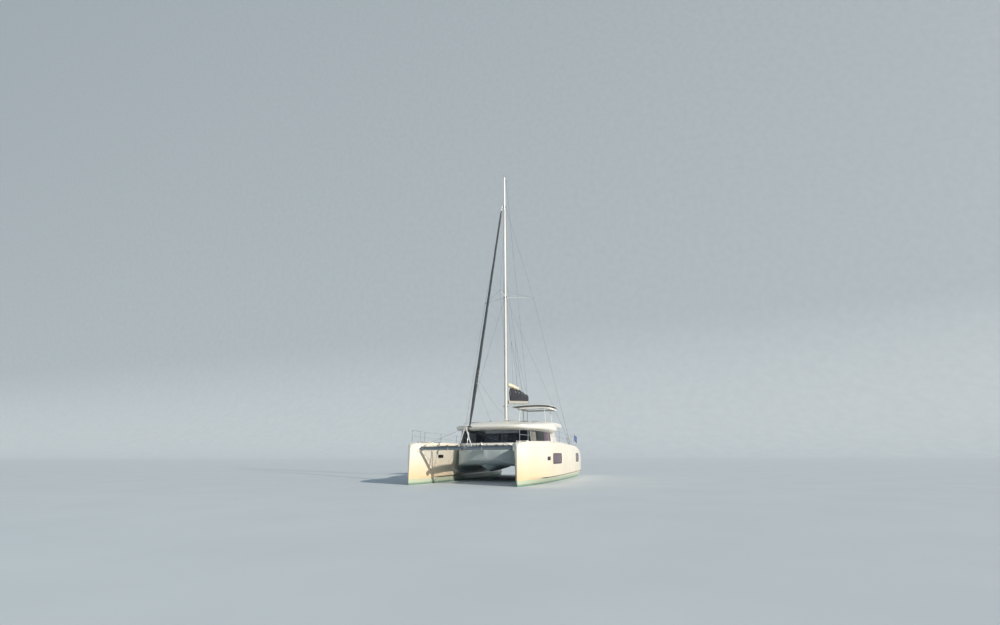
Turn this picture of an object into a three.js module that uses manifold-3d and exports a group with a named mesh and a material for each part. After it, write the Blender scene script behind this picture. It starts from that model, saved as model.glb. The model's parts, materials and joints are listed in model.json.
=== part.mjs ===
// A 12.8 m cruising sailing catamaran, afloat, as an assembly of named pieces.
// Frame: millimetres, +X towards the bows, +Y to port, +Z up. Origin on the centre line, amidships, at the waterline.
import * as THREE from "three";
import { mergeVertices } from "three/addons/utils/BufferGeometryUtils.js";
import Module from "manifold-3d";

const wasm = await Module();
wasm.setup();

// ---------------------------------------------------------------- driving dimensions (mm)
const GAP = 0.6; // clear gap between neighbouring solids
const HULL_Y = 2800; // hull centre plane off the boat's centre line
const SOLE_Z = 1150; // saloon and cockpit sole
const TUNNEL_Z = 800; // underside of the bridge deck
const INNER_Y = 2050; // where the bridge deck meets the hulls
const BEAM_X = 5950, BEAM_Z = 1725, BEAM_R = 85, BEAM_END_Y = 2440; // crossbeam between the bows
const FACE_X = 3250; // front face of the bridge deck
const CABIN_AFT_X = -2750; // aft bulkhead of the saloon
const MAST_X = -650, MAST_FOOT_Z = 3500, MAST_TOP_Z = 20950;
const SPREADER_Z = 11630;
const HOUNDS_Z = 18550, FORESTAY_Z = 18150, CHAINPLATE_X = -4180;
const GOOSE_X = -885, GOOSE_Z = 4640, BOOM_END_X = -5950, BOOM_END_Z = 5120;
const RUDDER_X = -5480, PROP_X = -4660, DRIVE_X = -4450, PROP_Z = -810;
const HELM_Y = 1000, WHEEL_X = -3245, WHEEL_Z = 2980, WHEEL_R = 350, WHEEL_TILT = 0.3;

// ---------------------------------------------------------------- colours
const LOOK = {
  gelcoat: [0xf2efe4, 0.35, 0], antifoul: [0x2f6f73, 0.8, 0], deck: [0xe9e6dc, 0.6, 0], glass: [0x14181c, 0.1, 0],
  alloy: [0xc9ccce, 0.35, 0.8], white: [0xf4f4f0, 0.4, 0.1], steel: [0xd2d4d6, 0.2, 1], black: [0x1b1c1e, 0.6, 0],
  cloth: [0x2b3038, 0.9, 0], net: [0x2c2f33, 0.9, 0], sail: [0xe8e2cf, 0.85, 0], cushion: [0xb9b2a4, 0.9, 0],
  wood: [0x8a5a36, 0.5, 0], bronze: [0xa98445, 0.35, 1], engine: [0x6f7d74, 0.6, 0.3], bimini: [0xe9e8e2, 0.6, 0],
};
const boat = new THREE.Group();
boat.name = "sailing_catamaran";
function add(name, look, solidOrGeometry) {
  const [color, roughness, metalness] = LOOK[look];
  const geometry = solidOrGeometry.getMesh ? toGeometry(solidOrGeometry) : solidOrGeometry;
  const mesh = new THREE.Mesh(geometry, new THREE.MeshStandardMaterial({ color, roughness, metalness }));
  mesh.name = name;
  boat.add(mesh);
  return mesh;
}

// ---------------------------------------------------------------- solids
function toSolid(geometry) {
  const flat = geometry.index ? geometry.toNonIndexed() : geometry.clone();
  flat.deleteAttribute("normal");
  flat.deleteAttribute("uv");
  const merged = mergeVertices(flat, 1e-3);
  const old = merged.index.array, kept = [];
  for (let i = 0; i < old.length; i += 3) {
    const [a, b, c] = [old[i], old[i + 1], old[i + 2]];
    if (a !== b && b !== c && a !== c) kept.push(a, b, c);
  }
  const made = new wasm.Manifold(new wasm.Mesh({ numProp: 3, vertProperties: new Float32Array(merged.attributes.position.array), triVerts: new Uint32Array(kept) }));
  if (made.volume() > 0) return made;
  for (let i = 0; i < kept.length; i += 3) [kept[i + 1], kept[i + 2]] = [kept[i + 2], kept[i + 1]];
  return new wasm.Manifold(new wasm.Mesh({ numProp: 3, vertProperties: new Float32Array(merged.attributes.position.array), triVerts: new Uint32Array(kept) }));
}
function toGeometry(made) {
  const mesh = made.getMesh(), n = mesh.numProp, v = new Float32Array(mesh.numVert * 3);
  for (let i = 0; i < mesh.numVert; i++) v.set(mesh.vertProperties.subarray(i * n, i * n + 3), i * 3);
  return new THREE.BufferGeometry().setAttribute("position", new THREE.BufferAttribute(v, 3)).setIndex(new THREE.BufferAttribute(new Uint32Array(mesh.triVerts), 1));
}
const join = (...all) => all.flat().reduce((a, b) => a.add(b));
const cut = (a, ...all) => all.flat().reduce((x, b) => x.subtract(b), a);

// A loft through rings of [x, y, z] points, with its ends closed by fans.
function loft(rings) {
  const pos = [], n = rings[0].length, tri = (a, b, c) => pos.push(...a, ...b, ...c);
  for (let i = 0; i < rings.length - 1; i++)
    for (let k = 0; k < n; k++) {
      const a = rings[i][k], b = rings[i][(k + 1) % n], c = rings[i + 1][(k + 1) % n], d = rings[i + 1][k];
      tri(a, b, c); tri(a, c, d);
    }
  for (const [ring, flip] of [[rings[0], true], [rings[rings.length - 1], false]]) {
    const mid = [0, 1, 2].map((k) => ring.reduce((s, p) => s + p[k], 0) / n);
    for (let k = 0; k < n; k++) flip ? tri(mid, ring[(k + 1) % n], ring[k]) : tri(mid, ring[k], ring[(k + 1) % n]);
  }
  return toSolid(new THREE.BufferGeometry().setAttribute("position", new THREE.Float32BufferAttribute(pos, 3)));
}
const block = (x0, x1, y0, y1, z0, z1) =>
  toSolid(new THREE.BoxGeometry(Math.abs(x1 - x0), Math.abs(y1 - y0), Math.abs(z1 - z0)).translate((x0 + x1) / 2, (y0 + y1) / 2, (z0 + z1) / 2));
const shapeOf = (pts) => new THREE.Shape(pts.map(([a, b]) => new THREE.Vector2(a, b)));
const plate = (ptsXY, z0, z1) => toSolid(new THREE.ExtrudeGeometry(shapeOf(ptsXY), { depth: z1 - z0, bevelEnabled: false }).translate(0, 0, z0));
// An outline in X and Z, extruded along Y.
const sidePlate = (ptsXZ, y0, y1) => toSolid(new THREE.ExtrudeGeometry(shapeOf(ptsXZ), { depth: y1 - y0, bevelEnabled: false }).rotateX(Math.PI / 2).translate(0, y1, 0));
// An outline in Y and Z, extruded along X.
const crossPlate = (ptsYZ, x0, x1) =>
  toSolid(new THREE.ExtrudeGeometry(shapeOf(ptsYZ), { depth: x1 - x0, bevelEnabled: false }).applyMatrix4(new THREE.Matrix4().set(0, 0, 1, x0, 1, 0, 0, 0, 0, 1, 0, 0, 0, 0, 0, 1)));
// A bar of elliptic section through points: half-sizes a (sideways) and b (up), each a number or one per point.
function bar(points, a, b = a, sides = 8) {
  const P = points.map((p) => new THREE.Vector3(...p)), at = (v, i) => (Array.isArray(v) ? v[i] : v);
  const rings = P.map((p, i) => {
    const t = new THREE.Vector3();
    if (i > 0) t.add(P[i].clone().sub(P[i - 1]).normalize());
    if (i < P.length - 1) t.add(P[i + 1].clone().sub(P[i]).normalize());
    t.normalize();
    const up = Math.abs(t.z) > 0.9 ? new THREE.Vector3(1, 0, 0) : new THREE.Vector3(0, 0, 1);
    const side = new THREE.Vector3().crossVectors(t, up).normalize(), top = new THREE.Vector3().crossVectors(side, t);
    return Array.from({ length: sides }, (_, k) => {
      const w = ((k + 0.5) / sides) * 2 * Math.PI;
      const q = p.clone().addScaledVector(side, at(a, i) * Math.cos(w)).addScaledVector(top, at(b, i) * Math.sin(w));
      return [q.x, q.y, q.z];
    });
  });
  return loft(rings);
}
const mirrorY = (made) => {
  const g = toGeometry(made), p = g.attributes.position.array;
  for (let i = 1; i < p.length; i += 3) p[i] = -p[i];
  return toSolid(g);
};
// Adds a port piece and its starboard mirror image.
function pair(name, look, made) {
  add(name + "_port", look, made);
  add(name + "_starboard", look, mirrorY(made));
}

// ---------------------------------------------------------------- hulls
// Columns: x, outer half width, inner half width, sheer z, waterline half width, canoe depth z, knuckle z, knuckle share, step
const STATIONS = [
  [6400, 22, 22, 1760, 20, -200, 330, 0.45, 0],
  [6355, 78, 74, 1890, 50, -285, 330, 0.45, 0],
  [6240, 170, 140, 1955, 98, -360, 332, 0.46, 0],
  [5990, 340, 240, 1990, 170, -430, 335, 0.5, 0],
  [5480, 565, 400, 2015, 270, -495, 340, 0.6, 4],
  [4500, 830, 610, 2040, 415, -550, 345, 0.78, 24],
  [3300, 975, 738, 2060, 550, -580, 350, 0.87, 46],
  [1500, 1050, 750, 2055, 640, -600, 360, 0.9, 52],
  [-500, 1050, 750, 2015, 680, -600, 375, 0.9, 52],
  [-2500, 1035, 750, 1955, 680, -555, 390, 0.9, 52],
  [-3500, 1015, 750, 1920, 670, -490, 398, 0.9, 50],
  [-4300, 985, 748, 1875, 655, -405, 402, 0.9, 48],
  [-5150, 940, 735, 1770, 630, -275, 408, 0.9, 44],
  [-5750, 895, 705, 1580, 600, -155, 405, 0.9, 38],
  [-6100, 855, 675, 1290, 565, -75, 390, 0.9, 28],
  [-6300, 800, 635, 820, 520, -10, 350, 0.9, 18],
  [-6400, 715, 565, 335, 460, 45, 240, 0.9, 8],
];
const deckZ = (x) => { let i = 0; while (i < STATIONS.length - 2 && STATIONS[i + 1][0] > x) i++; const [a, b] = [STATIONS[i], STATIONS[i + 1]]; return a[3] + ((b[3] - a[3]) * (a[0] - x)) / (a[0] - b[0]); };
function hullRing([x, wo, wi, zd, wl, zb, zk, share, step], grow) {
  const side = (w) => {
    const wk = wl + (w - wl) * share, g = grow, r = Math.min(120, w * 0.45);
    return [
      [0.36 * wl + g, 0.95 * zb - g], [0.73 * wl + g, 0.72 * zb - g * 0.7], [0.94 * wl + g, 0.32 * zb], [wl + g, 0],
      [wl + (wk - step - wl) * 0.62 + g, zk * 0.5], [wk - step + g, zk - 22], [wk + g, zk],
      [wk + (w - wk) * 0.72 + g, zk + (zd - zk) * 0.48], [w + g, zd - r], [w - r * 0.3 + g, zd - r * 0.3 + g], [w - r + g, zd + g],
    ];
  };
  const out = side(wo), inn = side(wi).reverse();
  return [[x, HULL_Y, zb - grow], ...out.map(([a, z]) => [x, HULL_Y + a, z]), ...inn.map(([a, z]) => [x, HULL_Y - a, z])];
}
const hullLoft = (grow) => loft(STATIONS.map((s, i) => {
  const end = i === 0 ? grow : i === STATIONS.length - 1 ? -grow : 0;
  return hullRing([s[0] + end, ...s.slice(1)], grow);
}));
// Stern steps: columns: forward end x, tread z, outer y
const STEPS = [[-4320, SOLE_Z, 3480], [-5230, 885, 3450], [-5540, 620, 3420], [-5850, 360, 3380]];
const BAY = { x0: -5080, x1: -4420, y0: 2450, y1: 3150, z: -60 }; // engine bay under the top tread
const PEAK = { x0: 4560, x1: 5100, y0: 2460, y1: 2860, z: 900 }; // forepeak locker
let hull = cut(hullLoft(0), STEPS.map(([x, z, y]) => block(-6600, x, 1700, y, z, 2600)),
  block(BAY.x0, BAY.x1, BAY.y0, BAY.y1, BAY.z, 1400), block(PEAK.x0, PEAK.x1, PEAK.y0, PEAK.y1, PEAK.z, 2200),
  bar([[RUDDER_X, HULL_Y, -400], [RUDDER_X, HULL_Y, 60]], 54, 54, 16));
// Rebate for the long window in the outer topside: x0, x1, z0, z1
const HULL_WINDOW = [1290, 3060, 985, 1435];
function skinY(x, z, outer) {
  // y of the hull's side at x and z, from the stations
  let i = 0;
  while (i < STATIONS.length - 2 && STATIONS[i + 1][0] > x) i++;
  const t = (STATIONS[i][0] - x) / (STATIONS[i][0] - STATIONS[i + 1][0]);
  const at = (s) => {
    const ring = hullRing(s, 0), half = outer ? ring.slice(4, 12) : ring.slice(12, 20).reverse();
    for (let k = 0; k < half.length - 1; k++)
      if (z >= half[k][2] && z <= half[k + 1][2]) return half[k][1] + ((half[k + 1][1] - half[k][1]) * (z - half[k][2])) / Math.max(1, half[k + 1][2] - half[k][2]);
    return half[half.length - 1][1];
  };
  return at(STATIONS[i]) * (1 - t) + at(STATIONS[i + 1]) * t;
}
// A pane that follows the topside, from inset to outset around the skin.
function pane([x0, x1, z0, z1], outer, inset, outset) {
  const n = 4, sign = outer ? 1 : -1;
  return loft(Array.from({ length: n + 1 }, (_, i) => {
    const x = x0 + ((x1 - x0) * i) / n;
    return [[x, skinY(x, z0, outer) - sign * inset, z0], [x, skinY(x, z0, outer) + sign * outset, z0], [x, skinY(x, z1, outer) + sign * outset, z1], [x, skinY(x, z1, outer) - sign * inset, z1]];
  }));
}
const wider = ([a, b, c, d], g) => [a - g, b + g, c - g, d + g];
hull = cut(hull, pane(wider(HULL_WINDOW, 4), true, 28, 60));
const LADDER = { x: -6445, z: 290, y0: 2560, y1: 2900 };
// Bracket of the folding ladder, on the port transom only
const bracket = join(bar([[LADDER.x, LADDER.y0 + 22, LADDER.z], [LADDER.x, LADDER.y1 - 22, LADDER.z]], 7, 7, 6), ...[LADDER.y0 + 60, LADDER.y1 - 60].map((y) => block(LADDER.x - 13, -6310, y - 10, y + 10, LADDER.z - 15, LADDER.z + 15)));
add("hull_port", "gelcoat", join(hull, bracket));
add("hull_starboard", "gelcoat", mirrorY(hull));
pair("hull_window", "glass", pane(HULL_WINDOW, true, 24, -8));

// Stub keels: columns: z, leading x, trailing x, half thickness
const keelRing = (z, x0, x1, t) => [[x0, 0], [x0 - 0.12 * (x0 - x1), 0.72 * t], [x0 - 0.4 * (x0 - x1), t], [x0 - 0.75 * (x0 - x1), 0.55 * t], [x1, 12]]
  .concat([[x1, -12], [x0 - 0.75 * (x0 - x1), -0.55 * t], [x0 - 0.4 * (x0 - x1), -t], [x0 - 0.12 * (x0 - x1), -0.72 * t]]).map(([x, y]) => [x, HULL_Y + y, z]);
const keelTop = cut(loft([keelRing(-1230, 950, -1150, 120), keelRing(-900, 1080, -1320, 150), keelRing(-420, 1250, -1500, 170)]), hullLoft(GAP));
pair("keel", "antifoul", join(keelTop, block(-1050, 850, HULL_Y - 70, HULL_Y + 70, -1250, -1225)));

// ---------------------------------------------------------------- bridge deck
const halfTunnel = (roofZ, topZ, edge = INNER_Y + 120) => [[-edge, topZ], [-edge, roofZ - 380], [-INNER_Y, roofZ - 350], [-INNER_Y + 75, roofZ - 160], [-INNER_Y + 210, roofZ - 42], [-INNER_Y + 400, roofZ],
  [INNER_Y - 400, roofZ], [INNER_Y - 210, roofZ - 42], [INNER_Y - 75, roofZ - 160], [INNER_Y, roofZ - 350], [edge, roofZ - 380], [edge, topZ]];
const COCKPIT = { x0: -5560, x1: CABIN_AFT_X - 85, z: SOLE_Z };
function bridgeRaw() {
  const ring = (x, roofZ, topZ) => halfTunnel(roofZ, topZ).map(([y, z]) => [x, y, z]);
  // Columns: x, underside z, top z: from the front face aft
  const body = loft([[FACE_X + 60, 1290, 1640], [FACE_X + 45, 1240, 1880], [FACE_X + 10, 1180, 1930], [FACE_X - 70, 1080, 1930], [FACE_X - 260, 960, 1930], [FACE_X - 700, 860, 1930], [1500, TUNNEL_Z, 1930], [CABIN_AFT_X, TUNNEL_Z, 1930], [-5300, 850, 1930], [-5650, 900, 1930], [-5750, 930, 1900]].map((s) => ring(...s)));
  // V-shaped nacelle under the middle: columns: x, half width at the top, keel z
  const nacelle = loft([[3380, 60, 1560, 1780], [3300, 190, 1400, 1780], [2950, 430, 1020, 1700], [2480, 620, 560, 1500], [2100, 640, 520, 1300], [1000, 560, 560, 1200], [-600, 420, 640, 1100], [-2000, 200, 760, 1000]]
    .map(([x, w, zk, zt]) => [[x, 0, zk], [x, w * 0.55, zk + Math.min(240, (zt - zk) * 0.4)], [x, w, Math.min(zt - 5, zk + 560)], [x, w, zt], [x, -w, zt], [x, -w, Math.min(zt - 5, zk + 560)], [x, -w * 0.55, zk + Math.min(240, (zt - zk) * 0.4)]]));
  return join(body, nacelle);
}
let bridge = bridgeRaw();
// The front face sweeps aft towards the hulls: columns: y, x
const FACE = [[0, 3385], [70, 3385], [260, 3290], [700, 3262], [1050, 3190], [1400, 3010], [1680, 2740], [1880, 2400], [2010, 2000], [2120, 1500]];
const faceAt = (y) => { let i = 0; while (i < FACE.length - 2 && FACE[i + 1][0] < y) i++; const [a, b] = [FACE[i], FACE[i + 1]]; return a[1] + ((b[1] - a[1]) * (y - a[0])) / (b[0] - a[0]); };
const ahead = (s) => plate([...FACE.map(([y, x]) => [x, s * y]), [4000, s * 2120], [4000, 0]], 0, 3000);
bridge = cut(bridge, ahead(1), ahead(-1),
  block(CABIN_AFT_X, 1420, -2300, 2300, SOLE_Z, 2100), // saloon sole
  block(COCKPIT.x0, COCKPIT.x1 + 90, -2300, 2300, SOLE_Z, 2100), // cockpit sole
  block(-5900, COCKPIT.x0 + 1, -2300, 2300, 1930 - 560, 2100), // aft deck behind the cockpit, at 1370
  block(2680, 3150, -420, 420, 1560, 2100)); // anchor locker
const hullCutter = hullLoft(GAP);
bridge = cut(bridge, hullCutter, mirrorY(hullCutter), block(-6600, STEPS[0][0] - 20, INNER_Y - 0, 4000, 500, 2600), block(-6600, STEPS[0][0] - 20, -4000, -INNER_Y, 500, 2600));
const parts = bridge.decompose().sort((a, b) => b.volume() - a.volume());
bridge = parts[0];
add("bridge_deck", "gelcoat", bridge);
add("anchor_locker_lid", "deck", block(2650, 3180, -450, 450, 1930 + GAP, 1955));
// Deck beam from the bridge deck to the crossbeam, with the bow roller at its end
add("centre_beam", "gelcoat", join(crossPlate([[-170, 1800], [-130, 1640], [130, 1640], [170, 1800], [170, 1850], [-170, 1850]], 3388, BEAM_X - BEAM_R - 3)));
add("crossbeam", "alloy", join(bar([[BEAM_X, -BEAM_END_Y, BEAM_Z], [BEAM_X, BEAM_END_Y, BEAM_Z]], 75, BEAM_R, 12)));
const strikerLeg = (s) => bar([[BEAM_X, s * 350, BEAM_Z + BEAM_R + 8], [BEAM_X, s * 45, 2680]], 24, 24, 8);
const strikerStay = (s) => bar([[BEAM_X, s * 30, 2700], [BEAM_X, s * (BEAM_END_Y - 60), BEAM_Z + BEAM_R + 14]], 6, 6, 6);
add("gull_striker", "white", join(strikerLeg(1), strikerLeg(-1), block(BEAM_X - 35, BEAM_X + 35, -75, 75, 2660, 2730), block(BEAM_X - 30, BEAM_X + 30, -380, -310, BEAM_Z + BEAM_R + 1, BEAM_Z + BEAM_R + 14),
  block(BEAM_X - 30, BEAM_X + 30, 310, 380, BEAM_Z + BEAM_R + 1, BEAM_Z + BEAM_R + 14), strikerStay(1), strikerStay(-1)));
add("bow_roller", "steel", join(block(BEAM_X + 90, BEAM_X + 330, -60, -48, 1600, 1740), block(BEAM_X + 90, BEAM_X + 330, 48, 60, 1600, 1740), block(BEAM_X + 90, BEAM_X + 110, -60, 60, 1600, 1740), bar([[BEAM_X + 280, -60, 1660], [BEAM_X + 280, 60, 1660]], 42, 42, 10)));
// Trampoline nets between the bows: solid sheets at their real place
const net = plate([[faceAt(190) + 45, 190], [BEAM_X - 130, 190], [BEAM_X - 130, 2350], [5480, 2255], [4500, 2070], [3300, 1980], [2560, 1975], ...[1880, 1680, 1400, 1050, 700, 400].map((y) => [faceAt(y) + 60, y])], 1838, 1850);
pair("trampoline", "net", net);

// ---------------------------------------------------------------- saloon
// Half plan of the saloon walls: columns: x, y; the roof's edge is the same line moved outwards
const PLAN = [[2450, 0], [2435, 600], [2370, 1150], [2190, 1620], [1860, 1980], [1400, 2230], [760, 2380], [-200, 2440], [-1500, 2450], [CABIN_AFT_X, 2440]];
function planRing(z, out, aftX, lean = 0) {
  // the half plan moved outwards by out and forwards by lean, mirrored, and closed at aftX
  const half = PLAN.map(([x, y], i) => {
    const a = PLAN[Math.max(0, i - 1)], b = PLAN[Math.min(PLAN.length - 1, i + 1)];
    let nx = b[1] - a[1], ny = -(b[0] - a[0]);
    if (i === 0) { nx = 1; ny = 0; }
    const l = Math.hypot(nx, ny);
    return [x + (out * nx) / l + lean * Math.max(0, nx / l), Math.max(0, y + (out * ny) / l)];
  });
  half[half.length - 1][0] = aftX;
  return [...half.map(([x, y]) => [x, y, z]), ...half.slice(1).reverse().map(([x, y]) => [x, -y, z])];
}
const SILL_Z = 2075, HEAD_Z = 2730, WALL_TOP = 2800;
const shell = (out, grow = 0) => loft([planRing(1930 + GAP - grow, out, CABIN_AFT_X - 40, 0), planRing(WALL_TOP + grow, out - 75, CABIN_AFT_X - 40, -55)]);
// Window openings: columns: name, x0, x1, y0, y1 for the port side; the middle one spans the centre line
const OPENINGS = [["windscreen", 1520, 2700, -2450, 2450], ["side_window", -2420, 1440, 2000, 2700]];
const opening = ([, x0, x1, y0, y1], g) => block(x0 - g, x1 + g, y0 - g, y1 + g, SILL_Z - g, HEAD_Z + g);
const flipBox = ([n, x0, x1, y0, y1]) => [n, x0, x1, -y1, -y0];
const aftWall = block(-2835 + GAP, CABIN_AFT_X - GAP, -2299, 2299, SOLE_Z + GAP, 1931 + GAP);
const aftUpper = block(-2835 + GAP, CABIN_AFT_X - GAP, -2420, 2420, 1930 + GAP, WALL_TOP);
const DOOR = { y0: -1150, y1: 60, z0: SOLE_Z + 70, z1: 2720 };
const walls = cut(join(cut(shell(0), shell(-48, 10).translate([0, 0, 0])), aftUpper, aftWall),
  opening(OPENINGS[0], 4), opening(OPENINGS[1], 4), opening(flipBox(OPENINGS[1]), 4),
  block(-2900, CABIN_AFT_X + 90, DOOR.y0, DOOR.y1, DOOR.z0, DOOR.z1), block(-2900, CABIN_AFT_X + 90, -2150, -1260, 2040, 2680));
// The sides run on aft past the bulkhead as wings beside the cockpit
const wingShell = (out, grow) => loft([planRing(1830 - grow, out, -4310, 0), planRing(WALL_TOP + grow, out - 75 - 8, -4310, -55)]);
const wings = cut(wingShell(0, 0), wingShell(-48, 10), block(-7000, -2700, -2250, 2250, 1000, 4000)).intersect(sidePlate([[-2760, 1800], [-4300, 1800], [-4290, 2120], [-4180, 2400], [-3900, 2700], [-3860, WALL_TOP], [-2760, WALL_TOP]], -2600, 2600));
add("saloon_walls", "gelcoat", cut(join(walls, wings), hullCutter, mirrorY(hullCutter), bridge.translate([0, 0, GAP])));
const glassShell = cut(shell(-6, -1), shell(-20, 20));
add("windscreen", "glass", glassShell.intersect(opening(OPENINGS[0], 0)));
pair("side_window", "glass", glassShell.intersect(opening(OPENINGS[1], 0)));
add("aft_window", "glass", block(-2805, -2793, -2148, -1262, 2042, 2678));
// Sliding door: runs on the cockpit side of the aft wall
const DX = -2842;
add("saloon_door", "glass", join(block(DX - 34, DX, DOOR.y0 - 30, DOOR.y1 + 30, DOOR.z0 - 40, DOOR.z1 + 30)));

// Roof over the saloon and the cockpit, hollow underneath, with an opening for the helm
const ROOF_AFT = -5560, HELM = { x0: -4800, x1: -2990, y0: 180, y1: 1850, floor: 2200 };
// Columns: x, half width that the camber spans, shoulder z, crown z
const CAMBER = [[2900, 1500, 2820, 2840], [2700, 1600, 2900, 2935], [2640, 1750, 2935, 3010], [2520, 1900, 2965, 3070], [2300, 2100, 2985, 3130], [1900, 2320, 3020, 3215], [1300, 2500, 3080, 3300], [500, 2640, 3160, 3370],
  [-650, 2690, 3270, 3455], [-2000, 2700, 3370, 3495], [-3000, 2700, 3430, 3520], [-5300, 2600, 3450, 3560], [-5700, 2600, 3430, 3550]];
const ACROSS = [1, 0.965, 0.9, 0.75, 0.5, 0.25, 0];
const topBody = (dz) => loft(CAMBER.map(([x, w, zs, zc]) => {
  const side = ACROSS.map((t, k) => [w * t, (k === 0 ? zs - 95 : k === 1 ? zs - 25 : zs + (zc - zs) * (1 - Math.pow(t, 2.4))) + dz]);
  return [[x, 0, 2600], [x, w * 1.2, 2600], [x, w * 1.2, zs - 260 + dz], ...side.map(([y, z]) => [x, y, z]), ...side.slice(0, -1).reverse().map(([y, z]) => [x, -y, z]), [x, -w * 1.2, zs - 260 + dz], [x, -w * 1.2, 2600]];
}));
const roofOuter = loft([[WALL_TOP + GAP, 150, 0], [2828, 225, 0], [2880, 250, 0], [3000, 240, 10], [3700, 180, 60]].map(([z, out, aft]) => planRing(z, out, ROOF_AFT + aft))).intersect(topBody(0));
const roofInner = loft([[WALL_TOP - 30, -65, 60], [3700, -130, 120]].map(([z, out, aft]) => planRing(z, out, ROOF_AFT + aft))).intersect(topBody(-75));
const hardtopCut = [sidePlate([[-3080, 2700], [-3480, 3190], [-7000, 3190], [-7000, 2700]], -3400, 3400), block(-7000, -3300, 2520, 3400, 2700, 3900), block(-7000, -3300, -3400, -2520, 2700, 3900)];
let roof = cut(roofOuter, roofInner, ...hardtopCut, block(HELM.x0, HELM.x1, HELM.y0, HELM.y1, 2700, 3900));
roof = join(roof, bar([[MAST_X, 0, 3340], [MAST_X, 0, MAST_FOOT_Z - GAP]], 260, 190, 16)).decompose().sort((a, b) => b.volume() - a.volume())[0];
add("coach_roof", "gelcoat", roof);

// ---------------------------------------------------------------- helm station, cockpit and inside
add("helm_pod", "gelcoat", join(
  cut(block(HELM.x0 + 2, -2900, 185, 1845, SOLE_Z + GAP, HELM.floor), block(-4300, -3000, 0, 560, SOLE_Z + 350, 1900)),
  block(-3080, -2900, 185, 1845, HELM.floor - 1, 3060),
  sidePlate([[-3070, 2960], [-3200, 2960], [-3160, 2700], [-3070, 2620]], 600, 1450),
  block(HELM.x0 + 2, HELM.x0 + 480, 400, 1700, HELM.floor - 1, 2640)));
add("helm_seat", "cushion", join(block(HELM.x0 + 4, HELM.x0 + 500, 410, 1690, 2640 + GAP, 2740), block(HELM.x0 + 4, HELM.x0 + 110, 410, 1690, 2739, 3080)));
// Helm wheel, tilted about Y: rim, three spokes and a hub on its shaft
const wheelAxis = [-Math.cos(WHEEL_TILT), 0, Math.sin(WHEEL_TILT)];
const wheelAt = (made) => made.rotate([0, (WHEEL_TILT * 180) / Math.PI, 0]).translate([WHEEL_X, HELM_Y, WHEEL_Z]);
const rim = toSolid(new THREE.TorusGeometry(WHEEL_R, 15, 8, 36).rotateY(Math.PI / 2));
const spoke = (a) => bar([[0, 0, 0], [0, WHEEL_R * Math.sin(a), WHEEL_R * Math.cos(a)]], 9, 9, 6);
add("helm_wheel", "steel", wheelAt(join(rim, spoke(0), spoke((2 * Math.PI) / 3), spoke((4 * Math.PI) / 3), toSolid(new THREE.CylinderGeometry(45, 45, 50, 16).rotateZ(Math.PI / 2)))));
const post = (x, y, z0, z1, r = 19) => bar([[x, y, z0], [x, y, z1]], r, r, 8);
// Bimini over the helm: an arched top with a tapered plan, on four posts
const BIM = { x0: -5650, x1: -3200, y0: -560, y1: 2640 };
const BIM_ARCH = [[-560, 4580], [-150, 4622], [300, 4650], [1000, 4672], [1600, 4664], [2100, 4618], [2400, 4555], [2640, 4482]]; // y, z of the top
const bimAt = (y) => { let i = 0; while (i < BIM_ARCH.length - 2 && BIM_ARCH[i + 1][0] < y) i++; const [a, b] = [BIM_ARCH[i], BIM_ARCH[i + 1]]; return a[1] + ((b[1] - a[1]) * (y - a[0])) / (b[0] - a[0]); };
const BIM_PLAN = [[-3200, -220], [-3200, 2200], [-3290, 2460], [-3500, 2590], [-3800, 2575], [-5200, 2410], [-5500, 2275], [-5640, 2050], [-5650, 200], [-5560, -80], [-5300, -280], [-3650, -540], [-3330, -490]];
add("bimini_top", "bimini", crossPlate([...BIM_ARCH, ...[...BIM_ARCH].reverse().map(([y, z]) => [y, z - 60])], BIM.x0, BIM.x1).intersect(plate(BIM_PLAN, 4000, 5000)));
const BIM_POSTS = [[-2950, -3300, 150, 150], [-2950, -3300, 2010, 1850], [-4900, -5060, 168, 168], [-4900, -5060, 2000, 1832]]; // x of the foot, x of the top, y of both
const bimPost = ([x, xt, y, yt]) => bar([[x, y, 3250], [xt, yt, 4452]], 17, 17, 8);
const bimRail = (y) => bar([[-5210, y, 4461], [-3230, y, 4461]], 19, 19, 8);
const bimCross = (x) => bar([[x, 155, 4458], [x, 1846, 4458]], 14, 14, 8);
add("bimini_frame", "steel", cut(join(...BIM_POSTS.map(bimPost), bimRail(152), bimRail(1848), bimCross(-3360), bimCross(-5000), bimCross(-4350)), roofOuter.translate([0, 0, GAP]), block(-3400, -2600, 0, 2000, 3000, 3060 + GAP)));
add("cockpit_table", "wood", join(block(-4650, -3750, -1250, -350, 1840, 1880), post(-4200, -800, SOLE_Z + GAP, 1841, 55)));
add("cockpit_seat", "gelcoat", join(block(-5545, -4980, -2030, 560, SOLE_Z + GAP, 1570), block(-4990, -3300, -2030, -1520, SOLE_Z + GAP, 1570)));
add("saloon_settee", "cushion", join(block(500, 1400, -1250, 1250, SOLE_Z + GAP, 1580), block(1150, 1400, -1250, 1250, 1579, 1930), block(-900, 500, 700, 1250, SOLE_Z + GAP, 1580)));
add("saloon_table", "wood", join(block(-700, 350, -350, 560, 1840, 1880), post(-150, 100, SOLE_Z + GAP, 1841, 60)));

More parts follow.
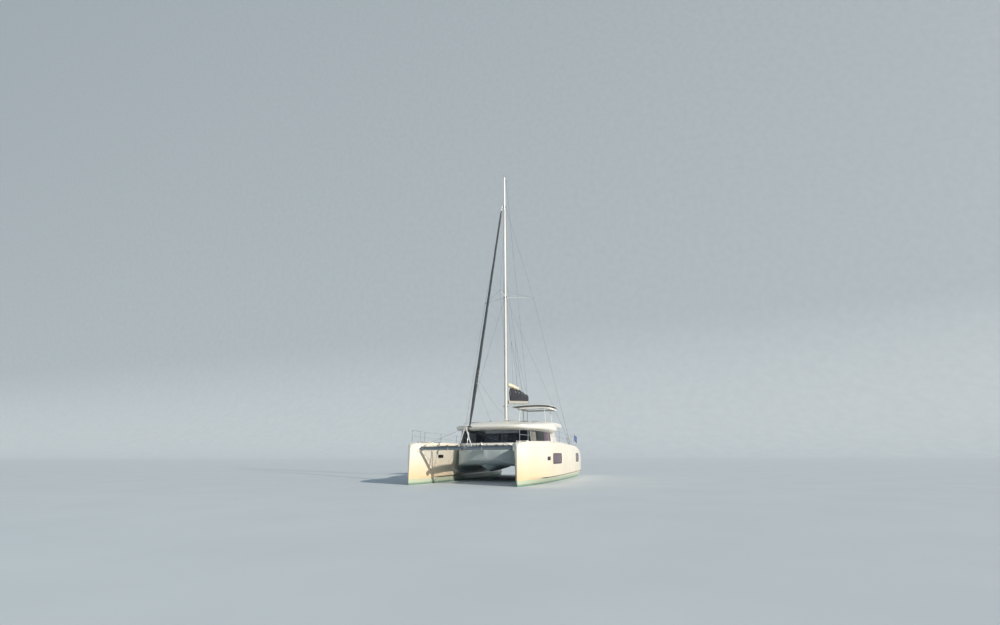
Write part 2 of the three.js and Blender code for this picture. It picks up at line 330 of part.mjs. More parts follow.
// ---------------------------------------------------------------- steering and drives
const rudderRing = (z, x0, x1, t) => [[x0, 0], [x0 - 0.15 * (x0 - x1), 0.75 * t], [x0 - 0.4 * (x0 - x1), t], [x0 - 0.75 * (x0 - x1), 0.5 * t], [x1, 5], [x1, -5], [x0 - 0.75 * (x0 - x1), -0.5 * t], [x0 - 0.4 * (x0 - x1), -t], [x0 - 0.15 * (x0 - x1), -0.75 * t]].map(([x, y]) => [x, HULL_Y + y, z]);
pair("rudder", "antifoul", join(loft([rudderRing(-1150, RUDDER_X + 90, RUDDER_X - 170, 24), rudderRing(-700, RUDDER_X + 130, RUDDER_X - 250, 34), rudderRing(-320, RUDDER_X + 150, RUDDER_X - 290, 42)]), bar([[RUDDER_X, HULL_Y, -500], [RUDDER_X, HULL_Y, 40]], 36, 36, 12)));
pair("saildrive", "white", cut(join(loft([[-300, 170, 70], [-520, 120, 48], [-760, 100, 40]].map(([z, a, b]) => Array.from({ length: 12 }, (_, k) => [DRIVE_X + a * Math.cos((k * Math.PI) / 6), HULL_Y + b * Math.sin((k * Math.PI) / 6), z]))),
  bar([[DRIVE_X + 190, HULL_Y, PROP_Z + 20], [DRIVE_X + 120, HULL_Y, PROP_Z], [DRIVE_X - 60, HULL_Y, PROP_Z], [PROP_X + 62, HULL_Y, PROP_Z]], [18, 70, 70, 52], [18, 70, 70, 52], 12), block(DRIVE_X - 60, DRIVE_X + 60, HULL_Y - 20, HULL_Y + 20, -800, -700)), hullLoft(GAP)));
const blade = (a) => loft([[40, 45, 12], [110, 62, 9], [190, 66, 6], [235, 34, 4]].map(([r, c, t]) => {
  const tw = 1.05 - 0.0022 * r, u = [Math.cos(tw), Math.sin(tw)], v = [-u[1], u[0]];
  return [[-c, 0], [0, t], [c, 0], [0, -t]].map(([p, q]) => { const x = p * u[0] + q * v[0], y = p * u[1] + q * v[1]; return [PROP_X + x, HULL_Y + y * Math.cos(a) - r * Math.sin(a), PROP_Z + y * Math.sin(a) + r * Math.cos(a)]; });
}));
pair("propeller", "bronze", join(toSolid(new THREE.LatheGeometry([[0, -62], [40, -55], [52, 0], [52, 50], [0, 50]].map(([r, y]) => new THREE.Vector2(r, y)), 16).rotateZ(-Math.PI / 2)).translate([PROP_X, HULL_Y, PROP_Z]), blade(0), blade((2 * Math.PI) / 3), blade((4 * Math.PI) / 3)));
pair("engine", "engine", block(BAY.x0 + 50, BAY.x1 - 50, HULL_Y - 230, HULL_Y + 230, BAY.z + GAP, 620));
pair("engine_lid", "deck", join(block(BAY.x0 - 35, BAY.x1 + 35, BAY.y0 - 35, BAY.y1 + 35, SOLE_Z + GAP, SOLE_Z + 28)));
pair("forepeak_lid", "deck", block(PEAK.x0 - 35, PEAK.x1 + 35, PEAK.y0 - 35, PEAK.y1 + 35, deckZ(4500) + GAP, deckZ(4500) + 28));
// Folding swim ladder on the port transom
add("swim_ladder", "steel", join(...[LADDER.y0, LADDER.y1].map((y) => bar([[LADDER.x, y, LADDER.z], [LADDER.x, y, LADDER.z + 560]], 14, 14, 8)), ...[150, 350, 545].map((h) => bar([[LADDER.x, LADDER.y0, LADDER.z + h], [LADDER.x, LADDER.y1, LADDER.z + h]], 16, 12, 8))));

// ---------------------------------------------------------------- rails and deck gear
const railPipe = (pts, r = 12.5, sides = 8) => bar(pts, r, r, sides);
// Bow rails: columns: x, y of the foot on deck
const PULPIT = [[6100, 2872], [5500, 2972], [5030, 2980]];
const railZ = deckZ(5500) + 615;
pair("pulpit", "steel", join(...PULPIT.map(([x, y]) => railPipe([[x + 1, y, deckZ(x) + 4], [x + 1, y, railZ - 4]], 10.5)), railPipe([[6170, 2720, railZ - 40], [6190, 2800, railZ], [6100, 2872, railZ], [5500, 2972, railZ], [5015, 2980, railZ]]),
  railPipe([[6168, 2722, railZ - 42], [6150, 2722, deckZ(6150) + 4]], 10.5), railPipe([[6105, 2871, railZ - 300], [5500, 2973, railZ - 300], [5027, 2980, railZ - 300]], 8)));
// Stanchions along the side decks: columns: x, y
const STANCHIONS = [[3300, 3620], [1000, 3700], [-1320, 3700], [-2650, 3690]];
const lineZ = (x, h) => deckZ(x) + h;
const wire = (h) => railPipe([[4930, 3010, lineZ(4930, h)], ...STANCHIONS.map(([x, y]) => [x, y + 1, lineZ(x, h)]), [-3641, 3672, lineZ(-3641, h)]], 4, 6);
pair("guardrail", "steel", join(...STANCHIONS.map(([x, y]) => railPipe([[x, y, deckZ(x) + 3], [x, y, lineZ(x, 620)]], 12.5, 8)), wire(607), wire(307),
  ...[-3640, -4200].map((x) => railPipe([[x, 3671, deckZ(x) + 3], [x, 3671, 2517]], 10.5)), railPipe([[-3600, 3670, 2521], [-4200, 3670, 2521], [-4560, 3670, 2420], [-4700, 3665, 1850]]), railPipe([[-3642, 3672, 2221], [-4618, 3671, 2221]], 8)));
add("windlass", "steel", join(toSolid(new THREE.CylinderGeometry(75, 90, 120, 20).rotateX(Math.PI / 2)).translate([3330 + 380, 0, 1911]), toSolid(new THREE.CylinderGeometry(50, 60, 100, 20).rotateX(Math.PI / 2)).translate([3330 + 380, 0, 2010])));
const winchShape = new THREE.LatheGeometry([[0, 0], [92, 0], [88, 30], [62, 60], [60, 130], [78, 165], [70, 185], [0, 190]].map(([r, y]) => new THREE.Vector2(r, y)), 20).rotateX(Math.PI / 2);
add("winch", "steel", toSolid(winchShape).translate([-2990, 480, 3060 + GAP]));

// ---------------------------------------------------------------- rig
const strut = bar([[MAST_X + 60, 0, SPREADER_Z + 60], [480, 0, SPREADER_Z + 160]], 26, 26, 8);
add("mast", "white", join(strut, bar([[MAST_X, 0, MAST_FOOT_Z], [MAST_X, 0, 14000], [MAST_X, 0, MAST_TOP_Z]], [85, 85, 70], [135, 135, 110], 14).translate([0, 0, 0]),
  bar([[MAST_X - 50, 0, MAST_TOP_Z - 60], [MAST_X - 420, 0, MAST_TOP_Z - 10]], 30, 40, 8),
  block(GOOSE_X + 42, MAST_X - 80, -22, 22, GOOSE_Z - 100, GOOSE_Z - 72), block(GOOSE_X + 42, MAST_X - 80, -22, 22, GOOSE_Z + 72, GOOSE_Z + 100),
  block(GOOSE_X - 22, GOOSE_X + 43, -22, 22, GOOSE_Z - 100, GOOSE_Z - 72), block(GOOSE_X - 22, GOOSE_X + 43, -22, 22, GOOSE_Z + 72, GOOSE_Z + 100)));
pair("spreader", "white", bar([[MAST_X - 40, 104, SPREADER_Z], [MAST_X - 800, 1750, SPREADER_Z + 30]], [60, 42], [22, 16], 8));
pair("cap_shroud", "steel", bar([[MAST_X, 90, HOUNDS_Z], [MAST_X - 800, 1768, SPREADER_Z + 30], [-2300, 3690, deckZ(-2300) + 12]], 7, 7, 6));
// Boom: box section with the rounded edges of an extrusion, and its sail bag
const boomAt = (t, dz = 0) => [GOOSE_X - 60 + (BOOM_END_X - GOOSE_X + 60) * t, 0, GOOSE_Z + (BOOM_END_Z - GOOSE_Z) * t + dz];
add("boom", "alloy", join(bar([boomAt(0), boomAt(1)], 75, 100, 12), block(GOOSE_X - 75, GOOSE_X - 24 + 40, -20, 20, GOOSE_Z - 60, GOOSE_Z + 60)));
add("sail_bag", "cloth", join(bar([boomAt(0.105, 495), boomAt(0.135, 518), boomAt(0.24, 512), boomAt(0.42, 482), boomAt(0.48, 492), boomAt(0.7, 420), boomAt(0.94, 305), boomAt(0.99, 268)], [60, 115, 152, 160, 160, 146, 112, 60], [330, 411, 408, 377, 387, 316, 201, 154], 12),
  bar([boomAt(0.06, 1112), boomAt(0.1, 1108), boomAt(0.2, 1062), boomAt(0.4, 962), boomAt(0.47, 925)], [80, 106, 112, 106, 60], [80, 106, 150, 150, 60], 8)));
const STAY0 = [MAST_X + 760, 0, 17850], STAY1 = [5370, 0, 2830];
const stayAt = (t) => STAY0.map((a, k) => a + (STAY1[k] - a) * t);
add("furled_genoa", "cloth", join(bar([[MAST_X + 140, 0, FORESTAY_Z + 1100], stayAt(0.01)], 9, 9, 6), bar([0, 0.03, 0.3, 0.6, 0.8, 0.84, 0.96, 1].map(stayAt), [28, 50, 66, 76, 84, 92, 62, 36], [28, 50, 66, 76, 84, 92, 62, 36], 10)));
add("furler_drum", "black", bar([stayAt(1.002), stayAt(1.006), stayAt(1.016), stayAt(1.02)], [50, 105, 105, 50], [50, 105, 105, 50], 16));
export default boat;
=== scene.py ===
# Looks of the sailing catamaran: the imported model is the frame, and every piece rides on one of its bodies.
import bpy, bmesh, json, math, random
import numpy as np
from mathutils import Vector, Matrix

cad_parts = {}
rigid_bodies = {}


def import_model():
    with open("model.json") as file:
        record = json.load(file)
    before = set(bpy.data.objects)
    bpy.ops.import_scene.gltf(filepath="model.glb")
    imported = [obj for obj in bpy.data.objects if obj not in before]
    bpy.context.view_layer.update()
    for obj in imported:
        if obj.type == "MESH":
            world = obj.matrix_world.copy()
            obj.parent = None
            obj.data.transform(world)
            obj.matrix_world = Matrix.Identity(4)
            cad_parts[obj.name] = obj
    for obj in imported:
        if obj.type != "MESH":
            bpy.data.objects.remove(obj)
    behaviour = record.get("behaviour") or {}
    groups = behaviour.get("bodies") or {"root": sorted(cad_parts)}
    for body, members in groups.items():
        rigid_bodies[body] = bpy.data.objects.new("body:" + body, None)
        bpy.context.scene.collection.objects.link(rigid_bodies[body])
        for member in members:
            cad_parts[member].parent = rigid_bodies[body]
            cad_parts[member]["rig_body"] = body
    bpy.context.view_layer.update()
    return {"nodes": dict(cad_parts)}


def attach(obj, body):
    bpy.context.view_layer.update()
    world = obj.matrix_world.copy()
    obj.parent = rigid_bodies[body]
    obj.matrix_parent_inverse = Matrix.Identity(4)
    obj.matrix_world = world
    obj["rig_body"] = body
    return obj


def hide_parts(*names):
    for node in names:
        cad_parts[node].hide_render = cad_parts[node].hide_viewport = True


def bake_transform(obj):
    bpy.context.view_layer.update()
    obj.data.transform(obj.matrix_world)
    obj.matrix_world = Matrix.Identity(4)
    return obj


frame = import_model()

BOAT = "boat"
rnd = random.Random(11)

# ------------------------------------------------------------------ camera
# Fitted to the photograph: metres, X to the bows, Y to port, Z up from the water.
CAM_AT, CAM_YAW, CAM_PITCH, CAM_ROLL, CAM_LENS = (28.317, 9.437, 1.403), 0.327, 0.293, -0.004, 16.99
cy, sy, cp, sp = math.cos(CAM_YAW), math.sin(CAM_YAW), math.cos(CAM_PITCH), math.sin(CAM_PITCH)
look = Vector((-cy * cp, -sy * cp, sp))
side = Vector((-sy, cy, 0.0))
over = side.cross(look)
cr, sr = math.cos(CAM_ROLL), math.sin(CAM_ROLL)
right, up = side * cr + over * sr, over * cr - side * sr
cam = bpy.data.objects.new("camera", bpy.data.cameras.new("camera"))
bpy.context.scene.collection.objects.link(cam)
cam.matrix_world = Matrix(((right.x, up.x, -look.x, CAM_AT[0]), (right.y, up.y, -look.y, CAM_AT[1]), (right.z, up.z, -look.z, CAM_AT[2]), (0, 0, 0, 1)))
cam.data.sensor_width = 36.0
cam.data.lens = CAM_LENS
cam.data.clip_end = 2000
bpy.context.scene.camera = cam

# ------------------------------------------------------------------ materials
def rgb(h):
    """sRGB hex to linear."""
    c = [((h >> s) & 255) / 255 for s in (16, 8, 0)]
    return tuple(x / 12.92 if x <= 0.04045 else ((x + 0.055) / 1.055) ** 2.4 for x in c) + (1.0,)


class Mat:
    """A node material: Principled with helpers that chain texture, ramps and bump."""

    def __init__(self, name, rough=0.5, metal=0.0, **sockets):
        self.m = bpy.data.materials.new(name)
        self.m.use_nodes = True
        self.t = self.m.node_tree
        self.b = self.t.nodes["Principled BSDF"]
        self.b.inputs["Metallic"].default_value = metal
        self.b.inputs["Roughness"].default_value = rough
        for k, v in sockets.items():
            self.b.inputs[k.replace("_", " ")].default_value = v
        self.coord = self.t.nodes.new("ShaderNodeTexCoord").outputs["Object"]

    def node(self, kind, **inputs):
        n = self.t.nodes.new("ShaderNode" + kind)
        for k, v in inputs.items():
            k = k.replace("_", " ")
            if hasattr(v, "is_output"):
                self.t.links.new(v, n.inputs[k])
            else:
                n.inputs[k].default_value = v
        return n

    def link(self, a, b):
        self.t.links.new(a, b)

    def scaled(self, x=1, y=1, z=1, rot=(0, 0, 0)):
        n = self.node("Mapping", Vector=self.coord)
        n.inputs["Scale"].default_value = (x, y, z)
        n.inputs["Rotation"].default_value = rot
        return n.outputs[0]

    def noise(self, scale, detail=4, rough=0.55, vec=None, distort=0.0):
        n = self.node("TexNoise", Vector=vec or self.coord, Scale=scale, Detail=detail, Roughness=rough, Distortion=distort)
        return n.outputs["Fac"]

    def wave(self, scale, vec=None, kind="BANDS", direction="X", distort=0.0, profile="SIN"):
        n = self.node("TexWave", Vector=vec or self.coord, Scale=scale, Distortion=distort)
        n.wave_type, n.wave_profile = kind, profile
        if kind == "BANDS":
            n.bands_direction = direction
        return n.outputs["Fac"]

    def voronoi(self, scale, vec=None, feature="F1"):
        n = self.node("TexVoronoi", Vector=vec or self.coord, Scale=scale)
        n.feature = feature
        return n.outputs["Distance"]

    def ramp(self, fac, *stops):
        n = self.node("ValToRGB", Fac=fac)
        e = n.color_ramp.elements
        e[0].position, e[0].color = stops[0]
        e[1].position, e[1].color = stops[-1]
        for p, c in stops[1:-1]:
            q = e.new(p)
            q.color = c
        return n.outputs["Color"]

    def map(self, fac, a, b, c, d):
        n = self.node("MapRange", Value=fac)
        for k, v in zip(("From Min", "From Max", "To Min", "To Max"), (a, b, c, d)):
            n.inputs[k].default_value = v
        return n.outputs["Result"]

    def math(self, op, a, b=0.0):
        n = self.t.nodes.new("ShaderNodeMath")
        n.operation = op
        for i, v in enumerate((a, b)):
            if hasattr(v, "is_output"):
                self.t.links.new(v, n.inputs[i])
            else:
                n.inputs[i].default_value = v
        return n.outputs[0]

    def mix(self, fac, a, b, mode="MIX"):
        n = self.t.nodes.new("ShaderNodeMix")
        n.data_type, n.blend_type = "RGBA", mode
        for sock, v in ((n.inputs[0], fac), (n.inputs[6], a), (n.inputs[7], b)):
            if hasattr(v, "is_output"):
                self.t.links.new(v, sock)
            else:
                sock.default_value = v
        return n.outputs[2]

    def color(self, out):
        self.link(out, self.b.inputs["Base Color"])
        return self

    def rough(self, out):
        self.link(out, self.b.inputs["Roughness"])
        return self

    def bump(self, height, strength=0.3, distance=0.01):
        n = self.node("Bump", Height=height, Strength=strength, Distance=distance)
        if self.b.inputs["Normal"].is_linked:
            self.link(self.b.inputs["Normal"].links[0].from_socket, n.inputs["Normal"])
        self.link(n.outputs[0], self.b.inputs["Normal"])
        return self


def height_of(m):
    return m.node("SeparateXYZ", Vector=m.coord).outputs["Z"]


def gelcoat(name, lo, hi, rough=0.28, streaks=0.35, hull=False, cool=False):
    m = Mat(name, rough=rough, Coat_Weight=0.35, Coat_Roughness=0.08)
    big = m.noise(0.55, 3, 0.5)
    base = m.mix(m.map(big, 0.35, 0.65, 0, 1), rgb(lo), rgb(hi))
    runs = m.noise(1.0, 5, 0.62, m.scaled(7.0, 7.0, 0.35))
    base = m.mix(m.map(runs, 0.52, 0.8, 0, streaks), base, rgb(0xCDBf9E if hull else 0xCFCBBD))
    fine = m.noise(38, 3, 0.6)
    base = m.mix(m.map(fine, 0.45, 0.75, 0, 0.08), base, rgb(0xB9B4A4))
    if hull:
        z = height_of(m)
        wob = m.math("MULTIPLY", m.math("SUBTRACT", m.noise(3.2, 6, 0.7), 0.5), 0.16)
        zz = m.math("ADD", z, wob)
        # warmer cream low down towards the bows, then a pale green band at the water, antifouling below
        bows = m.math("MULTIPLY", m.map(m.node("SeparateXYZ", Vector=m.coord).outputs["X"], 1.0, 6.2, 0.35, 1.0), m.map(zz, 1.45, 0.30, 0, 0.92))
        base = m.mix(bows, base, rgb(0xEFCFA0))
        # the pale green band is growth at the water, widened with painted shade and a painted greenish reflection of
        # the water
        growth_and_reflection_z = m.math("ADD", z, m.math("MULTIPLY", m.math("SUBTRACT", m.noise(4.5, 7, 0.72, m.scaled(1, 1, 0.6)), 0.5), 0.075))
        base = m.mix(m.map(growth_and_reflection_z, 0.285, 0.258, 0, 0.88), base, m.mix(m.noise(7, 5, 0.7), rgb(0xAFC2AC), rgb(0xC3D0BA)))
        slime = m.mix(m.noise(9, 6, 0.7), rgb(0x4C7467), rgb(0x6E9380))
        base = m.mix(m.map(growth_and_reflection_z, 0.13, 0.04, 0, 0.9), base, slime)
        # painted shadow under the step of the topsides, with grime
        line = m.math("ADD", z, m.math("MULTIPLY", m.node("SeparateXYZ", Vector=m.coord).outputs["X"], 0.0075))
        under = m.math("MULTIPLY", m.map(line, 0.296, 0.310, 0, 1), m.map(line, 0.3640, 0.3760, 1, 0))
        under = m.math("MULTIPLY", under, m.map(m.node("SeparateXYZ", Vector=m.coord).outputs["X"], 4.6, 4.1, 0, 0.92))
        base = m.mix(under, base, rgb(0x54564C))
        m.rough(m.map(growth_and_reflection_z, 0.285, 0.25, rough, 0.75))
        m.bump(m.noise(26, 6, 0.7), 0.15, 0.004)
    if cool:
        # painted shade: a bluish grey on the front of the bridge deck below its top, and a darker bluish grey on its
        # underside lower down
        fore = m.map(m.node("SeparateXYZ", Vector=m.coord).outputs["X"], -1.0, 1.6, 0, 0.85)
        facing = m.node("SeparateXYZ", Vector=m.node("NewGeometry").outputs["Normal"]).outputs["Z"]
        fore = m.math("MULTIPLY", m.math("MULTIPLY", fore, m.map(facing, 0.75, 0.35, 0, 1)), m.map(height_of(m), 1.97, 1.86, 0, 1))
        base = m.mix(fore, base, m.mix(m.map(m.noise(2.2, 5, 0.65), 0.35, 0.7, 0, 1), rgb(0xB9CACF), rgb(0xCDD9DB)))
        base = m.mix(m.map(height_of(m), 1.05, 0.72, 0, 0.35), base, rgb(0x8FA3A6))
    m.color(base)
    m.bump(m.noise(1.6, 2, 0.5), 0.10, 0.012)
    return m.m


M = {}
M["hull"] = gelcoat("hull_gelcoat", 0xF2EBD9, 0xFAF5E8, 0.26, 0.24, hull=True)
M["gel"] = gelcoat("white_gelcoat", 0xF0EEE6, 0xF8F6F0, 0.28, 0.18)
M["under"] = gelcoat("shaded_gelcoat", 0xE2E2DC, 0xECEBE5, 0.4, 0.35, cool=True)


def nonslip():
    m = Mat("nonslip_deck", rough=0.62)
    base = m.mix(m.map(m.noise(2.2, 5, 0.6), 0.4, 0.7, 0, 1), rgb(0xDEDCD2), rgb(0xCECBBF))
    base = m.mix(m.map(m.noise(14, 4, 0.7), 0.5, 0.8, 0, 0.35), base, rgb(0xB5B0A2))
    m.color(base)
    d = m.math("MULTIPLY", m.wave(26, m.scaled(rot=(0, 0, 0.785)), direction="X"), m.wave(26, m.scaled(rot=(0, 0, 0.785)), direction="Y"))
    m.bump(d, 0.5, 0.003)
    return m.m


M["nonslip"] = nonslip()


def glass(name, tint, alpha, rough=0.04):
    m = Mat(name, rough=rough, Alpha=alpha, IOR=1.49, Specular_IOR_Level=0.6)
    m.color(m.mix(m.map(m.noise(1.3, 3, 0.5), 0.35, 0.7, 0, 1), rgb(tint), rgb(tint + 0x040507)))
    m.rough(m.map(m.noise(6, 5, 0.6), 0.4, 0.8, rough, rough + 0.07))
    return m.m


M["glass"] = glass("smoked_glass", 0x0B0E13, 0.62)
M["sideglass"] = glass("smoked_side_glass", 0x0F1216, 0.34)
M["hullglass"] = glass("hull_window_glass", 0x604A57, 1.0, 0.09)
M["darkglass"] = glass("dark_portlight", 0x1A1613, 1.0, 0.07)


def metal(name, lo, hi, rough, brush=(60, 60, 1.5), strength=0.12):
    m = Mat(name, rough=rough, metal=1.0)
    m.color(m.mix(m.noise(3.5, 4, 0.6), rgb(lo), rgb(hi)))
    s = m.noise(9, 5, 0.6, m.scaled(*brush))
    m.rough(m.map(s, 0.3, 0.7, max(0.05, rough - 0.07), rough + 0.09))
    m.bump(s, strength, 0.0006)
    return m.m


M["steel"] = metal("polished_stainless", 0xD9DBDC, 0xF2F3F3, 0.24)
M["wire"] = metal("stainless_wire", 0x5E6468, 0x7A8085, 0.45)
M["beam"] = metal("grey_anodised_tube", 0x848C93, 0x9CA4AA, 0.42, (60, 1.5, 60))
M["alloy"] = metal("anodised_alloy", 0x9FA4A8, 0xBBC0C3, 0.36, (60, 1.5, 60))
M["bronze"] = metal("bronze", 0x8E6A33, 0xB9924E, 0.36)


def paint(name, lo, hi, rough=0.35, fine=30.0, bump=0.06):
    m = Mat(name, rough=rough, Coat_Weight=0.2, Coat_Roughness=0.15)
    base = m.mix(m.map(m.noise(1.1, 4, 0.6), 0.35, 0.7, 0, 1), rgb(lo), rgb(hi))
    base = m.mix(m.map(m.noise(fine, 4, 0.65), 0.55, 0.85, 0, 0.25), base, rgb(max(0, lo - 0x1A1A1A)))
    m.color(base)
    m.rough(m.map(m.noise(7, 4, 0.6), 0.3, 0.75, rough - 0.05, rough + 0.12))
    m.bump(m.noise(fine * 6, 2, 0.5), bump, 0.001)
    return m.m


M["mast"] = paint("mast_paint", 0xEFEFEB, 0xF8F8F5, 0.3)
M["boomalloy"] = paint("boom_paint", 0xB4B1A7, 0xC2BFB5, 0.4)
M["striker"] = paint("striker_paint", 0xC9C8CC, 0xD6D5D8, 0.4)
M["white"] = paint("white_powder_coat", 0xEDEDE8, 0xF6F6F2, 0.35)
M["black"] = paint("black_plastic", 0x1D1E20, 0x2A2B2D, 0.5)
M["grey"] = paint("grey_plastic", 0x6E7275, 0x808487, 0.55)
M["rubber"] = paint("grey_rubber", 0x33353A, 0x44474C, 0.75, 60, 0.2)
M["engine"] = paint("engine_paint", 0x5C6B62, 0x6F7E74, 0.5)
M["window_rim"] = paint("window_rim", 0x2E231A, 0x3C2F25, 0.55)
M["mullion"] = paint("mullion_paint", 0x7F8487, 0x92979A, 0.45)
M["antifoul"] = paint("antifouling", 0x2C5F68, 0x3D757C, 0.85, 18, 0.4)
M["blue"] = paint("blue_cloth_dye", 0x34538A, 0x43659E, 0.85)


def cloth(name, lo, hi, weave=420.0, folds=1.6, fold_depth=0.03, rough=0.88, sheen=0.25, stretch=(1, 1, 1), faded=None):
    m = Mat(name, rough=rough, Sheen_Weight=sheen, Sheen_Roughness=0.5)
    base = m.mix(m.map(m.noise(2.4, 5, 0.6), 0.35, 0.7, 0, 1), rgb(lo), rgb(hi))
    if faded:
        base = m.mix(m.map(m.noise(5.5, 6, 0.7), 0.5, 0.8, 0, 0.5), base, rgb(faded))
    tw = m.math("MULTIPLY", m.wave(weave, direction="X"), m.wave(weave, direction="Z"))
    base = m.mix(m.map(tw, 0.2, 0.9, 0, 0.18), base, rgb(max(0, lo - 0x0A0A0A)))
    m.color(base)
    m.bump(m.noise(folds, 4, 0.55, m.scaled(*stretch), 0.6), 0.6, fold_depth)
    m.bump(tw, 0.25, 0.0008)
    return m.m


M["bag"] = cloth("sail_bag_cloth", 0x282A33, 0x32343E, 380, 1.5, 0.03, sheen=0.05, stretch=(1.0, 1.0, 2.6), faded=0x3B3D48)
M["sail"] = cloth("cream_sailcloth", 0xF4EBCC, 0xFBF5E0, 500, 2.2, 0.03, 0.8, 0.1, (1.4, 1.4, 2.0))
M["genoa"] = cloth("dark_sail_cover_strip", 0x2E3439, 0x444B50, 500, 2.4, 0.012, 0.85, 0.2, (2, 2, 0.6), faded=0x5A6266)
M["seat"] = cloth("cream_seat_cloth", 0xD8D0BE, 0xE6DFCF, 700, 3.0, 0.006, 0.8, 0.15)
M["settee"] = cloth("grey_settee_cloth", 0x8F8A80, 0xA39D91, 700, 3.0, 0.006, 0.9, 0.3)
M["canvas"] = cloth("white_canvas", 0xE9E8E2, 0xF5F4EF, 380, 1.4, 0.008, 0.8, 0.15)
M["curtain_white"] = cloth("pale_curtain", 0xF2F3EE, 0xFCFCFA, 600, 2.0, 0.02, 0.85, 0.2, (6, 6, 0.4))
M["curtain_rose"] = cloth("rose_curtain", 0xC995B8, 0xE0B4D0, 600, 2.0, 0.02, 0.85, 0.2, (6, 6, 0.4))
# dark cloth under the bimini canopy: painted shade of its underside
M["bimini_cloth"] = cloth("bimini_lining", 0x2F3136, 0x3D4046, 380, 1.2, 0.015)
M["rope_w"] = None


def rope(name, lo, hi, fleck):
    m = Mat(name, rough=0.8, Sheen_Weight=0.3)
    w = m.wave(90, m.scaled(1, 1, 1, (0.6, 0.5, 0.4)), distort=1.0)
    base = m.mix(m.map(w, 0.3, 0.8, 0, 1), rgb(lo), rgb(hi))
    m.color(m.mix(m.map(m.noise(160, 2, 0.5), 0.6, 0.75, 0, 0.7), base, rgb(fleck)))
    m.bump(w, 0.5, 0.002)
    return m.m


M["rope_w"] = rope("white_rope", 0xB9B6AA, 0xD8D5CA, 0x7F8FA8)
M["rope_d"] = rope("dark_rope", 0x2B2D33, 0x3E4149, 0x7A7F88)
M["rope_g"] = rope("grey_rope", 0x6F7276, 0x8A8D90, 0xB9B6AA)
M["net"] = rope("trampoline_cord", 0x2A2C31, 0x3A3D43, 0x55585E)


def wood():
    m = Mat("varnished_wood", rough=0.35, Coat_Weight=0.4, Coat_Roughness=0.1)
    g = m.noise(2.2, 7, 0.65, m.scaled(1.2, 14, 14), 1.2)
    m.color(m.ramp(g, (0.3, rgb(0x5A3820)), (0.5, rgb(0x8A5A34)), (0.72, rgb(0xA97848))))
    m.bump(g, 0.15, 0.001)
    return m.m


M["wood"] = wood()

# ------------------------------------------------------------------ mesh helpers
def mm(*p):
    return tuple(v / 1000.0 for v in p)


def outwards(me):
    bm = bmesh.new()
    bm.from_mesh(me)
    bmesh.ops.recalc_face_normals(bm, faces=bm.faces)
    if bm.calc_volume(signed=True) < 0:
        bmesh.ops.reverse_faces(bm, faces=bm.faces)
    bm.to_mesh(me)
    bm.free()


def obj_from(name, verts, faces, mat, body=BOAT, smooth=35, slots=None):
    me = bpy.data.meshes.new(name)
    me.from_pydata([tuple(v) for v in verts], [], [tuple(f) for f in faces])
    me.validate()
    o = bpy.data.objects.new(name, me)
    bpy.context.scene.collection.objects.link(o)
    for k in mat if isinstance(mat, (list, tuple)) else [mat]:
        me.materials.append(M[k] if isinstance(k, str) else k)
    if slots is not None:
        for p, s in zip(me.polygons, slots):
            p.material_index = s
    outwards(me)
    shade(o, smooth)
    if body:
        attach(o, body)
    return o


def shade(o, angle=35):
    me = o.data
    if angle <= 0:
        me.polygons.foreach_set("use_smooth", [False] * len(me.polygons))
        return
    me.polygons.foreach_set("use_smooth", [True] * len(me.polygons))
    bm = bmesh.new()
    bm.from_mesh(me)
    lim = math.radians(angle)
    for e in bm.edges:
        e.smooth = len(e.link_faces) == 2 and e.calc_face_angle(9) < lim
    bm.to_mesh(me)
    bm.free()


def apply_mods(o):
    dg = bpy.context.evaluated_depsgraph_get()
    me = bpy.data.meshes.new_from_object(o.evaluated_get(dg))
    o.modifiers.clear()
    old, o.data = o.data, me
    if not old.users:
        bpy.data.meshes.remove(old)
    return o


def raw(name, verts, faces):
    """A helper mesh for a boolean: linked, but removed after use."""
    me = bpy.data.meshes.new(name)
    me.from_pydata([tuple(v) for v in verts], [], [tuple(f) for f in faces])
    outwards(me)
    o = bpy.data.objects.new(name, me)
    bpy.context.scene.collection.objects.link(o)
    return o


def boolean(o, tools, op="DIFFERENCE", keep=False):
    """Cuts, joins or intersects with each tool in turn; the second solver takes over where the first gives nothing."""
    for t in tools:
        kept = o.data.copy()
        for solver in ("MANIFOLD", "EXACT"):
            mod = o.modifiers.new("b", "BOOLEAN")
            mod.operation, mod.object, mod.solver = op, t, solver
            apply_mods(o)
            if len(o.data.polygons) > 3:
                break
            o.data = kept.copy()
    if not keep:
        for t in tools:
            bpy.data.objects.remove(t, do_unlink=True)
    return o


def bevel(o, width, segments=2, angle=30, weld=True):
    if weld:
        bm = bmesh.new()
        bm.from_mesh(o.data)
        bmesh.ops.remove_doubles(bm, verts=bm.verts, dist=1e-5)
        bmesh.ops.dissolve_degenerate(bm, edges=bm.edges, dist=1e-5)
        bm.to_mesh(o.data)
        bm.free()
    mod = o.modifiers.new("bevel", "BEVEL")
    mod.width, mod.segments, mod.limit_method, mod.angle_limit = width, segments, "ANGLE", math.radians(angle)
    mod.use_clamp_overlap = True
    return apply_mods(o)


def loft(rings, closed=True, caps=True):
    """verts, faces through rings of equal length."""
    n = len(rings[0])
    verts = [p for r in rings for p in r]
    faces = []
    for i in range(len(rings) - 1):
        for k in range(n if closed else n - 1):
            a, b = i * n + k, i * n + (k + 1) % n
            faces.append((a, b, b + n, a + n))
    if caps:
        faces.append(tuple(range(n))[::-1])
        faces.append(tuple((len(rings) - 1) * n + k for k in range(n)))
    return verts, faces


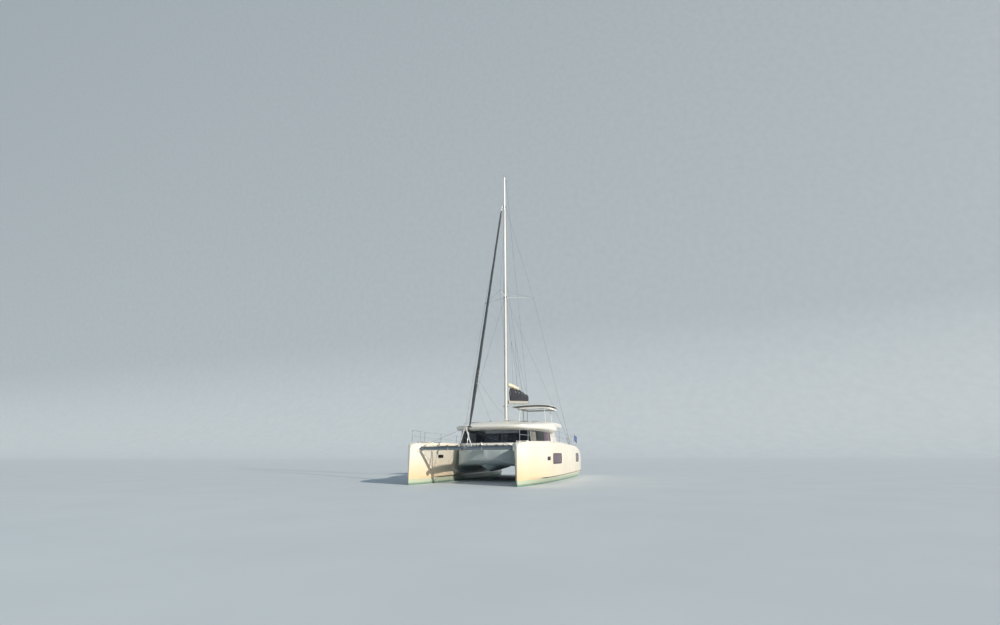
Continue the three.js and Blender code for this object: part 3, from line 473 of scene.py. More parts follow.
def box_vf(x0, x1, y0, y1, z0, z1):
    v = [(x, y, z) for x in (x0, x1) for y in (y0, y1) for z in (z0, z1)]
    return v, [(0, 1, 3, 2), (4, 6, 7, 5), (0, 4, 5, 1), (2, 3, 7, 6), (0, 2, 6, 4), (1, 5, 7, 3)]


def cutbox(x0, x1, y0, y1, z0, z1):
    return raw("cutter", *box_vf(*mm(x0, x1, y0, y1, z0, z1)))


def spline(points, steps=8, closed=False):
    """Catmull-Rom through points (any dimension), steps per span."""
    P = [np.array(p, float) for p in points]
    n = len(P)
    out = []
    spans = n if closed else n - 1
    for i in range(spans):
        p1, p2 = P[i], P[(i + 1) % n]
        p0 = P[i - 1] if (i > 0 or closed) else 2 * p1 - p2
        p3 = P[(i + 2) % n] if (i + 2 < n or closed) else 2 * p2 - p1
        for k in range(steps):
            t = k / steps
            out.append(0.5 * ((2 * p1) + (-p0 + p2) * t + (2 * p0 - 5 * p1 + 4 * p2 - p3) * t * t + (-p0 + 3 * p1 - 3 * p2 + p3) * t ** 3))
    if not closed:
        out.append(P[-1])
    return out


def frames(P, closed=False):
    """Rotation-minimising frames along a path."""
    P = [Vector(p) for p in P]
    T = []
    for i in range(len(P)):
        a = P[i - 1] if (i > 0 or closed) else P[i]
        b = P[(i + 1) % len(P)] if (i < len(P) - 1 or closed) else P[i]
        t = (b - a)
        T.append(t.normalized() if t.length > 1e-9 else (T[-1] if T else Vector((0, 0, 1))))
    ref = Vector((0, 0, 1)) if abs(T[0].z) < 0.9 else Vector((1, 0, 0))
    u = T[0].cross(ref).normalized()
    out = [(P[0], u, T[0].cross(u).normalized())]
    for i in range(1, len(P)):
        q = T[i - 1].rotation_difference(T[i])
        u = q @ out[-1][1]
        u = (u - T[i] * u.dot(T[i])).normalized()
        out.append((P[i], u, T[i].cross(u).normalized()))
    return out


def tube_vf(P, r, sides=10, caps=True, closed=False, squash=1.0):
    F = frames(P, closed)
    rad = r if callable(r) else (lambda i: (r[i] if isinstance(r, (list, tuple)) else r))
    rings = []
    for i, (p, u, v) in enumerate(F):
        q = rad(i)
        rings.append([tuple(p + u * q * math.cos(2 * math.pi * k / sides) + v * q * squash * math.sin(2 * math.pi * k / sides)) for k in range(sides)])
    if closed:
        rings.append(rings[0])
        v_, f_ = loft(rings, True, False)
        return v_, f_
    return loft(rings, True, caps)


def join_vf(parts):
    verts, faces = [], []
    for v, f in parts:
        o = len(verts)
        verts += list(v)
        faces += [tuple(i + o for i in g) for g in f]
    return verts, faces


def mirror_vf(vf):
    v, f = vf
    return [(x, -y, z) for x, y, z in v], [tuple(reversed(g)) for g in f]


def lathe_vf(profile, at, axis="Z", sides=28):
    """profile: (radius, height) pairs, closed on the axis."""
    rings = []
    for r, h in profile:
        ring = []
        for k in range(sides):
            a = 2 * math.pi * k / sides
            c, s = r * math.cos(a), r * math.sin(a)
            ring.append({"Z": (at[0] + c, at[1] + s, at[2] + h), "Y": (at[0] + s, at[1] + h, at[2] + c), "X": (at[0] + h, at[1] + c, at[2] + s)}[axis])
        rings.append(ring)
    return loft(rings)


def rounded_rect(w, h, r, n=5):
    pts = []
    for cx, cy_, a0 in ((w / 2 - r, h / 2 - r, 0), (-w / 2 + r, h / 2 - r, 90), (-w / 2 + r, -h / 2 + r, 180), (w / 2 - r, -h / 2 + r, 270)):
        for k in range(n + 1):
            a = math.radians(a0 + 90 * k / n)
            pts.append((cx + r * math.cos(a), cy_ + r * math.sin(a)))
    return pts


def rbox_vf(x0, x1, y0, y1, z0, z1, r=0.01, n=3):
    """A box with rounded vertical and horizontal edges, from stacked inset rings."""
    w, h, d = x1 - x0, y1 - y0, z1 - z0
    r = min(r, w / 2.01, h / 2.01, d / 2.01)
    rings = []
    levels = [(z0 + r * (1 - math.cos(a)), r * (1 - math.sin(a))) for a in [math.pi / 2 * k / n for k in range(n + 1)]]
    levels += [(z1 - r * (1 - math.cos(a)), r * (1 - math.sin(a))) for a in [math.pi / 2 * k / n for k in range(n, -1, -1)]]
    cx, cy_ = (x0 + x1) / 2, (y0 + y1) / 2
    for z, inset in levels:
        rings.append([(cx + a, cy_ + b, z) for a, b in rounded_rect(w - 2 * inset, h - 2 * inset, max(r - inset, 0.0005) if inset < r else 0.0005, 3)])
    return loft(rings)

# ------------------------------------------------------------------ hull form (mm)
HULL_Y = 2800
# x, outer half width, inner half width, sheer z, waterline half width, canoe depth z, knuckle z, knuckle share, step
STATIONS = [
    [6400, 22, 22, 1760, 20, -200, 330, 0.45, 0], [6355, 78, 74, 1890, 50, -285, 330, 0.45, 0], [6240, 170, 140, 1955, 98, -360, 332, 0.46, 0],
    [5990, 340, 240, 1990, 170, -430, 335, 0.5, 0], [5480, 565, 400, 2015, 270, -495, 340, 0.62, 30], [4500, 830, 610, 2040, 415, -550, 345, 0.78, 62],
    [3300, 975, 738, 2060, 550, -580, 350, 0.87, 84], [1500, 1050, 750, 2055, 640, -600, 360, 0.9, 92], [-500, 1050, 750, 2015, 680, -600, 375, 0.9, 92],
    [-2500, 1035, 750, 1955, 680, -555, 390, 0.9, 90], [-3500, 1015, 750, 1920, 670, -490, 398, 0.9, 84], [-4300, 985, 748, 1875, 655, -405, 402, 0.9, 76],
    [-5150, 940, 735, 1770, 630, -275, 408, 0.9, 64], [-5750, 895, 705, 1580, 600, -155, 405, 0.9, 48], [-6100, 855, 675, 1290, 565, -75, 390, 0.9, 28],
    [-6300, 800, 635, 820, 520, -10, 350, 0.9, 18], [-6400, 715, 565, 335, 460, 45, 240, 0.9, 8],
]


def pchip(xs, ys, q):
    """Monotone cubic through (xs, ys) with xs rising."""
    xs, ys, q = np.asarray(xs, float), np.asarray(ys, float), np.atleast_1d(np.asarray(q, float))
    h, d = np.diff(xs), np.diff(ys) / np.diff(xs)
    m = np.zeros_like(ys)
    for i in range(1, len(xs) - 1):
        if d[i - 1] * d[i] > 0:
            w1, w2 = 2 * h[i] + h[i - 1], h[i] + 2 * h[i - 1]
            m[i] = (w1 + w2) / (w1 / d[i - 1] + w2 / d[i])
    m[0], m[-1] = d[0], d[-1]
    k = np.clip(np.searchsorted(xs, q) - 1, 0, len(h) - 1)
    t = (np.clip(q, xs[0], xs[-1]) - xs[k]) / h[k]
    h00, h10, h01, h11 = 2 * t**3 - 3 * t**2 + 1, t**3 - 2 * t**2 + t, -2 * t**3 + 3 * t**2, t**3 - t**2
    return h00 * ys[k] + h10 * h[k] * m[k] + h01 * ys[k + 1] + h11 * h[k] * m[k + 1]


_S = np.array(STATIONS[::-1], float)


def station(x):
    return [float(pchip(_S[:, 0], _S[:, c], x)[0]) for c in range(1, 9)]


def half_section(x, outer, grow=0.0):
    """(offset from the hull's centre plane, z) from the keel line up round the sheer, mm."""
    wo, wi, zd, wl, zb, zk, share, step = station(x)
    w = wo if outer else wi
    wk = wl + (w - wl) * share
    r = min(120, w * 0.45)
    pts = spline([(0, zb), (0.36 * wl, 0.95 * zb), (0.73 * wl, 0.72 * zb), (0.94 * wl, 0.32 * zb), (wl, 0)], 3)[1:]
    pts += spline([(wl, 0), (wl + (wk - step - wl) * 0.62, zk * 0.5), (wk - step, zk - 22)], 3)[1:]
    pts += [np.array((wk - 2, zk - 4.0)), np.array((wk, zk + 2.0))]
    pts += spline([(wk, zk + 2), (wk + (w - wk) * 0.72, zk + (zd - zk) * 0.48), (w, zd - r)], 6)[1:]
    for k in range(1, 8):
        a = math.radians(90 * k / 7)
        pts.append(np.array((w - r + r * math.cos(a), zd - r + r * math.sin(a))))
    return [(p[0] + grow, p[1]) for p in pts]


def hull_ring(x, scale=1.0, drop=0.0, at=None):
    zb = station(x)[4]
    o, i = half_section(x, True), half_section(x, False)
    ring = [(0, zb)] + o + i[::-1]
    n = len(o)
    out = []
    for k, (a, z) in enumerate(ring):
        s = -1 if k > n else 1
        z = z - drop if z > 1000 else z + (drop * 0.6 if z < 0 else 0)
        out.append(mm(at if at is not None else x, HULL_Y + s * a * scale, z))
    return out


def skin_y(x, z, outer):
    s = half_section(x, outer)
    for (a, za), (b, zb) in zip(s, s[1:]):
        if za <= z <= zb:
            return HULL_Y + (1 if outer else -1) * (a + (b - a) * (z - za) / max(1e-6, zb - za))
    return HULL_Y + (1 if outer else -1) * s[-1][0]


def deck_z(x):
    return station(x)[2]


STEPS = [(-4320, 1150, 3480), (-5230, 885, 3450), (-5540, 620, 3420), (-5850, 360, 3380)]
BAY = dict(x0=-5080, x1=-4420, y0=2450, y1=3150, z=-60)
PEAK = dict(x0=4560, x1=5100, y0=2460, y1=2860, z=900)
HULL_WINDOW = (1290, 3060, 985, 1435)
PORTS = [(HULL_WINDOW, True), ((-4560, -3420, 1010, 1450), True)]
SMALL_PORTS = [((3540, 3990, 1135, 1310), True), ((3930, 4420, 1262, 1415), False)]

xs = list(np.concatenate([np.linspace(-6400, -5700, 15), np.linspace(-5640, 5400, 74), np.linspace(5460, 6240, 18), np.linspace(6262, 6400, 9)]))
rings = [hull_ring(x) for x in xs]
rings += [hull_ring(6400, 0.72, 10, 6409), hull_ring(6400, 0.3, 26, 6414)]
hull = raw("hull", *loft(rings))


def stair_cutter():
    tools = []
    for k, (x, z, y) in enumerate(STEPS):
        tools.append(raw("cutter", *rbox_vf(*mm(-6700 - 7 * k, x - 0.7, 1500 + 11 * k, y - 0.9, z + 0.3, 2800 + 13 * k), r=0.035, n=2)))
    return tools


boolean(hull, stair_cutter())
boolean(hull, [cutbox(BAY["x0"], BAY["x1"], BAY["y0"], BAY["y1"], BAY["z"], 1400), cutbox(PEAK["x0"], PEAK["x1"], PEAK["y0"], PEAK["y1"], PEAK["z"], 2200),
               raw("cutter", *lathe_vf([(0, 0), (0.054, 0), (0.054, 0.46), (0, 0.46)], mm(-5480, HULL_Y, -400)))])


def skin_ring(x0, x1, z0, z1, r, grow, off, outer, n=5, dens=6):
    """A rounded rectangle in x and z, laid on the hull's side; off is outwards from the skin."""
    w, h = x1 - x0 + 2 * grow, z1 - z0 + 2 * grow
    pts = rounded_rect(w, h, max(1.0, min(r + grow, w / 2.01, h / 2.01)), n)
    fine = []
    for (a, b), (c, d) in zip(pts, pts[1:] + pts[:1]):
        m = max(1, int(max(abs(a - c), abs(b - d)) // (w / dens)))
        fine += [(a + (c - a) * k / m, b + (d - b) * k / m) for k in range(m)]
    s = 1 if outer else -1
    return [mm((x0 + x1) / 2 + a, skin_y((x0 + x1) / 2 + a, (z0 + z1) / 2 + b, outer) + s * off, (z0 + z1) / 2 + b) for a, b in fine]


def skin_cutter(p, r, outer, depth):
    return raw("cutter", *loft([skin_ring(*p, r, 0, 40, outer), skin_ring(*p, r, 0, -depth, outer)]))


for p, outer in PORTS:
    boolean(hull, [skin_cutter(p, 70, outer, 26)])
for p, outer in SMALL_PORTS:
    boolean(hull, [skin_cutter(p, 45, outer, 14)])
me_hull = hull.data


def finish_raw(o, name, mat, body=BOAT, angle=35):
    o.name = name
    o.data.materials.clear()
    o.data.materials.append(M[mat])
    shade(o, angle)
    if body:
        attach(o, body)
    return o


def mirror_copy(o, name, body=None):
    me = o.data.copy()
    me.transform(Matrix.Scale(-1, 4, (0, 1, 0)))
    me.flip_normals()
    c = bpy.data.objects.new(name, me)
    bpy.context.scene.collection.objects.link(c)
    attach(c, body or o["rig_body"])
    return c


finish_raw(hull, "hull_shell_port", "hull", angle=32)
hull2 = mirror_copy(hull, "hull_shell_starboard")
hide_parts("hull_port")
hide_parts("hull_starboard")


def both(name, vf, mat, body=BOAT, body_s=None, smooth=35, replaces=None, slots=None):
    """A port piece and its mirror image to starboard."""
    a = obj_from(name + "_port", *vf, mat, body, smooth, slots)
    b = obj_from(name + "_starboard", *mirror_vf(vf), mat, body_s or body, smooth, slots)
    for o, side_ in ((a, "_port"), (b, "_starboard")):
        if replaces:
            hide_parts(replaces + side_)
    return a, b


def one(name, vf, mat, body=BOAT, smooth=35, replaces=(), slots=None):
    o = obj_from(name, *vf, mat, body, smooth, slots)
    if replaces:
        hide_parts(*([replaces] if isinstance(replaces, str) else replaces))
    return o


def skin_pane(p, r, off, outer, grow=-3.0):
    """Glass or a plate laid on the hull's side, from inset rings to the middle."""
    x0, x1, z0, z1 = p
    h = (z1 - z0) / 2
    rings_ = [skin_ring(*p, r, grow - g, off, outer) for g in (0, 2, h * 0.25, h * 0.5, h * 0.75, h * 0.96)]
    rings_[0] = skin_ring(*p, r, grow, off - 9, outer)
    return loft(rings_)


def skin_frame(p, r, outer, profile):
    """A moulded ring round an opening in the hull's side; profile: (outwards in the plane, off the skin)."""
    return loft([skin_ring(*p, r, g, off, outer) for g, off in profile], True, False)


for k, (p, outer) in enumerate(PORTS):
    nm = ("main", "aft")[k]
    both("hull_pane_" + nm, skin_pane(p, 66, -9, outer), "hullglass", replaces="hull_window" if k == 0 else None)
    both("hull_gasket_" + nm, skin_frame(p, 68, outer, [(-16, -8), (-15, -2), (-8, 3), (1, 4), (3, -4)]), "darkglass")
    both("hull_surround_" + nm, skin_frame(p, 68, outer, [(1, -6), (2, 5), (6, 7), (40, 7), (44, 5), (45, -6)]), "window_rim")
for k, (p, outer) in enumerate(SMALL_PORTS):
    nm = ("bow", "inner")[k]
    both("hull_port_" + nm + "_pane", skin_pane(p, 42, -6, outer), "darkglass")
    both("hull_port_" + nm + "_rim", skin_frame(p, 42, outer, [(-6, -7), (-5, 3), (2, 6), (12, 5), (16, -3)]), "steel")

# Escape hatch low on the inner side, exhausts, drains and through-hull fittings
both("escape_hatch_pane", skin_pane((-1650, -1130, 620, 990), 60, 3, False), "darkglass")
both("escape_hatch_rim", skin_frame((-1650, -1130, 620, 990), 60, False, [(-6, -4), (-4, 12), (6, 16), (26, 14), (34, 6), (36, -4)]), "white")


def skin_disc(x, z, outer, r, profile):
    """A round fitting on the hull's side; profile: (radius share, off the skin)."""
    s = 1 if outer else -1
    y = skin_y(x, z, outer)
    rings_ = []
    for q, off in profile:
        rings_.append([mm(x + r * q * math.cos(2 * math.pi * k / 20), y + s * off, z + r * q * math.sin(2 * math.pi * k / 20)) for k in range(20)])
    return loft(rings_)


parts = []
for x, z, r in ((-5050, 230, 34), (-3600, 205, 20), (-2100, 215, 20), (600, 210, 18), (2600, 205, 16), (-1200, 1760, 14), (1900, 1800, 12)):
    parts.append(skin_disc(x, z, True, r, [(1.5, -4), (1.5, 3), (1.35, 6), (0.9, 7), (0.86, 2), (0.7, -12), (0.0, -14)]))
both("skin_fittings", join_vf(parts), "steel")

# Mooring eyes at the stems, with their plates
def pad_eye(x, y, z, out, size=34):
    """out: a unit vector off the surface."""
    o = Vector(out)
    t = o.cross(Vector((0, 0, 1))).normalized() if abs(o.z) < 0.9 else Vector((1, 0, 0))
    c = Vector(mm(x, y, z))
    s = size / 1000
    arc = [c + t * s * math.cos(a) + o * (0.004 + s * 1.25 * math.sin(a)) for a in [math.pi * k / 12 for k in range(13)]]
    plate_c = [c + o * h for h in (-0.006, 0.006)]
    b = o.cross(t)
    rr = [[tuple(q + t * u * s * 1.7 + b * v * s * 0.9) for u, v in rounded_rect(2, 1.4, 0.45, 3)] for q in plate_c]
    return join_vf([tube_vf(arc, 0.0065, 8), loft(rr)])


both("bridle_eye", pad_eye(6300, 2800, 1120, (1, 0, 0), 40), "steel")

# ------------------------------------------------------------------ bridge deck
TUNNEL_Z, INNER_Y, SOLE_Z, CABIN_AFT_X = 800, 2050, 1150, -2750
BEAM_X, BEAM_Z, BEAM_R, BEAM_END_Y = 5950, 1725, 85, 2440


def half_tunnel(roof, top):
    corner = spline([(-INNER_Y, roof - 350), (-INNER_Y + 75, roof - 160), (-INNER_Y + 210, roof - 42), (-INNER_Y + 400, roof)], 5)
    left = [(-2170, top), (-2170, roof - 380)] + [tuple(p) for p in corner]
    return left + [(-y, z) for y, z in left[::-1]]


_B = np.array([[-5750, 930, 1900], [-5650, 900, 1930], [-5300, 850, 1930], [-2750, 800, 1930], [1500, 800, 1930], [2550, 860, 1930], [2990, 960, 1930], [3180, 1080, 1930], [3260, 1180, 1930], [3295, 1240, 1880], [3310, 1290, 1640]], float)
bx = list(np.linspace(-5750, -5300, 6)) + list(np.linspace(-4900, 1500, 12)) + list(np.linspace(1700, 3180, 18)) + [3215, 3245, 3265, 3285, 3298, 3310]
bridge = raw("bridge", *loft([[mm(x, y, z) for y, z in half_tunnel(float(pchip(_B[:, 0], _B[:, 1], x)[0]), float(pchip(_B[:, 0], _B[:, 2], x)[0]))] for x in bx]))
_N = np.array([[-2000, 200, 760, 1000], [-600, 420, 640, 1100], [1000, 560, 560, 1200], [2100, 640, 520, 1300], [2480, 620, 560, 1500], [2950, 430, 1020, 1700], [3300, 190, 1400, 1780], [3380, 60, 1560, 1780]], float)
nac = []
for x in list(np.linspace(-2000, 2100, 16)) + list(np.linspace(2160, 3380, 34)):
    w, zk, zt = (float(pchip(_N[:, 0], _N[:, c], x)[0]) for c in (1, 2, 3))
    zm = zk + min(240, (zt - zk) * 0.4)
    prof = spline([(0, zk), (w * 0.30, zk + (zm - zk) * 0.50), (w * 0.62, zm), (w * 0.93, min(zt - 25, zk + 480)), (w, zt)], 4)
    prof = [(max(0.5, a), z) for a, z in prof]
    nac.append([mm(x, 0, zk)] + [mm(x, a, z) for a, z in prof[1:]] + [mm(x, -a, z) for a, z in prof[:0:-1]])
boolean(bridge, [raw("nacelle", *loft(nac))], "UNION")
FACE = [(0, 3385), (70, 3385), (260, 3290), (700, 3262), (1050, 3190), (1400, 3010), (1680, 2740), (1880, 2400), (2010, 2000), (2120, 1500)]
_f = [tuple(p) for p in FACE[:2]] + [tuple(p) for p in spline(FACE[1:], 6)[1:]]
face_y, face_x = np.array([p[0] for p in _f]), np.array([p[1] for p in _f])


def face_at(y):
    return float(np.interp(abs(y), face_y, face_x))


def prism(pts_xy, z0, z1):
    return loft([[mm(x, y, z) for x, y in pts_xy] for z in (z0, z1)])


def side_prism(pts_xz, y0, y1):
    return loft([[mm(x, y, z) for x, z in pts_xz] for y in (y0, y1)])


for s in (1, -1):
    boolean(bridge, [raw("cutter", *prism([(x, s * y) for y, x in _f] + [(4100, s * 2230), (4100, s * -0.4)] + ([] if s > 0 else []), -10, 3000))])
boolean(bridge, [raw("cutter", *rbox_vf(*mm(CABIN_AFT_X, 1420, -2300, 2300, SOLE_Z, 2150), r=0.05)), raw("cutter", *rbox_vf(*mm(-5560, -2745, -2300, 2300, SOLE_Z + 0.4, 2150), r=0.05)),
                 cutbox(-5900, -5500, -2300, 2300, 1370, 2100), raw("cutter", *rbox_vf(*mm(2680, 3150, -420, 420, 1560, 2200), r=0.04)),
                 cutbox(-6600, -4340, 2050, 4000, 500, 2600), cutbox(-6600, -4340, -4000, -2050, 500, 2600)])
bevel(bridge, 0.016, 3, 42)
finish_raw(bridge, "bridge_deck_shell", "under", angle=38)
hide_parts("bridge_deck")

# Fairings that carry the hulls' decks down to the crossbeam's ends
def fairing(s):
    rings_ = []
    for x, w, zt, zb in ((6090, 24, 1850, 1680), (6050, 90, 1895, 1625), (5960, 150, 1935, 1590), (5850, 165, 1955, 1600), (5650, 130, 1975, 1650), (5450, 50, 1985, 1760)):
        y1 = HULL_Y - half_section(x, False)[-8][0] + 40
        y0 = y1 - w
        prof = spline([(y1, zt - 12), (y0 + w * 0.42, zt - 26), (y0 + w * 0.08, zt - 120), (y0, (zt + zb) / 2 - 30), (y0 + w * 0.25, zb + 12), (y1, zb - 60)], 4)
        rings_.append([mm(x, s * y, z) for y, z in prof] + [mm(x, s * (y1 + 120), zb - 60), mm(x, s * (y1 + 120), zt - 12)])
    fine = []
    for k in range(len(rings_[0])):
        fine.append(spline([r[k] for r in rings_], 5))
    return loft([[tuple(col[i]) for col in fine] for i in range(len(fine[0]))])


both("beam_fairing", fairing(1), "hull", smooth=50)

# Crossbeam with its end castings, track and eyes
beam = [(BEAM_X / 1000, y / 1000, BEAM_Z / 1000) for y in np.linspace(-2440, 2440, 41)]
one("crossbeam_tube", tube_vf(beam, 0.083, 24), "beam", replaces="crossbeam", smooth=50)
one("crossbeam_ends", join_vf([tube_vf([mm(BEAM_X, s * y, BEAM_Z) for y in (2300, 2306, 2430, 2436)], [0.089, 0.0935, 0.0935, 0.089], 24) for s in (-1, 1)]), "beam", smooth=35)
parts = []
for s in (-1, 1):
    parts.append(rbox_vf(*mm(BEAM_X - 40, BEAM_X + 40, s * 2160 - 60, s * 2160 + 60, BEAM_Z + 74, BEAM_Z + 92), r=0.008))
for y in (-900, 900):
    parts.append(tube_vf([mm(BEAM_X, y - 16, BEAM_Z), mm(BEAM_X, y - 14, BEAM_Z), mm(BEAM_X, y + 14, BEAM_Z), mm(BEAM_X, y + 16, BEAM_Z)], [0.084, 0.0875, 0.0875, 0.084], 24))
    parts.append(pad_eye(BEAM_X, y, BEAM_Z + 87, (0, 0, 1), 26))
one("crossbeam_fittings", join_vf(parts), "steel", smooth=35)

# Cleats and blocks standing on the crossbeam
def cleat(x, y, z, along="x", size=150, h=48):
    s, parts = size / 2, []
    horn = [(-s, h * 0.95), (-s * 0.7, h), (-s * 0.3, h * 0.92), (0, h * 0.9), (s * 0.3, h * 0.92), (s * 0.7, h), (s, h * 0.95)]
    put = (lambda a, c: mm(x + a, y, z + c)) if along == "x" else (lambda a, c: mm(x, y + a, z + c))
    parts.append(tube_vf([put(a, c) for a, c in spline(horn, 3)], [0.0045 + 0.0065 * math.sin(math.pi * min(1, max(0.12, k / 18))) for k in range(19)], 10))
    for q in (-s * 0.34, s * 0.34):
        parts.append(tube_vf([put(q, -3), put(q, 4), put(q * 0.9, h * 0.45), put(q * 0.8, h * 0.9)], [0.015, 0.0135, 0.009, 0.0085], 10))
    a, b = (s * 0.62, 20) if along == "x" else (20, s * 0.62)
    parts.append(rbox_vf(*mm(x - a, x + a, y - b, y + b, z - 4, z + 5), r=0.003))
    return join_vf(parts)


def block(x, y, z, r=34, tilt=(0, 0, 1), name=None):
    """A sheave between two cheeks, hung on its eye."""
    parts = []
    for d in (-9, 9):
        parts.append(lathe_vf([(0, -0.0025), (r * 0.9 / 1000, -0.0025), (r / 1000, 0), (r * 0.9 / 1000, 0.0025), (0, 0.0025)], mm(x, y + d, z), "Y", 20))
    parts.append(lathe_vf([(0, -0.0065), (r * 0.82 / 1000, -0.0065), (r * 0.62 / 1000, 0), (r * 0.82 / 1000, 0.0065), (0, 0.0065)], mm(x, y, z), "Y", 20))
    parts.append(tube_vf([mm(x, y - 12, z), mm(x, y + 12, z)], 0.007, 10))
    parts.append(tube_vf([mm(x, y, z + r * 0.8), mm(x, y, z + r * 1.5)], 0.006, 8))
    return join_vf(parts)


parts = [cleat(BEAM_X, y, BEAM_Z + 82, "y", 210, 70) for y in (-970, -430, 380, 830, 1650)]
for y in (-1500, 600, 1150, 1980):
    parts.append(block(BEAM_X, y, BEAM_Z + 134, 40))
one("crossbeam_blocks", join_vf(parts), "black", smooth=35)

# Striker over the crossbeam: two legs, a cap and the wire with its turnbuckles
parts = []
for s in (1, -1):
    parts.append(tube_vf([mm(BEAM_X, s * 352, BEAM_Z + 88), mm(BEAM_X, s * 200, 2200), mm(BEAM_X, s * 44, 2690)], [0.031, 0.030, 0.028], 16))
    parts.append(rbox_vf(*mm(BEAM_X - 34, BEAM_X + 34, s * 352 - 46, s * 352 + 46, BEAM_Z + 84, BEAM_Z + 98), r=0.006))
parts.append(rbox_vf(*mm(BEAM_X - 36, BEAM_X + 36, -78, 78, 2662, 2728), r=0.018))
one("striker_legs", join_vf(parts), "striker", smooth=40, replaces="gull_striker")
parts = []
for s in (1, -1):
    a, b = mm(BEAM_X, s * 40, 2700), mm(BEAM_X, s * 2370, BEAM_Z + 98)
    parts.append(tube_vf([a, b], 0.0055, 8))
    A, B = Vector(a), Vector(b)
    for t, r in ((0.9, 0.011), (0.03, 0.010)):
        p = A.lerp(B, t)
        q = A.lerp(B, t + 0.07)
        parts.append(tube_vf([p, p.lerp(q, 0.1), p.lerp(q, 0.9), q], [r * 0.6, r, r, r * 0.6], 10))
    parts.append(pad_eye(BEAM_X, s * 2380, BEAM_Z + 84, (0, 0, 1), 18))
one("striker_wires", join_vf(parts), "wire", smooth=40)

# Centre beam: folded box with a rounded nose, and the roller on its stemhead
sec = [(-168, 1846), (-168, 1802), (-136, 1648), (-118, 1640), (118, 1640), (136, 1648), (168, 1802), (168, 1846), (150, 1852), (-150, 1852)]
one("centre_beam_shell", loft([[mm(x, y * k, z) for y, z in sec] for x, k in ((3392, 1), (3800, 1), (5200, 0.96), (5780, 0.88), (5860, 0.84))]), "gel", replaces="centre_beam", smooth=30)
parts = [rbox_vf(*mm(5700, 6050, -64, -52, 1812, 1868), r=0.004), rbox_vf(*mm(5700, 6050, 52, 64, 1812, 1868), r=0.004)]
cheek = [(6030, 1845), (6300, 1760), (6330, 1700), (6318, 1640), (6270, 1602), (6200, 1596), (6120, 1640), (6040, 1700)]
for y in (-62, 50):
    parts.append(side_prism(cheek, y, y + 12))
parts.append(tube_vf([mm(6270, -66, 1668), mm(6270, 66, 1668)], 0.012, 12))
one("bow_roller_cheeks", join_vf(parts), "steel", replaces="bow_roller", smooth=30)
one("bow_roller_wheel", lathe_vf([(0, -0.046), (0.043, -0.046), (0.043, -0.036), (0.024, -0.004), (0.024, 0.004), (0.043, 0.036), (0.043, 0.046), (0, 0.046)], mm(6270, 0, 1668), "Y", 24), "rubber")

# ------------------------------------------------------------------ trampolines: knotted nets laced to the beams
NET_Z = 1846
_net_edge = [(face_at(190) + 60, 190)] + [(BEAM_X - 130, 190), (BEAM_X - 130, 2350)] + [(5480, 2255), (4500, 2070), (3300, 1980), (2560, 1975)] + [(face_at(y) + 70, y) for y in (1880, 1680, 1400, 1050, 700, 400)]


def inside(poly, x, y):
    hit = False
    for (a, b), (c, d) in zip(poly, poly[1:] + poly[:1]):
        if (b > y) != (d > y) and x < (c - a) * (y - b) / (d - b) + a:
            hit = not hit
    return hit


def crossings(poly, axis, v):
    out = []
    for (a, b), (c, d) in zip(poly, poly[1:] + poly[:1]):
        if axis == "x":
            if (a > v) != (c > v):
                out.append(b + (d - b) * (v - a) / (c - a))
        elif (b > v) != (d > v):
            out.append(a + (c - a) * (v - b) / (d - b))
    return sorted(out)


def sag(x, y):
    u = max(0, min(1, (x - 3300) / 2520)); v = max(0, min(1, (y - 190) / 1900))
    return -34 * math.sin(math.pi * u) * math.sin(math.pi * v)


net_parts, net_area, PITCH = [], 0.0, 50
cords = []
for v in np.arange(2600, BEAM_X - 130, PITCH):
    c = crossings(_net_edge, "x", v)
    cords += [[(v, a), (v, b)] for a, b in zip(c[::2], c[1::2]) if b - a > 60]
for v in np.arange(190 + PITCH, 2350, PITCH):
    c = crossings(_net_edge, "y", v)
    cords += [[(a, v), (b, v)] for a, b in zip(c[::2], c[1::2]) if b - a > 60]
for (a, b), (c, d) in cords:
    n = 7
    P = [((a + (c - a) * k / n), (b + (d - b) * k / n)) for k in range(n + 1)]
    r = 3.4
    net_parts.append(tube_vf([mm(x, y, NET_Z + sag(x, y)) for x, y in P], r / 1000, 4))
    net_area += math.hypot(c - a, d - b) * r * 2 * 2.83 / 2 / 1e6
band = []
edge = _net_edge + [_net_edge[0]]
net_parts.append(tube_vf([mm(x, y, NET_Z) for x, y in _net_edge], 0.009, 6, closed=True))
for (a, b), (c, d) in zip(edge, edge[1:]):
    net_area += math.hypot(c - a, d - b) * 9 * 3 / 1e6
NETS = both("trampoline_net", join_vf(net_parts), "net", replaces="trampoline", smooth=60)
# Lacing from the net's border to the rails round it
lace = []
for (a, b), (c, d) in zip(edge, edge[1:]):
    L = math.hypot(c - a, d - b)
    nx, ny = (d - b) / L, -(c - a) / L
    if inside(_net_edge, (a + c) / 2 + nx * 8, (b + d) / 2 + ny * 8):
        nx, ny = -nx, -ny
    m = max(1, int(L // 90))
    zig = []
    for k in range(m + 1):
        t = k / m
        px, py = a + (c - a) * t, b + (d - b) * t
        out = 44 if k % 2 else 2
        zig.append(mm(px + nx * out, py + ny * out, NET_Z - 4))
    lace.append(tube_vf(zig, 0.0025, 4))
both("net_lacing", join_vf(lace), "rope_w", smooth=40)

# ------------------------------------------------------------------ saloon: walls, windows, door
PLAN = [(2450, 0), (2435, 600), (2370, 1150), (2190, 1620), (1860, 1980), (1400, 2230), (760, 2380), (-200, 2440), (-1500, 2450), (CABIN_AFT_X, 2440)]
_full = [(x, -y) for x, y in PLAN[:0:-1]] + PLAN
_sm = spline(_full, 8)
_half = [tuple(p) for p in _sm[len(PLAN[1:]) * 8:]]
_half[0] = (2450.0, 0.0)


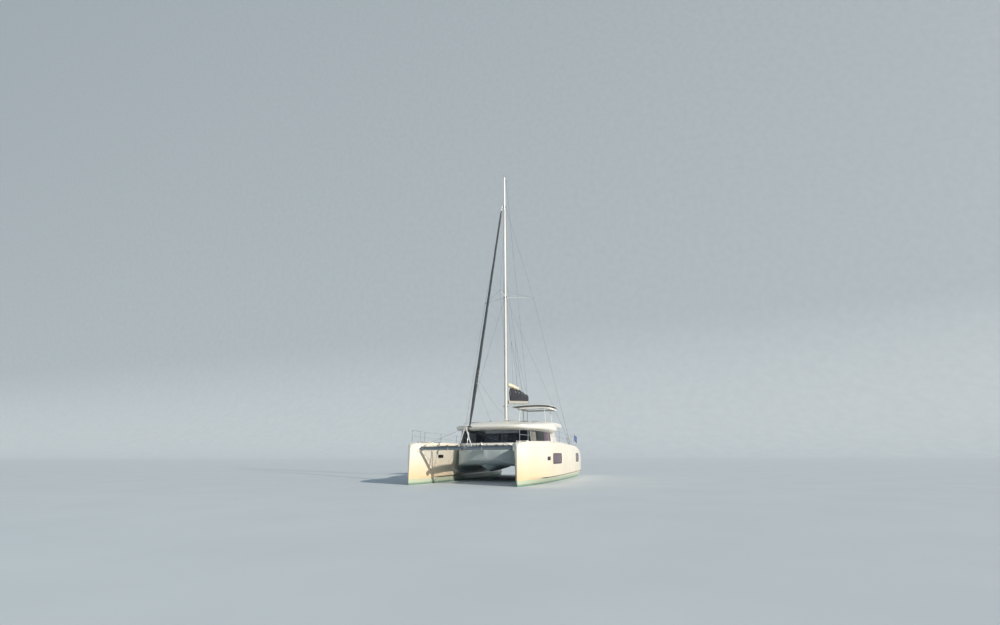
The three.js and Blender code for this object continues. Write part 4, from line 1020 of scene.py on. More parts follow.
def plan_ring(z, out, aft, lean=0.0):
    half = []
    for i, (x, y) in enumerate(_half):
        a, b = _half[max(0, i - 1)], _half[min(len(_half) - 1, i + 1)]
        nx, ny = b[1] - a[1], -(b[0] - a[0])
        if i == 0:
            nx, ny = 1, 0
        l = math.hypot(nx, ny)
        half.append([x + out * nx / l + lean * max(0, nx / l), max(0, y + out * ny / l)])
    half[-1][0] = aft
    return [mm(x, y, z) for x, y in half] + [mm(x, -y, z) for x, y in half[:0:-1]]


SILL_Z, HEAD_Z, WALL_TOP = 2075, 2730, 2800


def shell_vf(out, grow=0, extra=()):
    return loft([plan_ring(1930.6 - grow, out, CABIN_AFT_X - 40, 0), plan_ring(WALL_TOP + grow, out - 75, CABIN_AFT_X - 40, -55)])


walls = raw("walls", *shell_vf(0))
boolean(walls, [raw("cutter", *shell_vf(-48, 10))])
boolean(walls, [cutbox(1516, 2704, -2454, 2454, SILL_Z - 4, HEAD_Z + 4), cutbox(-2424, 1444, 1996, 2704, SILL_Z - 4, HEAD_Z + 4), cutbox(-2424, 1444, -2704, -1996, SILL_Z - 4, HEAD_Z + 4), cutbox(-2900, -2700, -2390, 2390, 1900, 2900)])
aft = raw("aft", *box_vf(*mm(-2834, -2751, -2420, 2420, 1931, 2799)))
boolean(aft, [raw("cutter", *rbox_vf(*mm(-2900, -2600, -1150, 60, 1100, 2720), r=0.03)), raw("cutter", *rbox_vf(*mm(-2900, -2600, -2150, -1260, 2040, 2680), r=0.05)), cutbox(-2900, -2700, 185, 1845, 2200, 2620)])
boolean(walls, [aft], "UNION")
low = raw("low", *box_vf(*mm(-2834.4, -2750.6, -2299, 2299, 1151, 1932)))
boolean(low, [cutbox(-2900, -2600, -1150, 60, 1220, 2000)])
boolean(walls, [low], "UNION")


def wing_vf(out, grow):
    return loft([plan_ring(1830 - grow, out, -4310, 0), plan_ring(WALL_TOP + grow, out - 83, -4310, -55)])


wing = raw("wing", *wing_vf(0.3, 0))
boolean(wing, [raw("cutter", *wing_vf(-48, 10)), cutbox(-7000, -2700, -2250, 2250, 1000, 4000)])
edge_curve = [(-4300, 1800), (-4296, 2000), (-4290, 2120), (-4255, 2260), (-4180, 2400), (-4060, 2560), (-3900, 2700), (-3872, 2760), (-3860, 2801)]
boolean(wing, [raw("cutter", *side_prism([(-2760, 1790)] + [(x, z) for x, z in edge_curve[:1]] + edge_curve[1:] + [(-2760, 2801)], -2600, 2600))], "INTERSECT")
boolean(walls, [wing], "UNION")
bevel(walls, 0.006, 2, 40)
finish_raw(walls, "saloon_wall_shell", "gel", angle=36)
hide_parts("saloon_walls")

# Glazing: one dark band outside the walls, split where the panes meet
def pane_part(name, boxes, out=3.5, thick=10, z0=SILL_Z - 26, z1=HEAD_Z + 22):
    g = raw(name, *loft([plan_ring(1930, out, CABIN_AFT_X - 40), plan_ring(WALL_TOP, out - 75, CABIN_AFT_X - 40, -55)]))
    boolean(g, [raw("cutter", *loft([plan_ring(1900, out - thick + 2, CABIN_AFT_X - 30), plan_ring(WALL_TOP + 30, out - thick - 77.5, CABIN_AFT_X - 30, -57)]))])
    x0, x1, y0, y1 = boxes
    boolean(g, [raw("cutter", *rbox_vf(*mm(x0, x1, y0, y1, z0, z1), r=0.03))], "INTERSECT")
    return g


g = pane_part("windscreen_glass", (1484, 2800, -2600, 2600))
finish_raw(g, "windscreen_glass", "glass", angle=40)
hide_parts("windscreen")
for s, nm in ((1, "port"), (-1, "starboard")):
    g = pane_part("side_glass", (-2450, 1478, *sorted((s * 1900, s * 2700))))
    finish_raw(g, "side_glass_" + nm, "sideglass", angle=40)
    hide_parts("side_window_" + nm)
# Mullions between the panes
parts = []


def wall_point(t_y=None, x=None, out=0.0, z=2400):
    """A point on the saloon's side, found by y (front) or x (side)."""
    k = (z - 1930) / (WALL_TOP - 1930)
    best, bd = None, 1e9
    for i, (px, py) in enumerate(_half):
        d = abs(py - abs(t_y)) if t_y is not None else abs(px - x)
        if d < bd:
            best, bd = i, d
    i = best
    a, b = _half[max(0, i - 1)], _half[min(len(_half) - 1, i + 1)]
    nx, ny = b[1] - a[1], -(b[0] - a[0])
    if i == 0:
        nx, ny = 1, 0
    l = math.hypot(nx, ny)
    o = out - 75 * k
    s = -1 if (t_y is not None and t_y < 0) else 1
    return (_half[i][0] + o * nx / l - 55 * k * max(0, nx / l), s * (_half[i][1] + o * ny / l), z), (nx / l, s * ny / l)


def mullion(t_y=None, x=None, w=26, sides_=(1,)):
    out = []
    for sgn in sides_:
        rings_ = []
        for z in (SILL_Z - 10, 2300, 2520, HEAD_Z + 10):
            p, n = wall_point(t_y, x, -28, z)
            t = (-n[1], n[0])
            rings_.append([mm(p[0] + n[0] * d + t[0] * e, sgn * (p[1] + n[1] * d + t[1] * e), z) for d, e in ((0, -w), (16, -w), (16, w), (0, w))])
        out.append(loft(rings_))
    return out


for ty in (-1680, -820, -408, 824, 1687):
    parts += mullion(t_y=ty, w=14)
for x in (-1150, 180):
    parts += mullion(x=x, w=22, sides_=(1, -1))
for x in (1470,):
    parts += mullion(x=x, w=52, sides_=(1, -1))
one("window_mullions", join_vf(parts), "mullion", smooth=30)
# Aft window, door and its rails
one("aft_glass", rbox_vf(*mm(-2806, -2794, -2146, -1264, 2044, 2676), r=0.004), "glass", replaces="aft_window")
fr = []


def frame_yz(x0, x1, y0, y1, z0, z1, w, r=30):
    """A rounded frame in the plane of the aft wall."""
    a = rounded_rect(y1 - y0, z1 - z0, r)
    b = rounded_rect(y1 - y0 - 2 * w, z1 - z0 - 2 * w, max(4, r - w))
    cy_, cz_ = (y0 + y1) / 2, (z0 + z1) / 2
    loops = []
    for x, pts in ((x0, a), (x1, a), (x1, b), (x0, b)):
        loops.append([mm(x, cy_ + p, cz_ + q) for p, q in pts])
    loops.append(loops[0])
    return loft(loops, True, False)


one("aft_window_frame", frame_yz(-2812, -2786, -2152, -1258, 2036, 2684, 26), "black", smooth=30)
one("door_glass", rbox_vf(*mm(-2864, -2856, -1150, 60, 1212, 2722), r=0.003), "glass", "saloon door", replaces="saloon_door")
dp = [frame_yz(-2876, -2844, -1180, 90, 1180, 2750, 52, 18), rbox_vf(*mm(-2876, -2846, -575, -535, 1230, 2700), r=0.006)]
one("door_frame", join_vf(dp), "white", "saloon door", smooth=30)
hd = tube_vf([mm(-2878, 30, 1960), mm(-2898, 30, 1975), mm(-2898, 30, 2165), mm(-2878, 30, 2180)], 0.008, 10)
one("door_handle", hd, "steel", "saloon door", smooth=50)
one("door_tracks", join_vf([rbox_vf(*mm(-2882, -2836, -2080, 120, 2756, 2786), r=0.005), rbox_vf(*mm(-2880, -2838, -2080, 120, 1152, 1172), r=0.004)]), "alloy", smooth=30)

# ------------------------------------------------------------------ roof over the saloon and cockpit
_C = np.array([[2900, 1500, 2820, 2840], [2700, 1600, 2900, 2935], [2640, 1750, 2935, 3010], [2520, 1900, 2965, 3070], [2300, 2100, 2985, 3130], [1900, 2320, 3020, 3215], [1300, 2500, 3080, 3300], [500, 2640, 3160, 3370],
               [-650, 2690, 3270, 3455], [-2000, 2700, 3370, 3495], [-3000, 2700, 3430, 3520], [-5300, 2600, 3450, 3560], [-5700, 2600, 3430, 3550]][::-1], float)
_A = [1.0, 0.995, 0.985, 0.965, 0.935, 0.9, 0.85, 0.8, 0.7, 0.6, 0.5, 0.375, 0.25, 0.125]


def top_z(x, t, dz=0.0):
    zs, zc = (float(pchip(_C[:, 0], _C[:, c], x)[0]) for c in (2, 3))
    smooth_ = zs + (zc - zs) * (1 - t ** 2.4)
    if t > 0.9:
        u = (t - 0.9) / 0.1
        smooth_ -= 95 * (u ** 2.6)
    return smooth_ + dz


def top_body(dz):
    rings_ = []
    for x in list(np.linspace(-5700, 1300, 26)) + list(np.linspace(1500, 2900, 22)):
        w = float(pchip(_C[:, 0], _C[:, 1], x)[0])
        side_ = [(w * t, top_z(x, t, dz)) for t in _A]
        zs = float(pchip(_C[:, 0], _C[:, 2], x)[0])
        rings_.append([mm(x, 0, 2600), mm(x, w * 1.2, 2600), mm(x, w * 1.2, zs - 260 + dz)] + [mm(x, y, z) for y, z in side_] + [mm(x, 0, top_z(x, 0, dz))] + [mm(x, -y, z) for y, z in side_[::-1]] + [mm(x, -w * 1.2, zs - 260 + dz), mm(x, -w * 1.2, 2600)])
    return loft(rings_)


ROOF_AFT = -5560
HELM = dict(x0=-4800, x1=-2990, y0=180, y1=1850, floor=2200)
roof = raw("roof", *loft([plan_ring(z, out, ROOF_AFT + a) for z, out, a in ((2800.6, 120, 0), (2807, 138, 0), (2824, 166, 0), (2850, 200, 0), (2884, 230, 0), (2925, 247, 2), (2962, 250, 5), (3010, 240, 11), (3350, 212, 34), (3700, 180, 60))]))
boolean(roof, [raw("top", *top_body(0))], "INTERSECT")
hollow = raw("hollow", *loft([plan_ring(2770, -65, ROOF_AFT + 60), plan_ring(3700, -130, ROOF_AFT + 120)]))
boolean(hollow, [raw("under", *top_body(-75))], "INTERSECT")
boolean(roof, [hollow])
boolean(roof, [raw("cutter", *side_prism([(-3080, 2690), (-3130, 2800), (-3220, 2980), (-3330, 3110), (-3480, 3190), (-7000, 3190), (-7000, 2690)], -3400, 3400)), cutbox(-7000, -3300, 2520, 3400, 2700, 3900), cutbox(-7000, -3300, -3400, -2520, 2700, 3900),
               raw("cutter", *rbox_vf(*mm(HELM["x0"], HELM["x1"], HELM["y0"], HELM["y1"], 2700, 3900), r=0.05))])
bevel(roof, 0.022, 3, 34)
finish_raw(roof, "roof_shell", "gel", angle=34)
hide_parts("coach_roof")

# ------------------------------------------------------------------ soft pieces
def pillow(name, box, mat, body=BOAT, r=0.05, puff=0.02, seam=True, nx=14, buttons=()):
    """A stuffed cushion: a rounded block, swollen between its seams, with piping round its edges."""
    x0, x1, y0, y1, z0, z1 = mm(*box)
    w, d, h = x1 - x0, y1 - y0, z1 - z0
    r = min(r, h * 0.48, w * 0.3, d * 0.3)
    axis = min(range(3), key=lambda i: (w, d, h)[i])
    dims = [w, d, h]
    u, v = [i for i in range(3) if i != axis]
    U, V, T = dims[u], dims[v], dims[axis]
    r = min(r, T * 0.48)
    c = [(x0 + x1) / 2, (y0 + y1) / 2, (z0 + z1) / 2]
    n, m = max(6, int(nx * U / max(U, V))), max(6, int(nx * V / max(U, V)))
    rr = random.Random(name)
    ph = [rr.uniform(0, 6.28) for _ in range(6)]
    verts, faces = [], []
    prof = [(0, -T / 2), (0.35, -T / 2), (0.7, -T * 0.47), (1, -T * 0.3), (1, T * 0.3), (0.7, T * 0.47), (0.35, T / 2), (0, T / 2)]

    def surf(a, b, top):
        e = (1 - abs(2 * a - 1) ** 3.2) * (1 - abs(2 * b - 1) ** 3.2)
        wr = 0.0035 * math.sin(7 * a + ph[0] + 3 * b) + 0.003 * math.sin(11 * b + ph[1] - 4 * a) + 0.002 * math.sin(19 * a + 13 * b + ph[2])
        p = puff * (e - 0.35) + wr * e
        for bu, bv in buttons:
            q = math.hypot((a - bu) * U, (b - bv) * V)
            p -= puff * 0.9 * math.exp(-(q / 0.05) ** 2)
        return p

    rings_ = []
    for sgn in (-1, 1):
        grid = []
        for i in range(n + 1):
            row = []
            for j in range(m + 1):
                a, b = i / n, j / m
                ea, eb = (2 * a - 1), (2 * b - 1)
                # corners of the plan are rounded and the rim falls away
                px, py = ea * (U / 2 - r * 0.12), eb * (V / 2 - r * 0.12)
                rim = max(abs(px) - (U / 2 - r), 0) / r, max(abs(py) - (V / 2 - r), 0) / r
                q = min(1.0, math.hypot(*rim))
                if q >= 1.0:
                    k = 1.0 / math.hypot(*rim)
                    px = math.copysign(min(abs(px), (U / 2 - r) + r * rim[0] * k), px)
                    py = math.copysign(min(abs(py), (V / 2 - r) + r * rim[1] * k), py)
                t = (T / 2 - r) + r * math.sqrt(max(0.0, 1 - q * q))
                t = t + (surf(a, b, sgn > 0) if q < 1 else 0) * (1 - q)
                row.append((px, py, sgn * t))
            grid.append(row)
        rings_.append(grid)
    idx = {}
    def put(p):
        q = [0, 0, 0]
        q[u], q[v], q[axis] = p[0] + c[u], p[1] + c[v], p[2] + c[axis]
        verts.append(tuple(q))
        return len(verts) - 1
    ids = [[[put(p) for p in row] for row in g] for g in rings_]
    for s in (0, 1):
        for i in range(n):
            for j in range(m):
                f = (ids[s][i][j], ids[s][i + 1][j], ids[s][i + 1][j + 1], ids[s][i][j + 1])
                faces.append(f if s else f[::-1])
    rim_ids = [[g[i][0] for i in range(n)] + [g[n][j] for j in range(m)] + [g[i][m] for i in range(n, 0, -1)] + [g[0][j] for j in range(m, 0, -1)] for g in ids]
    L = len(rim_ids[0])
    for k in range(L):
        faces.append((rim_ids[0][k], rim_ids[0][(k + 1) % L], rim_ids[1][(k + 1) % L], rim_ids[1][k]))
    o = obj_from(name, verts, faces, mat, body, 60)
    mod = o.modifiers.new("round", "SUBSURF")
    mod.levels = mod.render_levels = 1
    apply_mods(o)
    shade(o, 80)
    if seam:
        pts = [rings_[1][i][0] for i in range(n)] + [rings_[1][n][j] for j in range(m)] + [rings_[1][i][m] for i in range(n, 0, -1)] + [rings_[1][0][j] for j in range(m, 0, -1)]
        for sgn, tag in ((1, "a"), (-1, "b")):
            P = []
            for p in pts:
                q = [0, 0, 0]
                k = 0.985
                q[u], q[v], q[axis] = p[0] * k + c[u], p[1] * k + c[v], sgn * (abs(p[2]) + r * 0.16) + c[axis]
                P.append(tuple(q))
            s_ = obj_from(name + "_piping_" + tag, *tube_vf(P, 0.004, 6, closed=True), "seat" if mat == "seat" else "settee", None, 60)
            s_.parent = o
            s_.matrix_parent_inverse = o.matrix_world.inverted()
    return o


# ------------------------------------------------------------------ helm station
HX0, HX1, HY0, HY1 = HELM["x0"], HELM["x1"], HELM["y0"], HELM["y1"]
pod = raw("pod", *rbox_vf(*mm(HX0 + 2, -2900, 185, 1845, SOLE_Z + 0.6, HELM["floor"]), r=0.03))
boolean(pod, [raw("cutter", *rbox_vf(*mm(-4300, -3000, -40, 560, SOLE_Z + 350, 1900), r=0.05))])
boolean(pod, [raw("bulkhead", *rbox_vf(*mm(-3080, -2900, 186, 1844, HELM["floor"] - 30, 3060), r=0.035))], "UNION")
dash = [(-3060, 2962), (-3120, 2968), (-3190, 2945), (-3206, 2880), (-3176, 2720), (-3110, 2640), (-3060, 2612)]
boolean(pod, [raw("dash", *side_prism(dash, 600, 1450))], "UNION")
boolean(pod, [raw("base", *rbox_vf(*mm(HX0 + 4, HX0 + 480, 400, 1700, HELM["floor"] - 30, 2640), r=0.04))], "UNION")
bevel(pod, 0.014, 3, 40)
finish_raw(pod, "helm_pod_shell", "gel", angle=36)
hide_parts("helm_pod")
# Instrument faces on the sloping dash
def dash_point(t, y, out):
    a, b = Vector(mm(-3206, 0, 2880)), Vector(mm(-3176, 0, 2720))
    d = (b - a).normalized()
    n = Vector((d.z, 0, -d.x))
    n = n if n.x < 0 else -n
    p = a.lerp(b, t) + n * (out / 1000)
    return Vector((p.x, y / 1000, p.z)), d, n


parts_b, parts_g = [], []
for y, w, h in ((760, 150, 110), (930, 110, 110), (1290, 190, 130)):
    p, d, n = dash_point(0.45, y, 1)
    for lst, grow, o0, o1 in ((parts_b, 0, -6, 7), (parts_g, -14, 5, 8.5)):
        rr = rounded_rect((w + grow) / 1000, (h + grow) / 1000, 0.012, 3)
        loops = []
        for off in (o0, o1):
            loops.append([tuple(p + n * (off / 1000) + Vector((0, 1, 0)) * a + d * b) for a, b in rr])
        lst.append(loft(loops))
one("helm_instruments", join_vf(parts_b), "black", smooth=30)
one("helm_screens", join_vf(parts_g), "darkglass", smooth=30)
# Throttle levers, clutches and the compass
parts = [rbox_vf(*mm(-3190, -3110, 1560, 1650, 2560, 2700), r=0.01)]
for y in (1583, 1627):
    parts.append(tube_vf([mm(-3190, y, 2650), mm(-3225, y, 2720), mm(-3222, y, 2790)], [0.009, 0.007, 0.012], 10))
one("throttles", join_vf(parts), "black", smooth=40)
parts = []
for k in range(4):
    y = 640 + 62 * k
    parts.append(rbox_vf(*mm(-3050, -2930, y - 22, y + 22, 3058, 3092), r=0.008))
    parts.append(tube_vf([mm(-2945, y, 3092), mm(-2990, y, 3108), mm(-3045, y, 3100)], [0.009, 0.008, 0.006], 8))
one("rope_clutches", join_vf(parts), "black", smooth=40)
comp = lathe_vf([(0, 0), (0.062, 0), (0.064, 0.02), (0.055, 0.028), (0.05, 0.05), (0.03, 0.074), (0, 0.082)], mm(-3010, 1120, 3058), "Z", 28)
one("compass", comp, "black", smooth=50)

# Helm wheel: a leathered rim, three spokes that swell into it, and a boss
WX, WY, WZ, WR, TILT = -3.245, 1.0, 2.98, 0.35, 0.3
ct, st = math.cos(TILT), math.sin(TILT)


def wheel_at(x, y, z):
    """Wheel's own axes (x along its shaft) to the boat's."""
    return (WX + x * ct + z * st, WY + y, WZ - x * st + z * ct)


rimP = [wheel_at(0, WR * math.cos(a), WR * math.sin(a)) for a in [2 * math.pi * k / 72 for k in range(72)]]
one("wheel_rim", tube_vf(rimP, lambda i: 0.0145 + 0.0012 * math.cos(i * math.pi * 2 / 3), 12, closed=True), "rubber", "helm wheel", 60, replaces="helm_wheel")
parts = []
for k in range(3):
    a = 2 * math.pi * k / 3 + math.pi / 2
    parts.append(tube_vf([wheel_at(x, r * math.cos(a), r * math.sin(a)) for r, x in ((0.02, 0.012), (0.09, 0.006), (0.2, 0.0), (0.31, 0.0), (0.345, 0.0))], [0.013, 0.011, 0.009, 0.009, 0.012], 12, squash=0.7))
hub = [(0.0, -0.03), (0.03, -0.03), (0.046, -0.014), (0.046, 0.01), (0.036, 0.026), (0.0, 0.03)]
loops = [[wheel_at(h, r * math.cos(b), r * math.sin(b)) for b in [2 * math.pi * j / 24 for j in range(24)]] for r, h in hub]
parts.append(loft(loops))
one("wheel_spokes", join_vf(parts), "steel", "helm wheel", 50)
one("wheel_shaft", tube_vf([wheel_at(0.03, 0, 0), wheel_at(0.12, 0, 0)], 0.022, 14), "steel")

seat = pillow("helm_seat_cushion", (HX0 + 30, HX0 + 500, 420, 1680, 2640, 2752), "seat", r=0.045, buttons=((0.5, 0.25), (0.5, 0.5), (0.5, 0.75)))
back = pillow("helm_back_cushion", (HX0 + 8, HX0 + 108, 420, 1680, 2765, 3080), "seat", r=0.045, puff=0.016)
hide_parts("helm_seat")
parts = []
for y in (470, 1630):
    parts.append(tube_vf([mm(HX0 + 30, y, 2600), mm(HX0 - 2 + 20, y, 2760), mm(HX0 + 20, y, 3110)], 0.013, 10))
parts.append(tube_vf([mm(HX0 + 20, 470, 3104), mm(HX0 + 14, 1050, 3116), mm(HX0 + 20, 1630, 3104)], 0.013, 10))
one("helm_seat_rail", join_vf(parts), "steel", smooth=50)

# ------------------------------------------------------------------ bimini over the helm
ARCH = [(-560, 4580), (-150, 4622), (300, 4650), (1000, 4672), (1600, 4664), (2100, 4618), (2400, 4555), (2640, 4482)]
_arch = np.array([tuple(p) for p in spline(ARCH, 6)])


def arch_z(y):
    return float(np.interp(y, _arch[:, 0], _arch[:, 1]))


BIM_PLAN = [(-3200, -220), (-3188, 600), (-3182, 1300), (-3200, 2200), (-3290, 2450), (-3500, 2570), (-3800, 2560), (-5200, 2400), (-5500, 2270), (-5640, 2050), (-5655, 1200), (-5650, 200), (-5560, -80), (-5300, -280), (-4400, -440), (-3650, -540), (-3330, -490)]
plan = [tuple(p) for p in spline(BIM_PLAN, 4, closed=True)]
bc = (-4420, 1130)


def bim_ring(k, dz, edge=0.0):
    out = []
    for x, y in plan:
        px, py = bc[0] + (x - bc[0]) * k, bc[1] + (y - bc[1]) * k
        l = math.hypot(px - bc[0], py - bc[1])
        px, py = px + edge * (px - bc[0]) / l, py + edge * (py - bc[1]) / l
        out.append(mm(px, py, arch_z(py) + dz))
    return out


rim = [bim_ring(0.93, -20), bim_ring(0.94, -36), bim_ring(0.965, -44), bim_ring(0.99, -38), bim_ring(1.0, -22), bim_ring(0.995, -8), bim_ring(0.965, 2), bim_ring(0.90, 5), bim_ring(0.6, 8), bim_ring(0.3, 9), bim_ring(0.05, 9)]
v, f = loft([bim_ring(0.05, -16), bim_ring(0.3, -16), bim_ring(0.6, -17), bim_ring(0.925, -19)] + rim)
one("bimini_canopy", (v, f), "gel", smooth=45, replaces="bimini_top")
# A dark sheet just under the canopy: painted shade of its underside
one("bimini_lining", loft([bim_ring(k, -24 - 3 * math.sin(k * 9)) for k in (0.05, 0.3, 0.6, 0.8, 0.9, 0.925)] + [bim_ring(0.926, -15)]), "bimini_cloth", smooth=45)
parts = []
POSTS = [(-2950, -3300, 150, 150), (-2950, -3300, 1976, 1850), (-4900, -5060, 168, 168), (-4900, -5060, 1965, 1832)]
for x, xt, y, yt in POSTS:
    parts.append(tube_vf([mm(x, y + (y - yt) * 0.15, 3330), mm(x + (xt - x) * 0.5, (y + yt) / 2, 3920), mm(xt, yt, 4440), mm(xt - 30 if x > -3000 else xt + 30, yt, 4476)], 0.0205, 14))
    zr = top_z(x, abs(y) / 2700)
    parts.append(lathe_vf([(0, -0.01), (0.042, -0.01), (0.042, 0.006), (0.026, 0.014), (0.021, 0.05), (0, 0.05)], (mm(x, y, zr - 4)), "Z", 20))
for y in (152, 1848):
    parts.append(tube_vf([mm(-5240, y, 4452), mm(-5210, y, 4463), mm(-3230, y, 4463), mm(-3205, y, 4452)], 0.0185, 14))
for x in (-3360, -5000, -4350):
    parts.append(tube_vf([mm(x, 156, 4464), mm(x, 600, 4520), mm(x, 1000, 4545), mm(x, 1400, 4530), mm(x, 1844, 4464)], 0.0135, 12))
for x in (-3360, -5000):
    parts.append(tube_vf([mm(x, 1850, 4463), mm(x, 2130, 4474), mm(x, 2390, arch_z(2390) - 62)], 0.013, 10))
    parts.append(tube_vf([mm(x, 150, 4463), mm(x, 60, 4468), mm(x, -66, 4472)], 0.013, 10))
one("bimini_tubes", join_vf(parts), "white", smooth=50, replaces="bimini_frame")
# White valance round the frame, below the canopy's edge: a flat band, hemmed at top and bottom
band_ = [(0, 2), (7, 6), (9, 16), (5, 24), (5, 86), (9, 94), (7, 104), (0, 108), (-7, 104), (-9, 94), (-5, 86), (-5, 24), (-9, 16), (-7, 6)]
val = []
for x, y in plan:
    px, py = bc[0] + (x - bc[0]) * 0.965, bc[1] + (y - bc[1]) * (0.87 if y > bc[1] else 0.72)
    l = math.hypot(px - bc[0], py - bc[1])
    ux, uy = (px - bc[0]) / l, (py - bc[1]) / l
    zt = min(arch_z(py) - 150, 4508)
    wob = 5 * math.sin(px * 0.011 + py * 0.017)
    val.append([mm(px + ux * (d + wob * h / 120), py + uy * (d + wob * h / 120), zt - h) for d, h in band_])
val.append(val[0])
VAL = one("bimini_valance", loft(val, True, False), "canvas", smooth=50)
per = sum((Vector(val[i][0]) - Vector(val[i + 1][0])).length for i in range(len(val) - 1))

# ------------------------------------------------------------------ cockpit and saloon furniture
st_ = raw("seatbox", *rbox_vf(*mm(-5545, -4980, -2030, 560, SOLE_Z + 0.6, 1560), r=0.03))
boolean(st_, [raw("arm", *rbox_vf(*mm(-5010, -3300, -2030, -1520, SOLE_Z + 0.6, 1559), r=0.03))], "UNION")
bevel(st_, 0.012, 2, 40)
finish_raw(st_, "cockpit_seat_base", "gel", angle=36)
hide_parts("cockpit_seat")
pillow("cockpit_cushion_aft", (-5520, -5000, -1400, 550, 1561, 1655), "seat", r=0.04, buttons=((0.5, 0.2), (0.5, 0.5), (0.5, 0.8)))
pillow("cockpit_cushion_corner", (-5520, -5000, -2020, -1415, 1561, 1655), "seat", r=0.04)
pillow("cockpit_cushion_side_a", (-4985, -4160, -2020, -1530, 1561, 1655), "seat", r=0.04, buttons=((0.5, 0.5),))
pillow("cockpit_cushion_side_b", (-4145, -3310, -2020, -1530, 1561, 1655), "seat", r=0.04, buttons=((0.5, 0.5),))


def table_top(name, x0, x1, y0, y1, z, replaces, legs):
    a = one(name, rbox_vf(*mm(x0, x1, y0, y1, z - 20, z + 20), r=0.02, n=3), "wood", replaces=replaces, smooth=40)
    parts = [rbox_vf(*mm(x0 + 60, x1 - 60, y0 + 60, y1 - 60, z - 62, z - 19), r=0.008)]
    one(name + "_rim", join_vf(parts), "wood", smooth=40)
    parts = []
    for x, y in legs:
        parts.append(lathe_vf([(0, 0), (0.16, 0), (0.165, 0.008), (0.15, 0.016), (0.06, 0.026), (0.046, 0.05), (0.044, (z - 62 - SOLE_Z) / 1000 - 0.04), (0.075, (z - 62 - SOLE_Z) / 1000 - 0.01), (0.09, (z - 62 - SOLE_Z) / 1000), (0, (z - 62 - SOLE_Z) / 1000)], mm(x, y, SOLE_Z), "Z", 28))
    one(name + "_leg", join_vf(parts), "alloy", smooth=40)
    return a


table_top("cockpit_table_top", -4650, -3750, -1250, -350, 1860, "cockpit_table", [(-4200, -800)])
table_top("saloon_table_top", -700, 350, -350, 560, 1860, "saloon_table", [(-150, 100)])
sb = raw("setteebase", *rbox_vf(*mm(500, 1400, -1250, 1250, SOLE_Z + 0.6, 1480), r=0.02))
boolean(sb, [raw("wing", *rbox_vf(*mm(-900, 520, 700, 1250, SOLE_Z + 0.6, 1479.5), r=0.02))], "UNION")
finish_raw(sb, "settee_base", "wood", angle=36)
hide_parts("saloon_settee")
for k, (a, b) in enumerate(((-1240, -430), (-415, 415), (430, 1240))):
    pillow("settee_seat_%d" % k, (510, 1170, a, b, 1481, 1585), "settee", r=0.045, buttons=((0.5, 0.5),))
    pillow("settee_back_%d" % k, (1180, 1330, a + 10, b - 10, 1560, 1925), "settee", r=0.06, puff=0.03)
for k, (a, b) in enumerate(((-890, -205), (-190, 495))):
    pillow("settee_side_%d" % k, (a, b, 710, 1240, 1481, 1585), "settee", r=0.045, buttons=((0.5, 0.5),))
# Galley and chart units along the saloon's sides, seen through the glass
parts = [rbox_vf(*mm(-2600, 300, -2250, -1650, 1151, 2020), r=0.02), rbox_vf(*mm(-2600, -1200, 1650, 2250, 1151, 2020), r=0.02), rbox_vf(*mm(-2600, -2040, 1000, 1660, 1151, 2019), r=0.02)]
one("galley_units", join_vf(parts), "white", smooth=35)
parts = [rbox_vf(*mm(-2620, 320, -2262, -1630, 2021, 2050), r=0.01), rbox_vf(*mm(-2620, -1180, 1630, 2262, 2021, 2050), r=0.01), rbox_vf(*mm(-2620, -2020, 980, 1650, 2022, 2049), r=0.01)]
one("galley_tops", join_vf(parts), "wood", smooth=35)
one("saloon_sole", rbox_vf(*mm(-2740, 1400, -2280, 2280, 1150.5, 1156), r=0.002), "wood", smooth=30)
one("cockpit_sole", rbox_vf(*mm(-4970, -2860, -1500, 180, 1150.8, 1158), r=0.002), "nonslip", smooth=30)

# Curtains inside the glass: real folds, hung from the head of the window
def curtain(name, a, b, mat, z0=SILL_Z + 10, z1=HEAD_Z - 16, folds=9, depth=16, side=1, inset=-62, axis="x"):
    cols = folds * 8
    verts, faces = [], []
    zs_ = np.linspace(z1, z0, 10)
    for i in range(cols + 1):
        t = i / cols
        for j, z in enumerate(zs_):
            spread = 1 + 0.12 * j / 9
            w = depth * math.sin(t * folds * 2 * math.pi + 0.5 * math.sin(j * 0.7)) * (0.75 + 0.25 * j / 9)
            q = a + (b - a) * (0.5 + (t - 0.5) * (0.94 + 0.06 * j / 9))
            p, n = wall_point(x=q, out=inset + w, z=z) if axis == "x" else wall_point(t_y=q, out=inset + w, z=z)
            # slide between plan points so that the curtain isn't stepped
            verts.append(mm(q if axis == "x" else p[0], side * (p[1] if axis == "x" else q), z))
        top = Vector(verts[i * 10])
    for i in range(cols):
        for j in range(9):
            k = i * 10 + j
            faces.append((k, k + 10, k + 11, k + 1))
    o = obj_from(name, verts, faces, mat, BOAT, 80)
    return o


curtain("curtain_port_pale", 1400, 760, "curtain_white", folds=7, side=1)
curtain("curtain_port_rose", -1000, -2330, "curtain_rose", folds=10, side=1, inset=-56)
curtain("curtain_starboard_pale", 1400, 760, "curtain_white", folds=7, side=-1)
curtain("curtain_starboard_rose", -1400, -2330, "curtain_rose", folds=8, side=-1)

# ------------------------------------------------------------------ mast and standing rigging
MX, MTOP, SPR_Z, HOUNDS = -650, 20950, 11630, 18550


def mast_section(z, a, b):
    """An extrusion's section: a rounded wing, its after half a little shorter."""
    pts = []
    for k in range(28):
        w = 2 * math.pi * k / 28
        x, y = b * math.cos(w), a * math.sin(w)
        if x < 0:
            x *= 0.96
        pts.append(mm(MX + x, y, z))
    return pts


